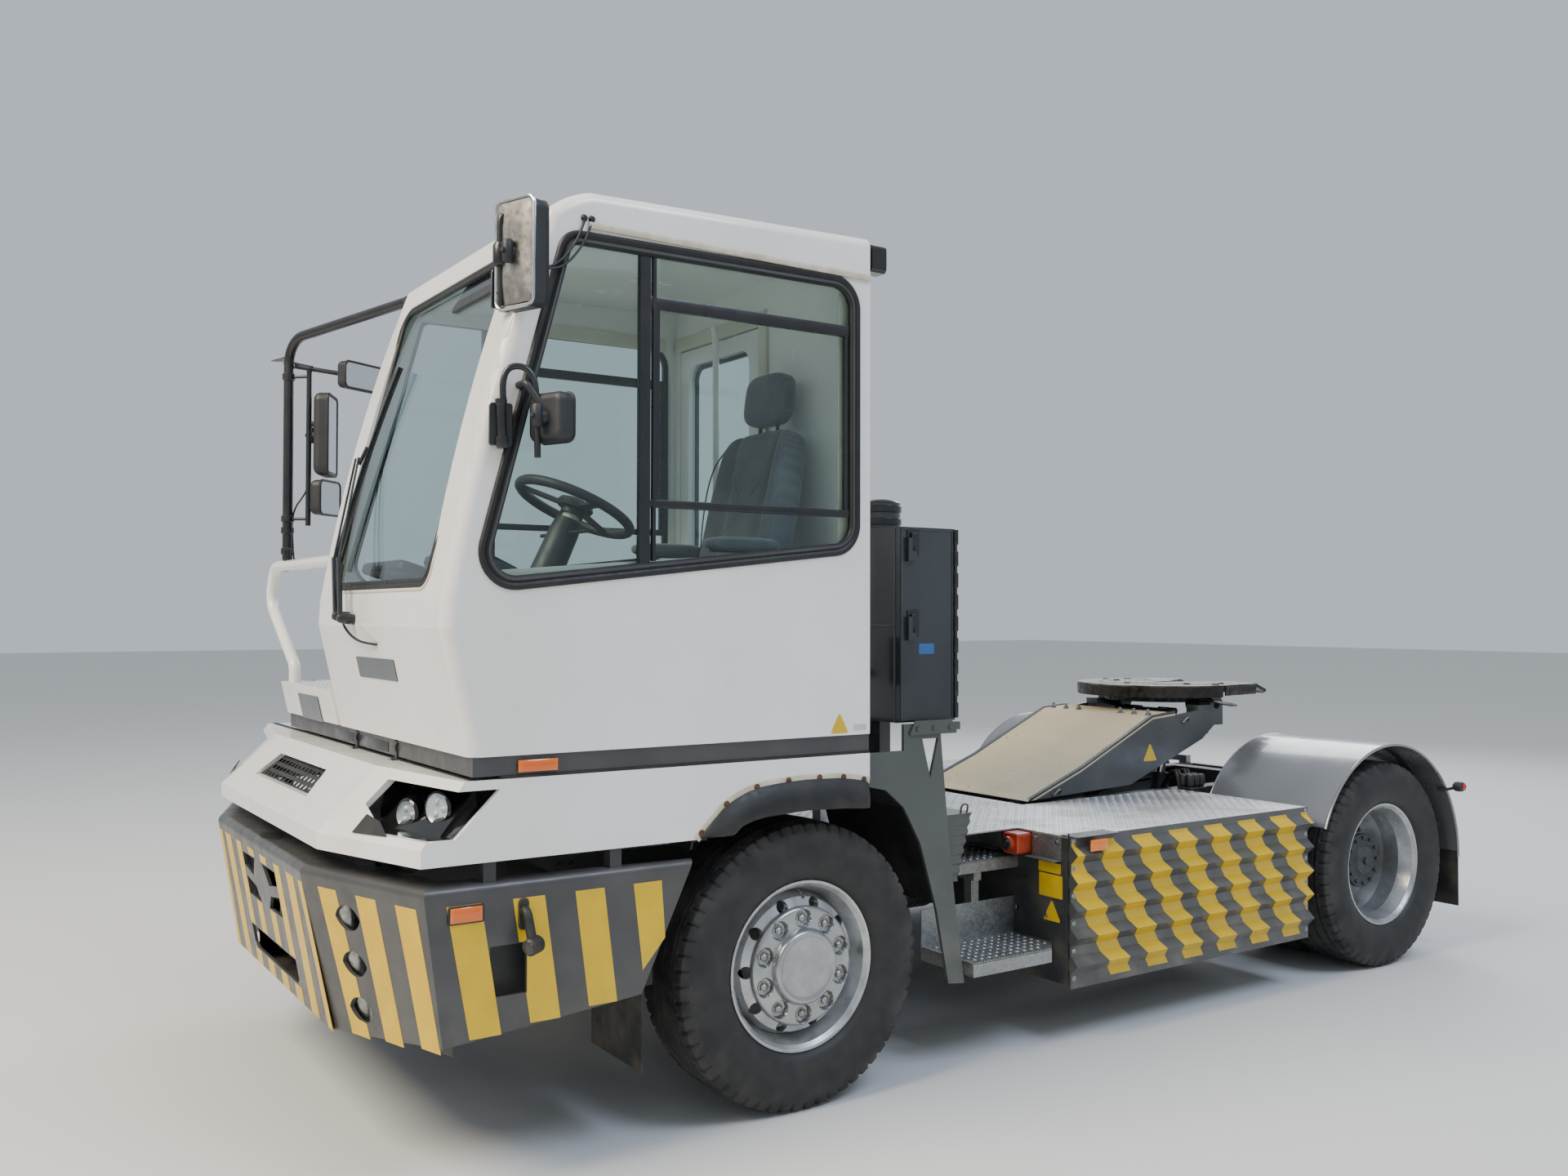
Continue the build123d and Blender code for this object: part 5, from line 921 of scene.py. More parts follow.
# Tape on the bumper, in mm: its two edges at height 884, then at height 430, and the heights it
# runs between. On the side they are distances ahead of the axle, elsewhere distances outward.
SIDE_TAPE = ((1213, 1319, 1138, 1236, 884, 484), (1009, 1112, 945, 1043, 884, 503),
             (808, 907, 750, 847, 884, 522))
WING_TAPE = ((726, 819, 785, 880, 882, 421), (919, 1016, 966, 1058, 880, 434),
             (1110, 1207, 1150, 1240, 878, 452))
FRONT_TAPE = (
    (586, 638, 641, 693, 884, 408), (431, 527, 442, 538, 884, 408),
    (254, 335, 262, 343, 884, 566), (239, 335, 248, 344, 464, 408),
    (47, 143, 52, 148, 884, 856), (47, 143, 52, 148, 464, 408), (60, 143, 64, 148, 684, 566),
)


class Bumper(bpy.types.Operator):
    """Yellow tape, inner plates, towing rungs, slots, black sheets of painted shade by the lamp pockets, and
    the lamp on its rubber arm
    """

    bl_idname = "tractor.bumper"
    bl_label = "Bumper fittings"

    def execute(self, context):
        tape = [stripe(bumper_side, t[:2], t[2:4], *t[4:], clear_of_side_hole) for t in SIDE_TAPE]
        tape += [stripe(bumper_wing, t[:2], t[2:4], *t[4:], clear_of_eyes) for t in WING_TAPE]
        tape += [stripe(bumper_front, t[:2], t[2:4], *t[4:]) for t in FRONT_TAPE]
        ends = (((604, 590), (884, 700)), ((705, 671), (884, 606)))
        last = [bumper_side(np.array(x, float), np.array(z, float)) for x, z in ends]
        tape.append(patch(*last, LEFT))
        make("bumper_tape", both_sides(*tape), "yellow_vinyl", "chassis")
        # Inner plates behind the openings
        z = np.array([415.0, 890.0])
        wing = [bumper_wing(np.full(2, y), z) for y in (655.0, 1190.0)]
        near = [bumper_side(np.full(2, x), np.array([560.0, 800.0])) for x in (1030.0, 1190.0)]
        backs = [
            both_sides(patch(*wing, (0.96, 0.28, 0), -INNER_BACK, 4), patch(*near, LEFT, -INNER_BACK, 4)),
            shift(prism(rectangle(4, 1272), 412, 880), ahead(1332)),
            shift(prism(rectangle(146, 1270), 408, 412), ahead(1405)),
            both_sides(shift(prism(rectangle(92, 4), 412, 880), ahead(1376), 634)),
        ]
        make("bumper_inner_plates", join(*backs), "chassis_black", "chassis")
        x = ahead(1405)
        rungs = [bar((x, -345, z), (x, 345, z), 20, 20, UP, 8) for z in (468, 560, 676, 770)]
        rungs += [bar((x, y, 440), (x, y, 850), 14, 14, FORE, 4) for y in (-352, -190, 190, 352)]
        post = lathe([(0, 0), (34, 0), (34, 440), (0, 440)], 20)
        posts = [at(post, (ahead(1395), side * 792, 425), (0.2, 0, 1)) for side in (-1, 1)]
        make("towing_rungs", join(*rungs, *posts), "zinc_plate", "chassis")
        hole = shift(prism(ring(1, 40) * (38, 88), 0.2, 1.4, 0.5), ahead(1528), 16, 940)
        # A thin black sheet on the wing face is painted shade: it carries each lamp pocket's shadow forward
        # to a point
        first = np.array([(ahead(1450), 904.2, 1124), (ahead(1492), 890.4, 1069)])
        second = np.array([(ahead(1434), 985, 1110), (ahead(1436), 1058, 1073)])
        pocket_shade_sheet = both_sides(patch(first, second, (0.799, 0.253, 0.546)))
        make("bumper_slots", join(hole, pocket_shade_sheet), "seal_rubber", "chassis")
        # Two slots lie in the front band
        band = [
            shift(prism(rectangle(2, high - low, 0.5), 1262, 1297), ahead(1236.8), (low + high) / 2)
            for low, high in ((-249, 38), (82, 431))
        ]
        make("band_slots", join(*band), "satin_black_enamel", "cab")
        # Black rubber arm with a small lamp, hung from the bumper's side
        foot = plate((34, 96, 14), (0, 9, 3), (ahead(1079), 1249, 836), LEFT)
        arm = from_axle((1079, 1250, 850), (1078, 1276, 846), (1076, 1292, 806), (1074, 1306, 768))
        arm = tube(arm, 15, 12)
        lamp_place, lamp_way = (ahead(1070), 1312, 752), (0.8, 0.5, -0.1)
        case = lathe([(0, 30), (20, 30), (26, 24), (27, -18), (20, -28), (0, -28)], 20)
        case = at(case, lamp_place, lamp_way)
        make("side_lamp_arm", both_sides(foot, arm, case), "seal_rubber", "chassis")
        glass = at(lathe([(0, 36), (12, 35), (18, 32), (19, 29), (0, 29)], 20), lamp_place, lamp_way)
        make("side_lamp_lens", both_sides(glass), "clear_lens_glass", "chassis")
        return {"FINISHED"}


# Lamps

# Side markers: width, height and depth, then their places ahead, out and up
MARKERS = (((98, 44, 12), 1260, 1251, 856), ((128, 36, 10), 1030, 1240, 1281),
           ((96, 46, 9), -1419, 1249, 806))
# Bowls: places ahead, out and up, then their radii
HEADLAMPS = (("small", (1327, 926, 1115), 46), ("large", (1274, 1058, 1145), 51))
HEADLAMP_AIM = (0.903, 0.421, 0.087)
STALK_X = ahead(-3975)
STALK_Z = 847
BEAM_REAR = -2740.3
TAIL_FACE = -2798
TAIL_Z = 710


def ribbed_lens(width, height, depth):
    """Small lamp: a rounded block that bulges as the product of two cosines."""
    u, v = np.linspace(-1, 1, 15), np.linspace(-1, 1, 9)
    x, y = np.meshgrid(u, v, indexing="ij")
    z = depth * (0.55 + 0.45 * np.cos(x * pi / 2) ** 0.5 * np.cos(y * pi / 2) ** 0.5)
    top = np.stack([x * width / 2, y * height / 2, z], -1)
    return slab(top, top * (1, 1, 0))


def tail_lens(width, y):
    """One lens of the rear lamps."""
    return plate((width, 120, 8), (0, 8, 2.5), (TAIL_FACE, y, TAIL_Z), BACK, LEFT)


class Lamps(bpy.types.Operator):
    """Headlamp bowls and lenses, markers, reflectors and the rear lamps"""

    bl_idname = "tractor.lamps"
    bl_label = "Lamps"

    def execute(self, context):
        for name, (x, y, z), radius in HEADLAMPS:
            inner = radius - 4
            wall, tip = inner - 0.5, inner - 0.6
            rim = [(inner, 14), (radius + 1, 12), (radius + 5, 7), (radius + 5, -30), (radius + 0.6, -30)]
            rim = lathe([*rim, (radius + 0.6, 0.6), (inner, 0.6), (inner, 14)], 48)
            bowl = [(0, 1.6), (inner * 0.5, 2.4), (inner * 0.8, 5), (wall, 11), (wall, 0.6), (0, 0.6)]
            dome = [(0, 17), (inner * 0.5, 16.4), (inner * 0.85, 14.6), (tip, 12.6), (tip, 11.2), (0, 11.2)]
            led = lathe([(0, 9.5), (6, 8.5), (10, 5), (11, 2), (0, 2)], 16)
            led = join(*[at(led, (a, b, 0)) for a, b in ring(radius * 0.42, 3, 0.5)])
            parts = (("bezel", rim, "black_acrylic"), ("bowl", lathe(bowl, 48), "metallised_bowl"),
                     ("projectors", led, "metallised_bowl"), ("lens", lathe(dome, 48), "clear_lens_glass"))
            place = (ahead(x), y, z)
            for word, form, finish in parts:
                aimed = both_sides(at(form, place, HEADLAMP_AIM, UP))
                make(f"headlamp_{name}_{word}", aimed, finish, "chassis")
        foot = plate((110, 54, 6), (0, 7, 1.5), (ahead(1260), 1250, 856), LEFT)
        marker = [at(ribbed_lens(*size), (ahead(x), y, z), LEFT) for size, x, y, z in MARKERS]
        top = STALK_Z + 22
        arm = [(STALK_X + 5, 1215, STALK_Z), (STALK_X + 5, 1262, STALK_Z), (STALK_X, 1320, top)]
        arm = tube(arm, 8, 10)
        knob = lathe([(0, 24), (18, 24), (24, 18), (26, 0), (24, -16), (14, -26), (0, -26)], 20)
        knob = at(knob, (STALK_X, 1322, top), LEFT)
        tail_case = plate((280, 140, 14), (0, 58, 4), (BEAM_REAR, 260, TAIL_Z), BACK, LEFT)
        button = lathe([(0, 30), (16, 28), (22, 20), (22, 0), (0, 0)], 20)
        red = join(tail_lens(84, 180), at(button, (STALK_X, 1328, top), (-1, 0.3, 0)))
        white = tail_lens(76, 354)
        amber = both_sides(*marker, tail_lens(84, 270))
        make("marker_lenses", amber, "amber_acrylic", "chassis")
        make("tail_lenses_red", both_sides(red), "red_acrylic", "chassis", ["marker_lamps"])
        make("tail_lenses_white", both_sides(white), "clear_lens_glass", "chassis")
        make("lamp_cases", both_sides(tail_case, arm, knob, foot), "grained_abs", "chassis")
        return {"FINISHED"}


# Cab glazing and trim

# Section of the rubber seals: how far across the pane's edge, and how high over it
SEAL = [(-22, -14), (-23, 2), (-19, 8), (-12, 10), (-6, 7), (-2, 4),
        (3, 7), (9, 10), (17, 9), (22, 3), (22, -14)]
WINDOW = ((-182, 1981), (-182, 2931), (941, 2925), (1236, 1822))
WINDOW_RADII = (95, 95, 60, 95)
SCREEN = ((30, 1838), (1070, 1838), (1050, 2895), (0, 2895))


def seal_section(wide, high):
    """The window seal's section in a smaller size."""
    return [(a * wide, b * high) for a, b in SEAL]


# Places across, heights and lifts of the washer hose over the nose
WASHER_HOSE = ((300, 1905, 55), (262, 1800, 40), (290, 1705, 30), (400, 1655, 24), (560, 1640, 8),
               (566, 1640, 0))


def nose(z):
    """How far ahead of the axle the cab's front lies at a height: straight up the nose, then on the
    circle through the foot, the middle and the top of the windscreen."""
    z = np.asarray(z, float)
    (x1, z1), (x2, z2), (x3, z3) = (1328, 1790), (1186, 2430), (999, 3005)
    a = np.array([[x2 - x1, z2 - z1], [x3 - x1, z3 - z1]])
    b = np.array([x2 ** 2 - x1 ** 2 + z2 ** 2 - z1 ** 2, x3 ** 2 - x1 ** 2 + z3 ** 2 - z1 ** 2]) / 2
    cx, cz = np.linalg.solve(a, b)
    radius = np.hypot(x1 - cx, z1 - cz)
    glass = cx + np.sqrt(np.maximum(radius ** 2 - (z - cz) ** 2, 1))
    panel = 1247 + 86 * (z - 1314) / 386
    return np.where(z < 1700, panel, np.where(z < 1790, 1333 - 5 * (z - 1700) / 90, glass))


def nose_normal(z):
    """Outward direction of the cab's front at a height, from its slope."""
    slope = (nose(np.asarray(z) + 5) - nose(np.asarray(z) - 5)) / 10
    return unit(np.stack([np.ones_like(slope), np.zeros_like(slope), -slope], -1))


def on_nose(y, z, lift=0.0):
    """Point on the cab's front at y and z, lifted off it along its normal."""
    y, z = np.broadcast_arrays(np.asarray(y, float), np.asarray(z, float))
    return np.stack([ahead(nose(z)), y, z], -1) + nose_normal(z) * lift


class Glazing(bpy.types.Operator):
    """Rubber seals, the sliding window's frame, and the windscreen's seal"""

    bl_idname = "tractor.glazing"
    bl_label = "Window seals"

    def execute(self, context):
        for (out, word), side in zip(SIDES, (CAB_LEFT, CAB_RIGHT)):
            o = rounded([(ahead(x), z) for x, z in WINDOW], np.array(WINDOW_RADII), 12)
            loop = np.column_stack([o[:, 0], np.full(len(o), side), o[:, 1]])
            face, y = (0, out, 0), side - out * 12
            bars = join(
                bar((ahead(664), y, 1905), (ahead(664), y, 2915), 40, 22, face),
                bar((ahead(630), y + out * 4, 1915), (ahead(630), y + out * 4, 2910), 14, 16, face),
                bar((ahead(650), y, 2756), (ahead(-160), y, 2756), 40, 18, face),
                bar((ahead(650), y, 2102), (ahead(-160), y, 2102), 26, 20, face),
                bar((ahead(-150), y, 2100), (ahead(-150), y, 2750), 22, 16, face),
                bar((ahead(618), y, 2100), (ahead(618), y, 2750), 20, 14, face))
            strip = [(-15 * out, 7), (-15 * out, 11), (-8 * out, 11), (-8 * out, 7)]
            strip = sweep(loop, strip, face, closed=True)
            seal = sweep(loop, SEAL, face, closed=True)
            make(f"window_strip_{word}", strip, "charcoal_powder_coat", "cab")
            make(f"window_seal_{word}", seal, "seal_rubber", "cab")
            make(f"sliding_frame_{word}", bars, "satin_black_enamel", "cab")
        o = rounded(SCREEN, 60, 12)
        loop = on_nose(o[:, 0], o[:, 1])
        seal = sweep(loop, seal_section(0.72, 0.6), nose_normal(o[:, 1]), closed=True)
        make("screen_seal", seal, "seal_rubber", "cab")
        # A cream bead round the windscreen's seal is a painted highlight on the frame's edge
        bead = sweep(loop, ring(6, 8) + (19, 0), nose_normal(o[:, 1]), closed=True)
        make("screen_bead", bead, "cream_abs", "cab")
        o = rounded([(-5, 1900), (485, 1900), (485, 2825), (-5, 2825)], 60, 10)
        loop = np.column_stack([np.full(len(o), 1015.0), o])
        seal = sweep(loop, seal_section(0.7, 0.6), BACK, closed=True)
        make("door_window_seal", seal, "seal_rubber", "cab_door")
        o = rounded([(-80, 1330), (560, 1330), (560, 2900), (-80, 2900)], 12, 4)
        loop = np.column_stack([np.full(len(o), 1014.0), o])
        seal = sweep(loop, seal_section(0.42, 0.5), BACK, closed=True)
        make("door_frame_seal", seal, "seal_rubber", "cab")
        return {"FINISHED"}


class CabTrim(bpy.types.Operator):
    """Drip rail, wipers with their hose, and blank plates"""

    bl_idname = "tractor.cab_trim"
    bl_label = "Cab trim"

    def execute(self, context):
        drip = bar((ahead(869), CAB_LEFT + 5, 2968), (ahead(-248), CAB_LEFT + 5, 2958), 22, 12, LEFT, 4)
        rails = join(drip, shift(other_side(drip), y=CAB_LEFT + CAB_RIGHT))
        make("drip_rail", rails, "ivory_strip", "cab")
        # Two arms side by side rise from the pivots to the blade
        arms = []
        for shift_y, low in ((0, 1722), (-62, 1730)):
            knee = on_nose(255 + shift_y, 1930, 62)
            tip = on_nose(95 + shift_y * 0.6, 2310, 34)
            arms.append(sweep([on_nose(330 + shift_y, low, 46), knee], rectangle(20, 15, 4, 3), (1, 0, 0.2)))
            arms.append(sweep([knee, tip], rectangle(10, 7, 2, 3), (1, 0, 0.2)))
            pivot = lathe([(0, 56), (12, 54), (17, 46), (19, 10), (19, -6), (0, -6)], 16)
            arms.append(at(pivot, on_nose(335 + shift_y, low, 4), (0.95, 0, 0.1)))
        z = np.linspace(1905, 2640, 24)
        blade_y = np.interp(z, [1905, 2640], [45, 230])
        blade = [(-3, -10), (3, -10), (2, 0), (6, 4), (6, 9), (-6, 9), (-6, 4), (-2, 0)]
        arms.append(sweep(on_nose(blade_y, z, 16), blade, (1, 0, 0.3)))
        arms.append(bar(on_nose(95, 2290, 26), on_nose(140, 2345, 26), 16, 12, (1, 0, 0.3)))
        make("wiper", join(*arms), "satin_black_enamel", "cab")
        hose = tube([on_nose(*place) for place in WASHER_HOSE], 4.5, 8)
        make("washer_hose", hose, "seal_rubber", "cab")
        front = plate((420, 74, 6), (0, 3, 0.8), on_nose(500, 1556), nose_normal(1556), LEFT)
        low = plate((300, 104, 6), (0, 3, 0.8), on_nose(-520, 1362, 1), nose_normal(1362), LEFT)
        make("blank_plates", join(front, low), "dark_gloss_coat", "cab")
        return {"FINISHED"}


# Front arches

# Upper and lower edge of a visor, ahead of the axle and up, and the points worked out along them
ARCH_LINE = ((469, 1002), (430, 1042), (371, 1098), (328, 1124), (278, 1146), (220, 1160),
             (158, 1167), (90, 1171), (25, 1173), (-111, 1169), (-180, 1160), (-247, 1147))
ARCH_LOW = ((363, 1002), (340, 1010), (312, 1034), (292, 1042), (265, 1050), (215, 1058),
            (158, 1061), (90, 1065), (25, 1066), (-111, 1061), (-175, 1056), (-240, 1052))
ARCH_POINTS = 60


def evenly(line, count):
    """Count points spaced evenly along a broken line."""
    p = np.array(line, float)
    s = np.concatenate([[0], np.cumsum(np.hypot(*np.diff(p, axis=0).T))])
    t = np.linspace(0, s[-1], count)
    return np.column_stack([np.interp(t, s, p[:, 0]), np.interp(t, s, p[:, 1])])


class Arches(bpy.types.Operator):
    """Bulging rubber visors over the front wheels, their clamping strips and screws"""

    bl_idname = "tractor.arches"
    bl_label = "Wheel arches"

    def execute(self, context):
        top, low = evenly(ARCH_LINE, ARCH_POINTS), evenly(ARCH_LOW, ARCH_POINTS)
        # Across the visor the sheet swells as a sine and its ends close as a quarter ellipse
        v = np.linspace(0, 1, 14)
        u = np.linspace(0, 1, ARCH_POINTS)
        end = np.sqrt(np.clip(1 - (1 - np.minimum(np.minimum(u, 1 - u) / 0.05, 1)) ** 2, 0, 1))
        flat = top[:, None] + (low - top)[:, None] * v[None, :, None]
        swell = 1238 + 38 * np.sin(v * pi * 0.62)[None] ** 0.7 * (0.25 + 0.75 * end[:, None])
        outer = np.stack([ahead(flat[..., 0]), swell, flat[..., 1]], -1)
        visors = both_sides(slab(outer, outer - (0, 7, 0)))
        make("arch_visors", visors, "seal_rubber", "chassis", ["arch_lips"])
        path = np.column_stack([ahead(top[:, 0]), np.full(ARCH_POINTS, 1241.5), top[:, 1]])
        strips = both_sides(sweep(path, rectangle(26, 3, 1, 3), LEFT))
        make("arch_strips", strips, "ivory_strip", "chassis")
        spots = path[[2, 12, 22, 32, 42, 50, 57]] + (0, 1.5, 0)
        screw = join(dome_head(6, 4), lathe([(12, 0), (11, 1.6), (0, 1.6)], 14))
        make("arch_screws", both_sides(at(screw, spots, LEFT)), "rusty_screw", "chassis")
        return {"FINISHED"}


# Side guards

RIDGE_PITCH = 110.75
FIRST_RIDGE = 327.0
RIDGE_HALF = RIDGE_PITCH * 0.34
RIDGE_FALL = RIDGE_HALF * 0.9
RIDGE_DEPTH = 36
RIDGE_FLATS = [FIRST_RIDGE + RIDGE_PITCH * (n + 0.5) for n in range(-1, 5)]
BOX_FRONT = -30.0
BOX_REAR = -1600.0
GUARD_TAPE_PITCH = 231.5
GUARD_TAPE_WIDTH = 122
GUARD_TAPE_LEAN = 316


def guard_face(z):
    """How far out the ridged side guard lies at a height: a flat sheet with five pointed ridges."""
    n = np.clip(np.round((z - FIRST_RIDGE) / RIDGE_PITCH), 0, 4)
    off = z - (FIRST_RIDGE + RIDGE_PITCH * n)
    drop = np.where(off > 0, off / RIDGE_FALL, -off / RIDGE_HALF)
    return HALF_WIDTH - RIDGE_DEPTH * np.clip(drop, 0, 1)


class SideGuards(bpy.types.Operator):
    """Yellow tape pressed over the ridges of the side guards, and their screws"""

    bl_idname = "tractor.side_guards"
    bl_label = "Side guards"

    def execute(self, context):
        knots = [FIRST_RIDGE + RIDGE_PITCH * n + k for n in range(5) for k in (-RIDGE_HALF, 0.0, RIDGE_FALL)]
        z = np.array([256.0, *knots, 818.0])
        tape = []
        for start in np.arange(8) * GUARD_TAPE_PITCH - 106.0:
            fallen = (820 - z) / 530
            front = BOX_FRONT - start - fallen * GUARD_TAPE_LEAN
            a, b = (np.clip(edge, BOX_REAR + 4, BOX_FRONT - 4) for edge in (front, front - GUARD_TAPE_WIDTH))
            keep = (a - b) > 1
            if keep.sum() < 2:
                continue
            up = z[keep]
            y = guard_face(up) + TAPE_LIFT
            sheet = np.stack([np.column_stack([edge[keep], y, up]) for edge in (a, b)])
            tape.append(slab(sheet, sheet - (0, 2 * TAPE_LIFT, 0)))
        make("guard_tape", both_sides(*tape), "yellow_vinyl", "chassis")
        spots = [(x, 1214.5, z) for x in (BOX_FRONT - 16, BOX_REAR + 16) for z in RIDGE_FLATS]
        screw = join(dome_head(7, 4.5), lathe([(11, 0), (10, 1.4), (0, 1.4)], 12))
        make("guard_screws", both_sides(at(screw, spots, LEFT)), "zinc_plate", "chassis")
        return {"FINISHED"}


# Steps, deck and boxes

def tread_bar(length, width, height):
    """One raised bar of rolled tread plate: a lens shape with bevelled sides."""
    o = np.array([(0.5, 0), (0.24, 0.5), (-0.24, 0.5), (-0.5, 0), (-0.24, -0.5), (0.24, -0.5)])
    foot = o * (length, width)
    rings = ((foot, -0.6), (foot * (0.86, 0.45), height))
    points = np.concatenate([np.column_stack([r, np.full(6, z)]) for r, z in rings])
    return points, [grid(2, 6, wrap_columns=True), np.stack([np.arange(6)[::-1], np.arange(6, 12)])]


def tread_field(x_low, x_high, y_low, y_high, z, pitch=29.0):
    """Places of tread bars over a rectangle, on two interlaced grids at right angles."""
    half = pitch / 2
    x, y = np.meshgrid(np.arange(x_low + half, x_high, pitch), np.arange(y_low + half, y_high, pitch))
    odd = (np.round((x - x_low) / pitch - 0.5) + np.round((y - y_low) / pitch - 0.5)) % 2 == 1
    spots = np.stack([x, y, np.full_like(x, z)], -1)
    return spots[odd], spots[~odd]


def teeth(start, end, out, height, pitch):
    """Row of pointed teeth along an edge, as one closed zigzag sheet 3 mm thick."""
    start, end = np.array(start, float), np.array(end, float)
    n = int(np.linalg.norm(end - start) / pitch) * 2
    t = np.linspace(0, 1, n + 1)
    base = start + (end - start) * t[:, None]
    tip = base + np.array(UP) * (np.arange(n + 1) % 2 * height + 0.2)[:, None]
    low = base - (0, 0, 2)
    sheet = np.stack([low, tip])
    return slab(sheet, sheet + np.asarray(out, float) * 3)


STEP_FRONT = BOX_FRONT + 508
# Height, outer and inner edge of the two treads
TREADS = ((400, 1195, 880), (722, 910, 640))
# A blank label reaches from just inside the sheet under it to just outside
BLANK = (-0.5, 0.9)
CHOCK_FOOT = 694
CHOCK_TOP = 957
CHOCK_REAR = 362
CHOCK_FRONT = 536
CHOCK_Y = 992.5
CHOCK_RIB = 37.6


def blank_triangle(half, foot, top):
    """Thin triangular label with rounded corners, without a sign."""
    return prism(rounded([(-half, -foot), (half, -foot), (0, top)], 6, 4), *BLANK)


def ribbed_wedge():
    """Chock: rounded rectangles stacked along Z. Their rear edge moves in by 78 mm towards the foot,
    and the sides swell by 5 mm at each rib as the square of a cosine."""
    z = np.linspace(CHOCK_FOOT, CHOCK_TOP, 67)
    rear = CHOCK_REAR + (CHOCK_TOP - z) / (CHOCK_TOP - CHOCK_FOOT) * 78
    swell = 5 * np.cos((z - CHOCK_FOOT) * pi / CHOCK_RIB) ** 2 - 5
    outline = rectangle(1, 1, 0.08, 4)
    length = CHOCK_FRONT - rear + 2 * swell
    x = (rear + CHOCK_FRONT)[:, None] / 2 + length[:, None] * outline[:, 0]
    y = CHOCK_Y + (151 + 2 * swell)[:, None] * outline[:, 1]
    count = len(outline)
    points = np.stack([x, y, np.broadcast_to(z[:, None], x.shape)], -1).reshape(-1, 3)
    caps = np.stack([np.arange(count)[::-1], np.arange(count) + count * (len(z) - 1)])
    return points, [grid(len(z), count, wrap_columns=True), caps]


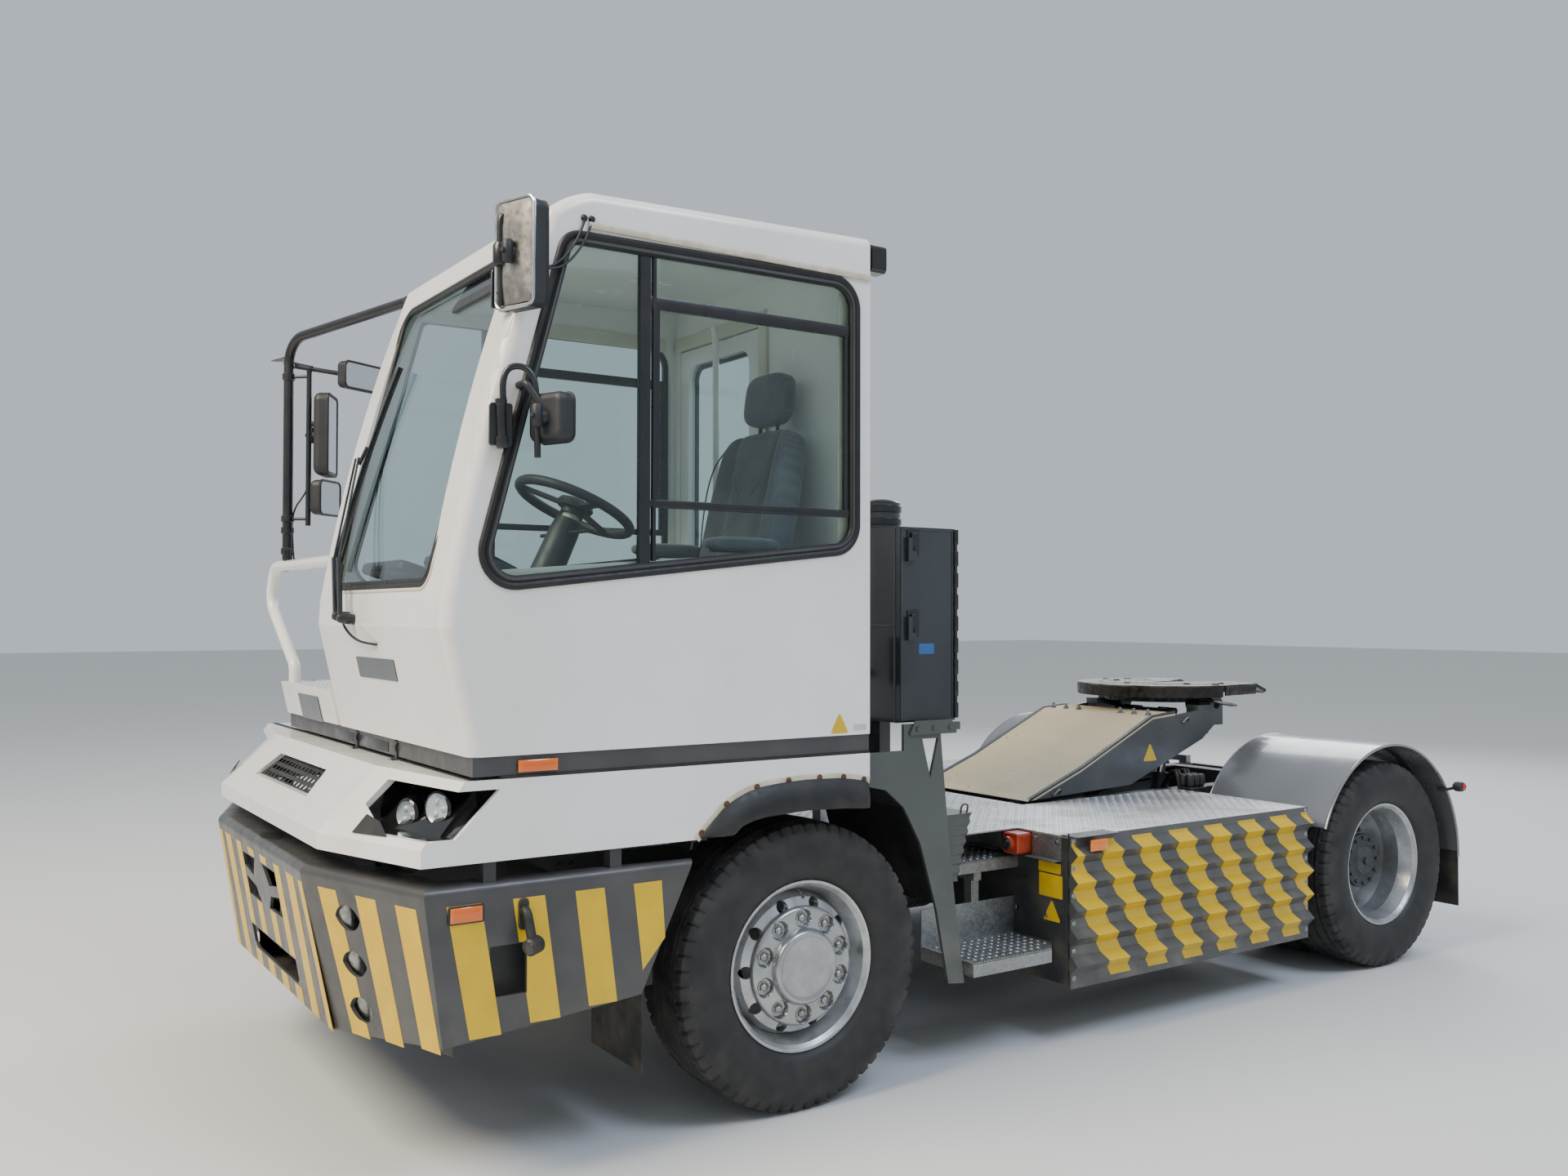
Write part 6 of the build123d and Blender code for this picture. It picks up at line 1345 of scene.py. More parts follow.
class StepsAndDeck(bpy.types.Operator):
    """Raised tread pattern, toothed step edges, and small parts round the steps"""

    bl_idname = "tractor.steps_and_deck"
    bl_label = "Steps and deck"

    def execute(self, context):
        bar_form = tread_bar(24, 7.5, 1.7)
        areas = [
            (BOX_REAR + 8, BOX_FRONT - 4, 432, 1200, DECK_Z),
            (BOX_REAR + 8, BOX_FRONT - 4, -1200, -432, DECK_Z),
            (-515, 568, -428, 428, DECK_Z),
            (BOX_FRONT + 8, 568, 436, 900, DECK_Z),
            (BOX_FRONT + 8, 568, -900, -436, DECK_Z),
            (580, 1000, -535, 535, 1085),
        ]
        fields = [tread_field(*area) for area in areas]
        deck = [np.concatenate([field[i] for field in fields]) for i in (0, 1)]
        walk = tread_field(BODY_REAR + 30, ahead(1170), -900, -190, 1450)
        for name, (one, two), body in (("platform_tread", walk, "cab"), ("deck_tread", deck, "chassis")):
            tread = join(at(bar_form, one, UP, (1, 1, 0)), at(bar_form, two, UP, (1, -1, 0)))
            make(name, tread, "rolled_tread_aluminium", body, smooth=20)
        collar = lathe([(5.5, 0), (6.5, 3.4), (9.5, 3.4), (13, -0.4), (5.5, -0.4), (5.5, 0)], 10)
        rows = []
        for z, outer, inner in TREADS:
            across = np.arange(inner + 34, outer - 20, 38.0)
            x, y = np.meshgrid(np.arange(BOX_FRONT + 40, STEP_FRONT - 30, 38.0), across)
            keep = (y < outer - 70) | (x > BOX_FRONT + 110)
            rows.append(np.stack([x, y, np.full_like(x, z)], -1)[keep])
        collars = both_sides(at(collar, np.concatenate(rows)))
        make("step_collars", collars, "hot_dip_zinc", "chassis", smooth=30)
        x = STEP_FRONT - 3
        saw = [teeth((x, inner + 6, z), (x, outer - 4, z), FORE, 7, 15) for z, outer, inner in TREADS]
        saw += [teeth((BOX_FRONT + 95, 1192, 400), (STEP_FRONT - 6, 1192, 400), LEFT, 7, 15),
                teeth((BOX_FRONT + 6, 907, 722), (STEP_FRONT - 6, 907, 722), LEFT, 7, 15)]
        make("step_teeth", both_sides(*saw), "hot_dip_zinc", "chassis", smooth=20)
        bolt = hexagon_head(9, 7)
        washer = lathe([(13, 0), (12.5, 2.2), (0, 2.2), (0, 0)], 14)
        spots = [(BOX_FRONT + 0.3, y, z) for y, z in ((905, 505), (1080, 505), (660, 800), (880, 800))]
        spots += [(BOX_FRONT + 6.3, y, z) for y, z in ((670, 815), (790, 815), (1020, 815), (1145, 815))]
        bolts = at(join(shift(bolt, z=2), washer), spots, FORE, LEFT)
        make("step_bolts", both_sides(bolts), "zinc_plate", "chassis")
        # Raised front plate of the box, its corner cap and the slots of its hinged guard
        sheet = [(905, 262), (1195, 262), (1195, 738), (968, 738), (968, 640), (905, 640)]
        sheet = at(prism(sheet, -0.5, 2.5, 0.8), (BOX_FRONT, 0, 0), FORE, LEFT)
        cap = shift(prism(rectangle(250, 94, 6), 0, 3.5, 1), BOX_FRONT - 127, 1200, DECK_Z + 0.3)
        make("box_front_plate", both_sides(sheet, cap), "chassis_black", "chassis")
        slots = [plate((6, 64, 2), (-0.5, 1.2), (BOX_FRONT, 1203, z), FORE, LEFT) for z in RIDGE_FLATS]
        make("guard_hinge_slots", both_sides(*slots), "seal_rubber", "chassis")
        # Blank plates on the box front, and the switch's grip
        x = BOX_FRONT + 2.5
        label = [plate((126, 42, 3), BLANK, (x, 1098, 704), FORE, LEFT),
                 plate((132, 94, 3), BLANK, (x, 1104, 630), FORE, LEFT),
                 at(blank_triangle(50, 44, 44), (x, 1110, 530), FORE, LEFT)]
        make("warning_plates", join(*label), "blank_yellow_label", "chassis")
        sign = at(blank_triangle(52, 42, 50), (ahead(-2717), 400, 1032), LEFT, BACK)
        make("boom_warning_plate", both_sides(sign), "blank_yellow_label", "boom")
        sign = at(blank_triangle(40, 36, 38), (ahead(-114), CAB_LEFT, 1358), LEFT, BACK)
        make("cab_warning_plate", sign, "blank_yellow_label", "cab")
        small = plate((56, 22, 3), BLANK, (ahead(-205), CAB_LEFT, 1340), LEFT, BACK)
        make("cab_small_plate", small, "blank_grey_label", "cab")
        grip = join(prism(rectangle(44, 12, 3), 0, 14, 2), lathe([(26, 0), (24, 4), (0, 4), (0, 0)], 28))
        grip = both_sides(at(grip, (BOX_FRONT + 104, 947, 788), FORE, (0, 1, 1)))
        make("switch_grip", grip, "grained_abs", "chassis")
        y, z = 1228.3, 1249.6
        side_seals = both_sides(bar((ahead(1150), y, z), (BODY_REAR, y, z), 9.4, 22, LEFT))
        front_seal = bar((ahead(1232), -1226, 1242), (ahead(1232), 1226, 1242), 12, 22, FORE)
        make("band_seal", join(side_seals, front_seal), "seal_rubber", "chassis")
        handle = ((386, 1050, 950), (378, 1052, 978), (384, 1052, 992), (412, 1052, 988), (416, 1050, 950))
        chock = join(ribbed_wedge(), tube(handle, 4, 8))
        make("ribbed_chock", chock, "grey_green_enamel", "chassis", ["wheel_chock"])
        return {"FINISHED"}


# Boom and coupling

COUPLING_X = ahead(-3250)
COUPLING_TOP = 1365
COUPLING_R = 441
BOOM_LINE = ((-1860, 849), (-1905, 866), (-2220, 982), (-2740, 1216), (-2915, 1230))


class BoomFittings(bpy.types.Operator):
    """Ramp edge strips, studs and hooks, and the grease, bolts and handle of the coupling"""

    bl_idname = "tractor.boom_fittings"
    bl_label = "Boom fittings"

    def execute(self, context):
        line = from_axle(*[(x, 0, z) for x, z in BOOM_LINE])
        strips = [sweep(line + (0, y, 1), rectangle(12, 22, 2, 2), LEFT) for y in (-389, 389)]
        make("ramp_edges", join(*strips), "boom_paint", "boom")
        washer = lathe([(19, 0), (18, 4), (0, 4), (0, 0)], 16)
        stud = lathe([(0, 34), (7, 33), (8, 30), (8, 0), (0, 0)], 12)
        stud = join(stud, shift(hexagon_head(14, 12), z=4), washer)
        studs = at(stud, [(ahead(-2775), y, 1217) for y in (-340, -245, -150, 150, 245, 340)], (0.07, 0, 1))
        make("ramp_studs", studs, "zinc_plate", "boom")
        hook = np.array([(0, 402, 0), (0, 418, 0), (-22, 424, 26), (-48, 418, 22), (-52, 402, 4)])
        hooks = [tube(hook + (ahead(x), 0, z), 4, 8) for x, z in ((-2010, 868), (-2960, 1180))]
        make("boom_hooks", both_sides(*hooks), "zinc_plate", "boom")
        c, top = COUPLING_X, COUPLING_TOP
        # Grease channels are shallow closed ridges of grease on the plate
        t = np.linspace(-2.3, 2.3, 60)
        for name, radius in (("inner", 180), ("outer", 320)):
            arc = np.column_stack([c + radius * np.cos(t), radius * np.sin(t), np.full(60, top - 0.4)])
            ridge = sweep(arc, [(-9, -0.5), (9, -0.5), (7, 1.6), (-7, 1.6)], UP)
            make(f"grease_{name}", ridge, "wet_grease", "coupling")
        a, r = np.linspace(-1.57, 1.57, 72), COUPLING_R
        edge = np.column_stack([c + r * np.cos(a), r * np.sin(a), np.full(72, top - 30)])
        rim = [sweep(edge, [(-5, -34), (1, -34), (3, 24), (-5, 26)], UP)]
        low = top - 32
        rim += [bar((c - 20, side * r, low), (c - 330, side * 400, low), 8, 50, UP) for side in (-1, 1)]
        make("coupling_skirt", join(*rim), "greased_casting", "coupling")
        horn = prism([(0, -70), (120, -56), (150, -20), (150, 20), (120, 56), (0, 70)], -18, 0, 3)
        horns = [at(horn, (c - 425, side * 262, top - 2), (-0.34, 0, 1), (-1, 0, -0.34)) for side in (-1, 1)]
        make("coupling_horns", join(*horns), "greased_casting", "coupling")
        places = ((60, 250), (60, -250), (-120, 330), (-120, -330), (250, 0), (0, 392), (0, -392))
        bolt = join(hexagon_head(15, 8), lathe([(21, 0), (20, 3), (0, 3), (0, 0)], 20))
        bolts = at(bolt, [(c + x, y, top) for x, y in places])
        make("coupling_bolts", bolts, "greased_casting", "coupling")
        jaw = lathe([(45, 0), (78, 0), (86, -8), (86, -44), (78, -50), (45, -50), (45, 0)], 40)
        make("coupling_jaw", shift(jaw, c, 0, top - 40), "bare_steel", "coupling")
        lock = [shift(prism(rectangle(270, 340, 30), top - 82, top - 37, 8), c - 20)]
        rod = np.array([(110, 60, -60), (60, 120, -96), (-60, 130, -98), (-140, 90, -60)])
        lock += [tube(rod * (1, side, 1) + (c, 0, top), 8, 8) for side in (-1, 1)]
        make("coupling_lock", join(*lock), "greased_casting", "coupling")
        stops = [shift(prism(rectangle(84, 360, 12), 1189, 1228, 5), c + 120)]
        coil = [(0, -56)] + [(20 - 7 * (k % 2), 8 * k - 56) for k in range(15)] + [(0, 56)]
        stops += [at(lathe(coil, 16), (c + 66, y, 1214), LEFT) for y in (-120, 120)]
        make("boom_stops", join(*stops), "dip_coat_black", "boom")
        rod = np.array([(60, 200, -66), (60, 330, -74), (58, 452, -86), (40, 500, -96), (8, 506, -100)])
        handle = tube(rod + (c, 0, top), 9, 10)
        eye = np.array([(8, 506, -100), (-34, 502, -104), (-50, 480, -104), (-40, 462, -100), (-8, 462, -96)])
        loop = tube(eye + (c, 0, top), 7, 8)
        make("release_handle", join(handle, loop), "bare_steel", "coupling")
        return {"FINISHED"}


# Locker, mudguards and flaps

LOCKER_FACE = 1118.0
LOCKER_REAR = ahead(-762)
LOCKER_FRONT = ahead(-487)
MUDGUARD_R = 598


def mudguard_arc(radius, y, turns):
    """Arc of a mudguard at a radius, and its outward directions."""
    y = np.full(len(turns), y)
    arc = np.column_stack([REAR_AXLE + radius * np.cos(turns), y, AXLE_Z + radius * np.sin(turns)])
    return arc, np.column_stack([np.cos(turns), np.zeros(len(turns)), np.sin(turns)])


class Lockers(bpy.types.Operator):
    """Locker latches, hinge, canister strap, and the fixings of mudguards and flaps"""

    bl_idname = "tractor.lockers"
    bl_label = "Locker and mudguards"

    def execute(self, context):
        y, x0, x1 = LOCKER_FACE, LOCKER_REAR, LOCKER_FRONT
        knob = lathe([(0, 23), (8, 22), (10, 19), (10, 0), (0, 0)], 20)
        latch = []
        for z in (1708, 2018):
            latch.append(plate((58, 108, 8), (0, 5, 1.5), (x1 - 62, y, z), LEFT, BACK))
            latch.append(plate((30, 74, 6), (4, 17, 3), (x1 - 62, y, z), LEFT, BACK))
            latch.append(at(knob, (x1 - 62, y, z - 24), LEFT))
        make("locker_latches", join(*latch), "satin_black_enamel", "locker_door")
        knuckle = lathe([(0, 30), (9, 29), (10, 26), (10, -26), (9, -29), (0, -30)], 16)
        knuckles = [at(knuckle, (x0, y + 5, z)) for z in np.arange(1372, 2060, 84)]
        make("locker_hinge", join(*knuckles), "satin_black_enamel", "locker_door")
        edge = [bar((x, y + 1, 1340), (x, y + 1, 2070), 8, 5, LEFT) for x in (x0 + 14, x1 - 6)]
        edge += [bar((x0 + 10, y + 1, z), (x1 - 4, y + 1, z), 8, 5, LEFT) for z in (2068, 1342)]
        make("locker_door_edge", join(*edge), "dark_gloss_coat", "locker_door")
        blue = plate((76, 40, 3), (-0.4, 0.9), (x1 - 130, y, 1612), LEFT, BACK)
        make("locker_plate", blue, "blank_blue_label", "locker_door")
        cx, cy = x1 - 110, 870.0
        band = lathe([(72.4, -14), (76, -12), (76, 12), (72.4, 14), (72.4, -14)], 40)
        cap = lathe([(0, 16), (40, 15), (60, 10), (68, 2), (68, -2), (0, -2)], 40)
        canister = join(shift(band, cx, cy, 2110), shift(band, cx, cy, 2160), shift(cap, cx, cy, 2184))
        make("canister_bands", canister, "satin_black_enamel", "chassis")
        gusset = [bar((x1 + 1, y0, 1336), (x1 + 1, y0, 2074), 10, 4, FORE) for y0 in (650, 1086)]
        gusset.append(bar((x1 + 1, 645, 1700), (x1 + 1, 1090, 1700), 14, 4, FORE))
        bracket = prism(rounded([(-120, -30), (120, -30), (90, 24), (-90, 24)], 6, 4), 0, 8, 1.5)
        bracket = at(bracket, (ahead(-620), 1152, 1318), LEFT, BACK)
        bolts = at(hexagon_head(9, 7), [(ahead(-620 + d), 1160, 1312) for d in (-80, 0, 80)], LEFT)
        make("locker_bracket", join(*gusset, bracket, bolts), "grey_green_enamel", "chassis")
        # Rolled edge of the mudguards
        t = np.linspace(radians(22.5), radians(181.5), 90)
        r = MUDGUARD_R
        beads = []
        for y_edge in (1250.0, 560.0):
            arc, radial = mudguard_arc(r, y_edge, t)
            beads.append(sweep(arc - radial * 4, ring(6.5, 8), radial))
        make("mudguard_beads", both_sides(*beads), "silver_grey_metallic", "chassis")
        straps = []
        for y_edge in (700.0, 1100.0):
            arc, radial = mudguard_arc(r - 11, y_edge, t)
            straps.append(sweep(arc, rectangle(40, 5, 1.5, 2), radial))
        make("mudguard_stays", both_sides(*straps), "chassis_black", "chassis")
        head = join(hexagon_head(8, 6), lathe([(14, 0), (13, 2), (0, 2), (0, 0)], 14))
        rear = at(head, [(REAR_AXLE - r - 8, y, 618) for y in (640, 800, 960, 1120, 1210)], BACK, LEFT)
        front = at(head, [(ahead(634), y, 575) for y in (830, 960, 1090)], FORE, LEFT)
        make("flap_bolts", both_sides(rear, front), "zinc_plate", "chassis")
        x = REAR_AXLE - r - 10
        clamps = [bar((x, 610, 618), (x, 1240, 618), 5, 34, UP),
                  bar((ahead(636), 806, 575), (ahead(636), 1164, 575), 4, 26, UP)]
        make("flap_clamps", both_sides(*clamps), "chassis_black", "chassis")
        return {"FINISHED"}


# Underbody

def can(radius, half, lip=6.0):
    """Pressed can with domed ends and a clamping band round its middle."""
    side = [(0, half), (radius * 0.75, half - 3), (radius - 2, half - 22), (radius - 2, 8), (radius + lip, 7)]
    return lathe(side + [(r, -z) for r, z in side[::-1]], 32)


MOTOR_X = ahead(-1230)
MOTOR_Z = AXLE_Z + 30


class Underbody(bpy.types.Operator):
    """Brake chambers, dampers, tank straps, motor ribs, cables, shaft flanges, valves and hoses"""

    bl_idname = "tractor.underbody"
    bl_label = "Underbody"

    def execute(self, context):
        damper = [(0, 150), (26, 150), (30, 140), (30, 66), (22, 60)]
        damper += [(22, -60), (30, -66), (30, -96), (0, -96)]
        chambers = [at(can(72, 62), (ahead(-114), 640, 500), FORE),
                    at(can(72, 84), (REAR_AXLE - 166, 484, 560), FORE),
                    at(lathe(damper, 20), (ahead(140), 452, 545), (0.3, 0, 1), LEFT)]
        make("brake_chambers", both_sides(*chambers), "dip_coat_black", "chassis")
        band = lathe([(110.4, -12), (114, -11), (114, 11), (110.4, 12), (110.4, -12)], 48)
        end = lathe([(0, 22), (50, 19), (88, 11), (106, 0), (106, -4), (0, -4)], 40)
        straps = [at(band, (ahead(-560), y, 470), LEFT) for y in (90, 250)]
        straps += [at(end, (ahead(-560), 320, 470), LEFT),
                   at(hexagon_head(16, 18), (ahead(-560), 170, 361), DOWN)]
        make("tank_straps", both_sides(*straps), "zinc_plate", "chassis")
        rib = lathe([(203, -5), (213, -3), (213, 3), (203, 5), (203, -5)], 64)
        spots = [(MOTOR_X + d, 0, MOTOR_Z) for d in np.arange(-252, 260, 36.0)]
        ribs = at(rib, spots, FORE, UP)
        bell = lathe([(0, 26), (70, 26), (96, 14), (196, 8), (203, 0), (203, -4), (0, -4)], 64)
        bell = join(bell, around(hexagon_head(11, 9), 182, 10, 9))
        box = shift(prism(rectangle(250, 300, 20), 0, 58, 6), MOTOR_X + 40, 0, MOTOR_Z + 200)
        bell = at(bell, (MOTOR_X + 320, 0, MOTOR_Z), FORE)
        make("motor_ribs", join(ribs, bell, box), "cast_aluminium", "chassis")
        z = MOTOR_Z + 232
        line = np.array([(0, 120, z), (0, 240, z + 4), (30, 330, 740), (40, 452, 722)])
        cables = [tube(line + (MOTOR_X + d, 0, 0), 12, 10) for d in (-20, 20, 60, 100)]
        make("motor_cables", both_sides(*cables), "orange_sheath", "chassis")
        bolt = hexagon_head(9, 8)
        flange = lathe([(0, -11), (84, -10), (88, -6), (88, 6), (84, 10), (0, 11)], 40)
        flange = join(flange, around(bolt, 68, 8, 10))
        way = np.array([REAR_AXLE + 335 - MOTOR_X + 310, 0, -30.0])
        cover = lathe([(148, -7), (168, -6), (168, 6), (148, 12), (148, -7)], 48)
        ends = [
            at(flange, (MOTOR_X - 345, 0, AXLE_Z + 29), way),
            at(flange, (REAR_AXLE + 345, 0, AXLE_Z + 1), -way),
            at(join(cover, around(bolt, 159, 14, 9)), (REAR_AXLE - 128, 0, AXLE_Z), BACK),
        ]
        make("shaft_flanges", join(*ends), "dip_coat_black", "chassis")
        # Lifting valves on the left rail and their hoses to the cylinders
        bank = [shift(prism(rectangle(130, 92, 8), 660, 850, 5), ahead(-2960), 470)]
        coil = lathe([(0, 66), (15, 64), (20, 56), (20, 10), (14, 6), (14, 0), (0, 0)], 16)
        bank += [shift(coil, ahead(-2960 + a), 470 + b, 850) for a in (-42, 0, 42) for b in (-22, 22)]
        make("lifting_valves", join(*bank), "dip_coat_black", "chassis")
        hoses = []
        rise = np.array([(-2900, 440, 800), (-2890, 436, 900), (-2900, 405, 935), (-2930, 340, 900)])
        for d, side in ((0, 1), (24, 1), (70, -1), (96, -1)):
            line = from_axle(*(rise - (d, 0, 0)), (-2960, side * 235, 760), (-2985, side * 235, 640))
            hoses.append(tube(line, 9, 8))
        for y, r in ((356, 7), (374, 9), (392, 6)):
            rear = [(-2600, y, 612), (-2000, y, 616), (-1300, y - 6, 622)]
            hoses.append(tube(from_axle(*rear, (-700, y, 616), (-100, y, 620), (600, y, 616)), r, 8))
        hoses.append(other_side(join(*hoses[4:])))
        make("frame_hoses", join(*hoses), "seal_rubber", "chassis")
        stations = (ahead(560), ahead(-640), ahead(-1670), REAR_AXLE - 330)
        rows = [(x + d, 415.3, z) for x in stations for d in (-26, 26) for z in (742, 796)]
        bolts = both_sides(at(hexagon_head(12, 9), rows, LEFT))
        make("frame_bolts", bolts, "chassis_black", "chassis")
        return {"FINISHED"}


# Rear of the cab

class CabRear(bpy.types.Operator):
    """Door handle and lock, rear lamp faces, roof seam, louvres and handrail"""

    bl_idname = "tractor.cab_rear"
    bl_label = "Rear of the cab"

    def execute(self, context):
        x = BODY_REAR
        handle = [plate((150, 44, 14), (0, 8, 2), (x, 508, 1820), BACK, UP),
                  plate((120, 22, 8), (18, 30, 4), (x, 508, 1824), BACK, UP),
                  plate((20, 22, 4), (4, 24, 1), (x, 508, 1874), BACK, UP),
                  at(lathe([(0, 12), (9, 11), (11, 8), (11, 0), (0, 0)], 20), (x - 6, 508, 1764), BACK)]
        make("door_handle", join(*handle), "grained_abs", "cab_door")
        line = ((0, 1500), (-62, 1504), (-70, 1560), (-70, 2440), (-62, 2496), (0, 2500))
        rail = tube([(x + out, 640, z) for out, z in line], 14, 12, (0.05, 1, 0))
        make("rear_handrail", rail, "satin_black_enamel", "cab")
        faces = [at(ribbed_lens(68, 82, 7), (ahead(-331.5), y, 3042), BACK, LEFT) for y in (1192, -112)]
        make("work_lamp_lenses", join(*faces), "bright_aluminium", "cab")
        seam = [bar((x - 1, CAB_RIGHT + 30, 2958), (x - 1, CAB_LEFT - 30, 2958), 22, 8, BACK, 3)]
        make("rear_drip_rail", join(*seam), "white_enamel", "cab")
        rows = np.arange(1480, 1640, 18)
        louvres = [plate((300, 9, 3), (-1, 5, 1.5), (x, 925, z), BACK, LEFT) for z in rows]
        louvres.append(plate((336, 196, 12), (-1, 2, 0.8), (x, 925, 1552), BACK, LEFT))
        make("heater_louvres", join(*louvres), "grained_abs", "cab")
        bolts = [(x + 30 + i * 275, y, 1450) for i in range(6) for y in (-890, -205)]
        bolt = join(dome_head(9, 5), lathe([(14, 0), (13, 2), (0, 2)], 14))
        make("platform_bolts", at(bolt, bolts), "zinc_plate", "cab")
        return {"FINISHED"}


# Mirrors

def turned(angle):
    """Unit vectors of a mirror shell turned about the upright: its front, then its width."""
    a = radians(angle)
    return np.array([np.cos(a), np.sin(a), 0]), np.array([-np.sin(a), np.cos(a), 0])


# Mirror shells: centre ahead, y, z, width, height, depth, turn
LEFT_MIRRORS = ((1125, 1320, 2818, 160, 323, 60, 20), (1035, 1330, 2336, 150, 150, 55, 20))
RIGHT_MIRRORS = (
    (1130, -830, 2512, 190, 355, 62, -27), (1130, -830, 2240, 170, 150, 55, -45),
    (1000, -760, 2765, 240, 116, 50, -60),
)
POLE_X = ahead(1262)
POLE_Y = -912.0


def mirror_parts(table):
    """Glass, rim and clamp of each mirror."""
    glass, rims, clamps = [], [], []
    for x, y, z, w, h, d, turn in table:
        front, across = turned(turn)
        centre = np.array([ahead(x), y, z])
        outline = oblong(w / 2, h / 2, 24, 6)
        face = centre - front * (d / 2)
        glass.append(at(prism(outline * 0.9, -0.5, 2.0), face, -front, across))
        loop = face + outline[:, :1] * across * 0.955 + outline[:, 1:] * np.array(UP) * 0.965
        rims.append(sweep(loop, ring(6, 8), -front, closed=True))
        back = centre + front * (d / 2 - 4)
        foot = lathe([(0, 26), (14, 25), (18, 20), (22, 4), (30, -8), (0, -8)], 20)
        clamps.append(at(foot, back, front, UP))
        post = lathe([(0, 34), (13, 34), (17, 28), (17, -28), (13, -34), (0, -34)], 16)
        clamps.append(at(post, back + front * 30, UP, front))
        clamps.append(at(hexagon_head(8, 8), back + front * 46, front, UP))
    return join(*glass), join(*rims), join(*clamps)


class Mirrors(bpy.types.Operator):
    """Mirror glass, rims, clamps, dampers and cables"""

    bl_idname = "tractor.mirrors"
    bl_label = "Mirrors"

    def execute(self, context):
        for word, table in (("left", LEFT_MIRRORS), ("right", RIGHT_MIRRORS)):
            glass, rims, clamps = mirror_parts(table)
            make(f"mirror_glass_{word}", glass, "mirror_glass", "cab")
            make(f"mirror_rims_{word}", rims, "seal_rubber", "cab")
            make(f"mirror_clamps_{word}", clamps, "grained_abs", "cab")
        # Silver back of the upper left mirror: a dome that falls as the fourth power, in a bright rim
        x, y, z, w, h, d, turn = LEFT_MIRRORS[0]
        front, across = turned(turn)
        u, v = np.meshgrid(np.linspace(-1, 1, 25), np.linspace(-1, 1, 41), indexing="ij")
        rise = d / 2 + 1.5 + 9 * (1 - u ** 4) * (1 - v ** 4)
        half = np.minimum(1, 1 - 0.1 * np.maximum(np.abs(v) - 0.86, 0) / 0.14)
        centre = np.array([ahead(x), y, z])
        high = np.array(UP)
        dome = centre + (u * half * w * 0.47)[..., None] * across + (v * h * 0.47)[..., None] * high
        dome = slab(dome + rise[..., None] * front, dome + front * d * 0.3)
        make("mirror_back_left", dome, "stained_silver", "cab")
        outline = rectangle(w, h, 24, 6)
        loop = centre + front * (d / 2 - 2) + outline[:, :1] * across + outline[:, 1:] * high
        rim = sweep(loop, ring(6, 8), front, closed=True)
        make("mirror_rim_left", rim, "bright_aluminium", "cab")
        parts = []
        for x, z_low, z_high, y in ((1128, 2670, 2810, 1190), (1161, 2240, 2388, 1262)):
            h = z_high - z_low
            damper = [(0, 0), (17, 0), (20, 6), (20, 34), (15, 36)]
            damper += [(15, h - 20), (18, h - 16), (18, h), (0, h)]
            parts.append(at(lathe(damper, 20), (ahead(x), y + 8, z_low), (0.05, 0, 1)))
            middle = (ahead(x + 2), y - 4, (z_low + z_high) / 2)
            parts.append(plate((70, h - 20, 8), (-16, 2, 2), middle, (0.2, 1, 0), (-1, 0.2, 0)))
        # The hooked arm of the lower mirror and the rod of the upper one
        hooked = ((1161, 1270, 2386), (1164, 1270, 2440), (1150, 1274, 2484), (1112, 1288, 2492),
                  (1082, 1302, 2470), (1072, 1312, 2420), (1070, 1318, 2214))
        rod = ((1176, 1284, 2664), (1178, 1284, 2800), (1180, 1284, 2915), (1174, 1286, 2936),
               (1162, 1292, 2930), (1156, 1296, 2880))
        parts += [tube(from_axle(*line), 10, 12) for line in (hooked, rod)]
        parts += [bar((ahead(1128), 1198, z), (ahead(1178), 1284, z + 12), 22, 9, UP) for z in (2690, 2792)]
        barrel = lathe([(0, 34), (19, 34), (23, 26), (23, -26), (19, -34), (0, -34)], 18)
        parts.append(at(barrel, (ahead(1178), 1284, 2818)))
        parts.append(bar((ahead(1178), 1286, 2818), (ahead(1150), 1306, 2818), 26, 26, UP, 9))
        make("mirror_arms", join(*parts), "satin_black_enamel", "cab")
        line = np.array([(0, 2, 2988), (4, 8, 2970), (40, 14, 2890), (110, 22, 2812), (190, 34, 2800)])
        cables = [tube(line + (ahead(x), CAB_LEFT, 0), 4, 8) for x in (884, 858)]
        gland = lathe([(0, 10), (8, 9), (10, 5), (12, 0), (0, 0)], 16)
        glands = [at(gland, (ahead(x), CAB_LEFT + 0.5, 2989), LEFT) for x in (884, 858)]
        make("mirror_cables", join(*cables, *glands), "seal_rubber", "cab")
        # Right side: clamp at the pole's foot and the flat bracket with rods at its top
        px, py = POLE_X, POLE_Y
        foot = [plate((70, 104, 8), (-8, 8, 2), (px + 2, py, 1975), FORE, LEFT)]
        collar = lathe([(22, -16), (27, -12), (27, 12), (22, 16), (22, -16)], 24)
        foot += [at(collar, (px, py, z)) for z in (2010, 2100, 2150, 2765)]
        bolt = hexagon_head(8, 7)
        foot += [at(bolt, (px + 10, py + dy, z), FORE, UP) for dy in (-22, 22) for z in (1942, 2004)]
        foot.append(bar((px, py - 10, 2850), (px + 6, py - 210, 2866), 44, 5, UP))
        foot.append(plate((50, 26, 5), (-10, 10, 2), (px, py - 26, 2834), UP, LEFT))
        stay = [(px + 2, py - 40, 2842), (px - 20, py + 60, 2815), (px - 60, py + 150, 2792)]
        foot.append(tube(stay, 5, 8, rounds=1))
        upper = [(ahead(1192), -850, 2300), (ahead(1200), -862, 2260)]
        lower = [(px - 14, py + 8, 2180), (px - 22, py + 4, 2020), (px - 26, py + 30, 1930)]
        foot.append(tube(upper + lower, 4, 8))
        make("pole_clamps", join(*foot), "satin_black_enamel", "cab")
        return {"FINISHED"}


# Cab interior

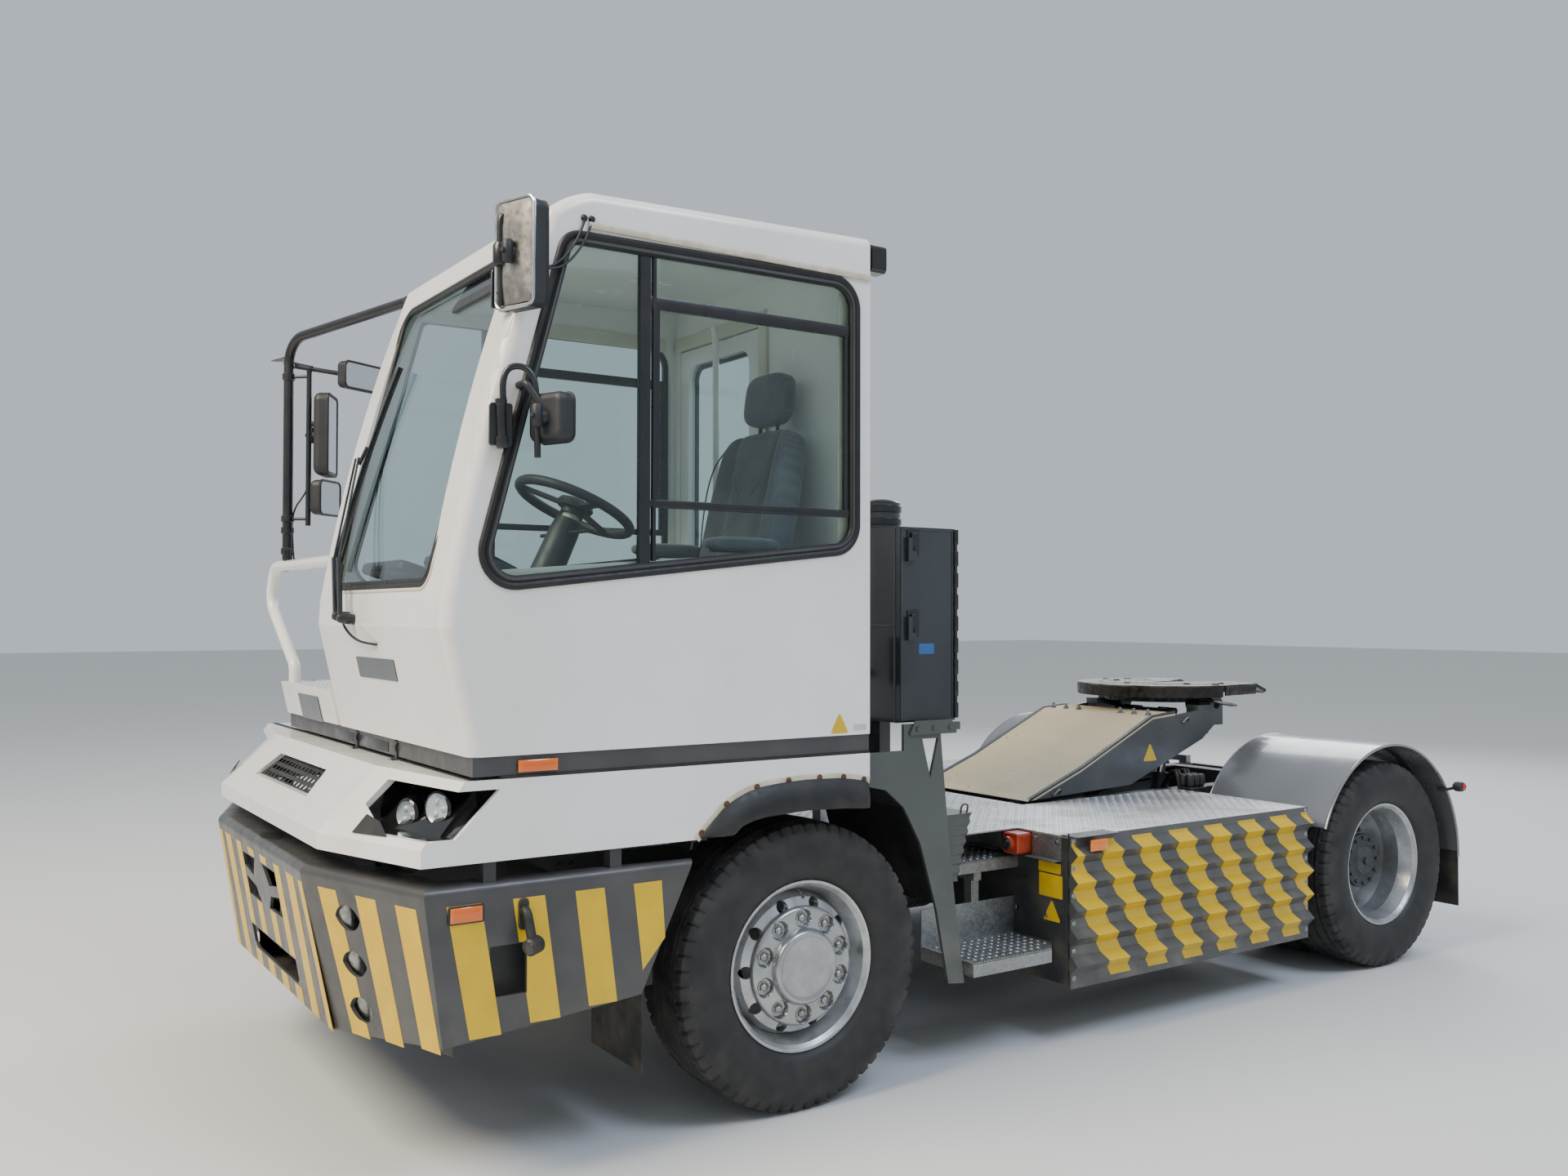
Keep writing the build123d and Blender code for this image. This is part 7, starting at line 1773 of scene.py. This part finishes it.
def raised(value, exponent):
    """Power of a value's size that keeps its sign."""
    return np.sign(value) * np.abs(value) ** exponent


def pillow(width, depth, height, power=0.32, edge=0.5, count=40):
    """Cushion: a superellipsoid, its exponents low so that it is a box with full round edges."""
    u = np.linspace(-pi / 2, pi / 2, count // 2)
    v = np.linspace(-pi, pi, count, endpoint=False)
    u, v = np.meshgrid(u, v, indexing="ij")
    x = raised(np.cos(u), edge) * raised(np.cos(v), power) * width / 2
    y = raised(np.cos(u), edge) * raised(np.sin(v), power) * depth / 2
    z = raised(np.sin(u), edge) * height / 2
    return np.stack([x, y, z], -1)


def upholstered(points, bolster, inner, seams):
    """Closed cushion whose side bolsters rise past inner mm from its middle behind a long seam. Each
    seam sinks as a bell curve."""
    along, across = points[..., 0], np.abs(points[..., 1])
    rise = bolster * np.clip((across - inner) / 60, 0, 1)
    for seam in seams:
        rise = rise - 7 * np.exp(-((along - seam) / 9) ** 2)
    rise = rise - 8 * np.exp(-((across - inner) / 10) ** 2)
    points[..., 2] += (points[..., 2] > 0) * rise
    return surface(points, wrap_v=True)


def leaning(form, places, back, rise):
    """A form on the dashboard, its face tipped towards the driver by back over rise."""
    return at(form, places, (-back, 0, rise), (rise, 0, back))


SEAT_Y = 800.0
WHEEL_PLACE = np.array([ahead(720), SEAT_Y, 2085.0])
WHEEL_AXIS = np.array([-0.4226, 0.0, 0.9063])
WHEEL_R = 205.0
WHEEL_RISE = 31.3


class Interior(bpy.types.Operator):
    """Padded driver's seat, dashboard instruments, switches and trim"""

    bl_idname = "tractor.interior"
    bl_label = "Cab interior"

    def execute(self, context):
        y = SEAT_Y
        seat = upholstered(pillow(470, 480, 130, 0.28, 0.42, 72), 26, 150, (60, -70))
        seat = shift(seat, ahead(250), y, 1800)
        # The back narrows by 14 % towards its top
        rest = pillow(620, 470, 120, 0.28, 0.42, 72)
        rest[..., 1] *= 1 - 0.14 * np.clip(rest[..., 0] / 310, 0, 1)
        rest = upholstered(rest, 34, 140, (90, -80))
        rest = at(rest, (ahead(-42), y, 2130), (0.97, 0, 0.22), (-0.22, 0, 0.97))
        head = surface(pillow(200, 260, 110, 0.5, 0.6, 48), wrap_v=True)
        head = at(head, (ahead(-104), y, 2560), (0.99, 0, 0.14), (-0.14, 0, 0.99))
        arm = surface(pillow(300, 60, 50, 0.5, 0.6, 36), wrap_v=True)
        arms = at(arm, [(ahead(190), y + side * 272, 1990) for side in (-1, 1)])
        for name, form, replaced in (
                ("seat_cushion", seat, ["driver_seat"]), ("seat_back", rest, []), ("seat_headrest", head, []),
                ("seat_armrests", arms, [])):
            make(name, form, "woven_cloth", "cab", replaced, 60)
        folds = [(175 + 16 * (n % 2), 330 - 22 * n) for n in range(15)]
        rod = lathe([(0, 150), (7, 150), (7, 0), (0, 0)], 12)
        parts = [at(rod, (ahead(-96), y + d, 2400), (-0.1, 0, 1)) for d in (-60, 60)]
        for s in (-1, 1):
            out = s * 272
            arm = from_axle((20, s * 262, 1900), (-10, out, 1960), (20, out, 1968), (320, out, 1968))
            parts.append(tube(arm + (0, y, 0), 9, 8))
        belt = from_axle((-80, -235, 2420), (20, -236, 2300), (60, -240, 2050), (60, -240, 1820))
        parts += [
            shift(prism(oblong(230, 215, 40, 6), 0, 36, 6), ahead(240), y, 1700),
            shift(lathe([(0, 330), *folds, (190, 0), (0, 0)], 40), ahead(230), y, 1372),
            shift(prism(oblong(240, 215, 30, 4), 0, 58, 6), ahead(230), y, 1315),
            tube(belt + (0, y, 0), 3, 6),
        ]
        make("seat_frame", join(*parts), "grained_abs", "cab")
        # Dashboard: hood with a dark panel, rocker switches, side console
        column = lathe([(0, -20), (46, -20), (52, -60), (56, -220), (64, -330), (64, -420), (0, -420)], 28)
        lever = [(0, 150), (18, 148), (24, 130), (20, 100), (9, 84), (8, 20), (30, 8), (34, 0), (0, 0)]
        root = WHEEL_PLACE - WHEEL_AXIS * 70
        dash = [
            leaning(prism(oblong(105, 230, 40, 6), 0, 46, 12), (ahead(1082), y, 1868), 0.35, 0.94),
            leaning(prism(oblong(150, 230, 30, 5), 0, 40, 8), (ahead(1085), 260, 1850), 0.3, 0.95),
            shift(prism(oblong(230, 90, 30, 5), 0, 470, 14), ahead(250), y - 400, 1330),
            at(lathe(lever, 20), (ahead(330), y - 400, 1800), (0.15, 0, 1)),
            at(column, WHEEL_PLACE, WHEEL_AXIS, LEFT),
        ]
        dash += [tube([root + (0, s * d, 0) for d in (40, 120, 185)], 7, 8, rounds=0) for s in (-1, 1)]
        make("dash_fittings", join(*dash), "grained_abs", "cab")
        panel = leaning(prism(oblong(75, 190, 16, 4), 0, 4, 1), (ahead(1060), y, 1918), 0.42, 0.9)
        make("instrument_panel", panel, "black_acrylic", "cab")
        rocker = prism(rectangle(30, 20, 3), 0, 9, 2)
        keys = at(rocker, [(ahead(180 + 44 * i), y - 440 + 40 * j, 1800) for i in range(5) for j in range(3)])
        face_keys = leaning(rocker, [(ahead(1040), 100 + 46 * j, 1893) for j in range(7)], 0.3, 0.95)
        make("rocker_switches", join(keys, face_keys), "satin_black_enamel", "cab")
        trim = [bar((ahead(1215), -90, 1835), (ahead(1215), 1170, 1835), 60, 26, (-0.4, 0, 1), 8),
                bar((ahead(1236), CAB_LEFT - 46, 1850), (ahead(-120), CAB_LEFT - 46, 1958), 8, 40, UP, 3),
                bar((ahead(-160), CAB_LEFT - 44, 1990), (ahead(-160), CAB_LEFT - 44, 2900), 44, 8, LEFT, 3),
                bar((ahead(-203), -110, 2930), (ahead(-203), 620, 2930), 12, 60, UP, 4),
                bar((ahead(-203), 600, 1340), (ahead(-203), 600, 2930), 60, 12, FORE, 4),
                bar((ahead(-150), CAB_RIGHT + 48, 2930), (ahead(960), CAB_RIGHT + 48, 2930), 60, 10, LEFT, 4)]
        make("interior_trim", join(*trim), "cream_abs", "cab")
        pole = from_axle((-160, 300, 1900), (-166, 300, 2000), (-166, 300, 2880), (-150, 300, 2940))
        make("grab_pole", tube(pole, 14, 12), "white_enamel", "cab")
        visor = prism(oblong(110, 240, 24, 5), 0, 10, 3)
        visor = at(visor, (ahead(1010), y, 2880), (0.85, 0, 0.5), (-0.5, 0, 0.85))
        make("sun_visor", visor, "grained_abs", "cab")
        # The wheel's grip is a circle about the column's axis
        t = np.linspace(0, 2 * pi, 97)[:-1, None]
        axis, side = unit(WHEEL_AXIS), np.array(LEFT)
        centre = WHEEL_PLACE + axis * WHEEL_RISE
        loop = centre + WHEEL_R * (np.cos(t) * side + np.sin(t) * np.cross(side, axis))
        rim = sweep(loop, ring(17.5, 12), axis, closed=True)
        boss = at(lathe([(0, 28), (40, 26), (60, 18), (66, 6), (60, -10), (0, -12)], 32), centre, axis, LEFT)
        make("wheel_grip", join(rim, boss), "grained_polyethylene", "wheel_of_steering")
        return {"FINISHED"}


# Stage

CAMERA_PLACE = (3.943, 5.040)
CAMERA_TURNS = (-123.91, 1.10, 0.115)
FLOOR_REACH = 60


class TractorStage(bpy.types.PropertyGroup):
    """Camera, floor and lights"""

    lens: bpy.props.FloatProperty(
        name="Lens", description="Focal length on a 36 mm wide sensor", default=30.48, unit="CAMERA")
    height: bpy.props.FloatProperty(
        name="Eye height", description="Camera height above the ground", default=1.746, unit="LENGTH")
    floor: bpy.props.FloatVectorProperty(
        name="Floor", description="Colour of the floor", default=linear("#d3d3d1")[:3], subtype="COLOR")


class SetStage(bpy.types.Operator):
    """Pale floor, soft lights and the camera at the photograph's angle"""

    bl_idname = "tractor.stage"
    bl_label = "Stage"

    def execute(self, context):
        scene = context.scene
        own = scene.tractor_stage
        camera = bpy.data.objects.new("camera", bpy.data.cameras.new("camera"))
        camera.data.lens = own.lens
        camera.data.sensor_width = 36.0
        camera.data.clip_end = 200
        yaw, pitch, roll = (radians(turn) for turn in CAMERA_TURNS)
        look = Vector((cos(pitch) * cos(yaw), cos(pitch) * sin(yaw), sin(pitch)))
        right = look.cross(Vector(UP)).normalized()
        up = right.cross(look)
        axes = Matrix((right * cos(roll) + up * sin(roll), up * cos(roll) - right * sin(roll), -look))
        camera.matrix_world = Matrix.Translation((*CAMERA_PLACE, own.height)) @ axes.transposed().to_4x4()
        scene.collection.objects.link(camera)
        scene.camera = camera

        made, tree, shader, _ = begin("pale_floor")
        connect(tree, shader, {"Base Color": (*own.floor, 1), "Roughness": 0.8})
        mesh = bpy.data.meshes.new("floor")
        far = FLOOR_REACH
        mesh.from_pydata([(-far, -far, 0), (far, -far, 0), (far, far, 0), (-far, far, 0)], [], [(0, 1, 2, 3)])
        mesh.materials.append(made)
        floor = bpy.data.objects.new("floor", mesh)
        scene.collection.objects.link(floor)

        world = bpy.data.worlds.new("soft_sky")
        world.use_nodes = True
        sky = world.node_tree.nodes["Background"]
        connect(world.node_tree, sky, {"Color": linear("#dae4ee"), "Strength": 0.8})
        scene.world = world
        # Places, aims, sizes in metres, strengths in watts and colours of the lamps
        lamps = (
            ("key", (9, 1, 9), (0, 0, 1.2), 5, 1700, "#fff1da"),
            ("side", (-1.5, 7.5, 11), (-0.5, 0, 1), 5, 820, "#d6e5ff"),
            ("back", (-9, -5, 7), (0, 0, 1), 6, 500, "#ffffff"),
        )
        for name, place, aim, size, power, hue in lamps:
            lamp = bpy.data.lights.new(name, "AREA")
            lamp.size, lamp.energy, lamp.color = size, power, linear(hue)[:3]
            holder = bpy.data.objects.new(name, lamp)
            holder.matrix_world = Matrix.Translation(place) @ (
                (Vector(aim) - Vector(place)).to_track_quat("-Z", "Y").to_matrix().to_4x4())
            scene.collection.objects.link(holder)
        return {"FINISHED"}


class TractorPanel(bpy.types.Panel):
    """Lists the tractor's pieces in the sidebar"""

    bl_idname = "VIEW3D_PT_tractor"
    bl_label = "Tractor"
    bl_space_type = "VIEW_3D"
    bl_region_type = "UI"
    bl_category = "Tractor"

    def draw(self, context):
        for name in ("lens", "height", "floor"):
            self.layout.prop(context.scene.tractor_stage, name)
        for operator in OPERATORS:
            self.layout.operator(operator.bl_idname)


OPERATORS = (SetStage, PaintFrame, Tyres, Wheels, Bumper, Lamps, Glazing, CabTrim, Arches, SideGuards,
             StepsAndDeck, BoomFittings, Lockers, Underbody, CabRear, Mirrors, Interior)
GROUPS = {"tractor_stage": TractorStage}


def register():
    for cls in (*GROUPS.values(), *OPERATORS, TractorPanel):
        bpy.utils.register_class(cls)
    for name, group in GROUPS.items():
        setattr(bpy.types.Scene, name, bpy.props.PointerProperty(type=group))


def unregister():
    for name in GROUPS:
        delattr(bpy.types.Scene, name)
    for cls in reversed((*GROUPS.values(), *OPERATORS, TractorPanel)):
        bpy.utils.unregister_class(cls)


def main():
    register()
    for operator in OPERATORS:
        call = getattr(bpy.ops.tractor, operator.bl_idname.split(".")[1])
        call()


if __name__ == "__main__":
    main()
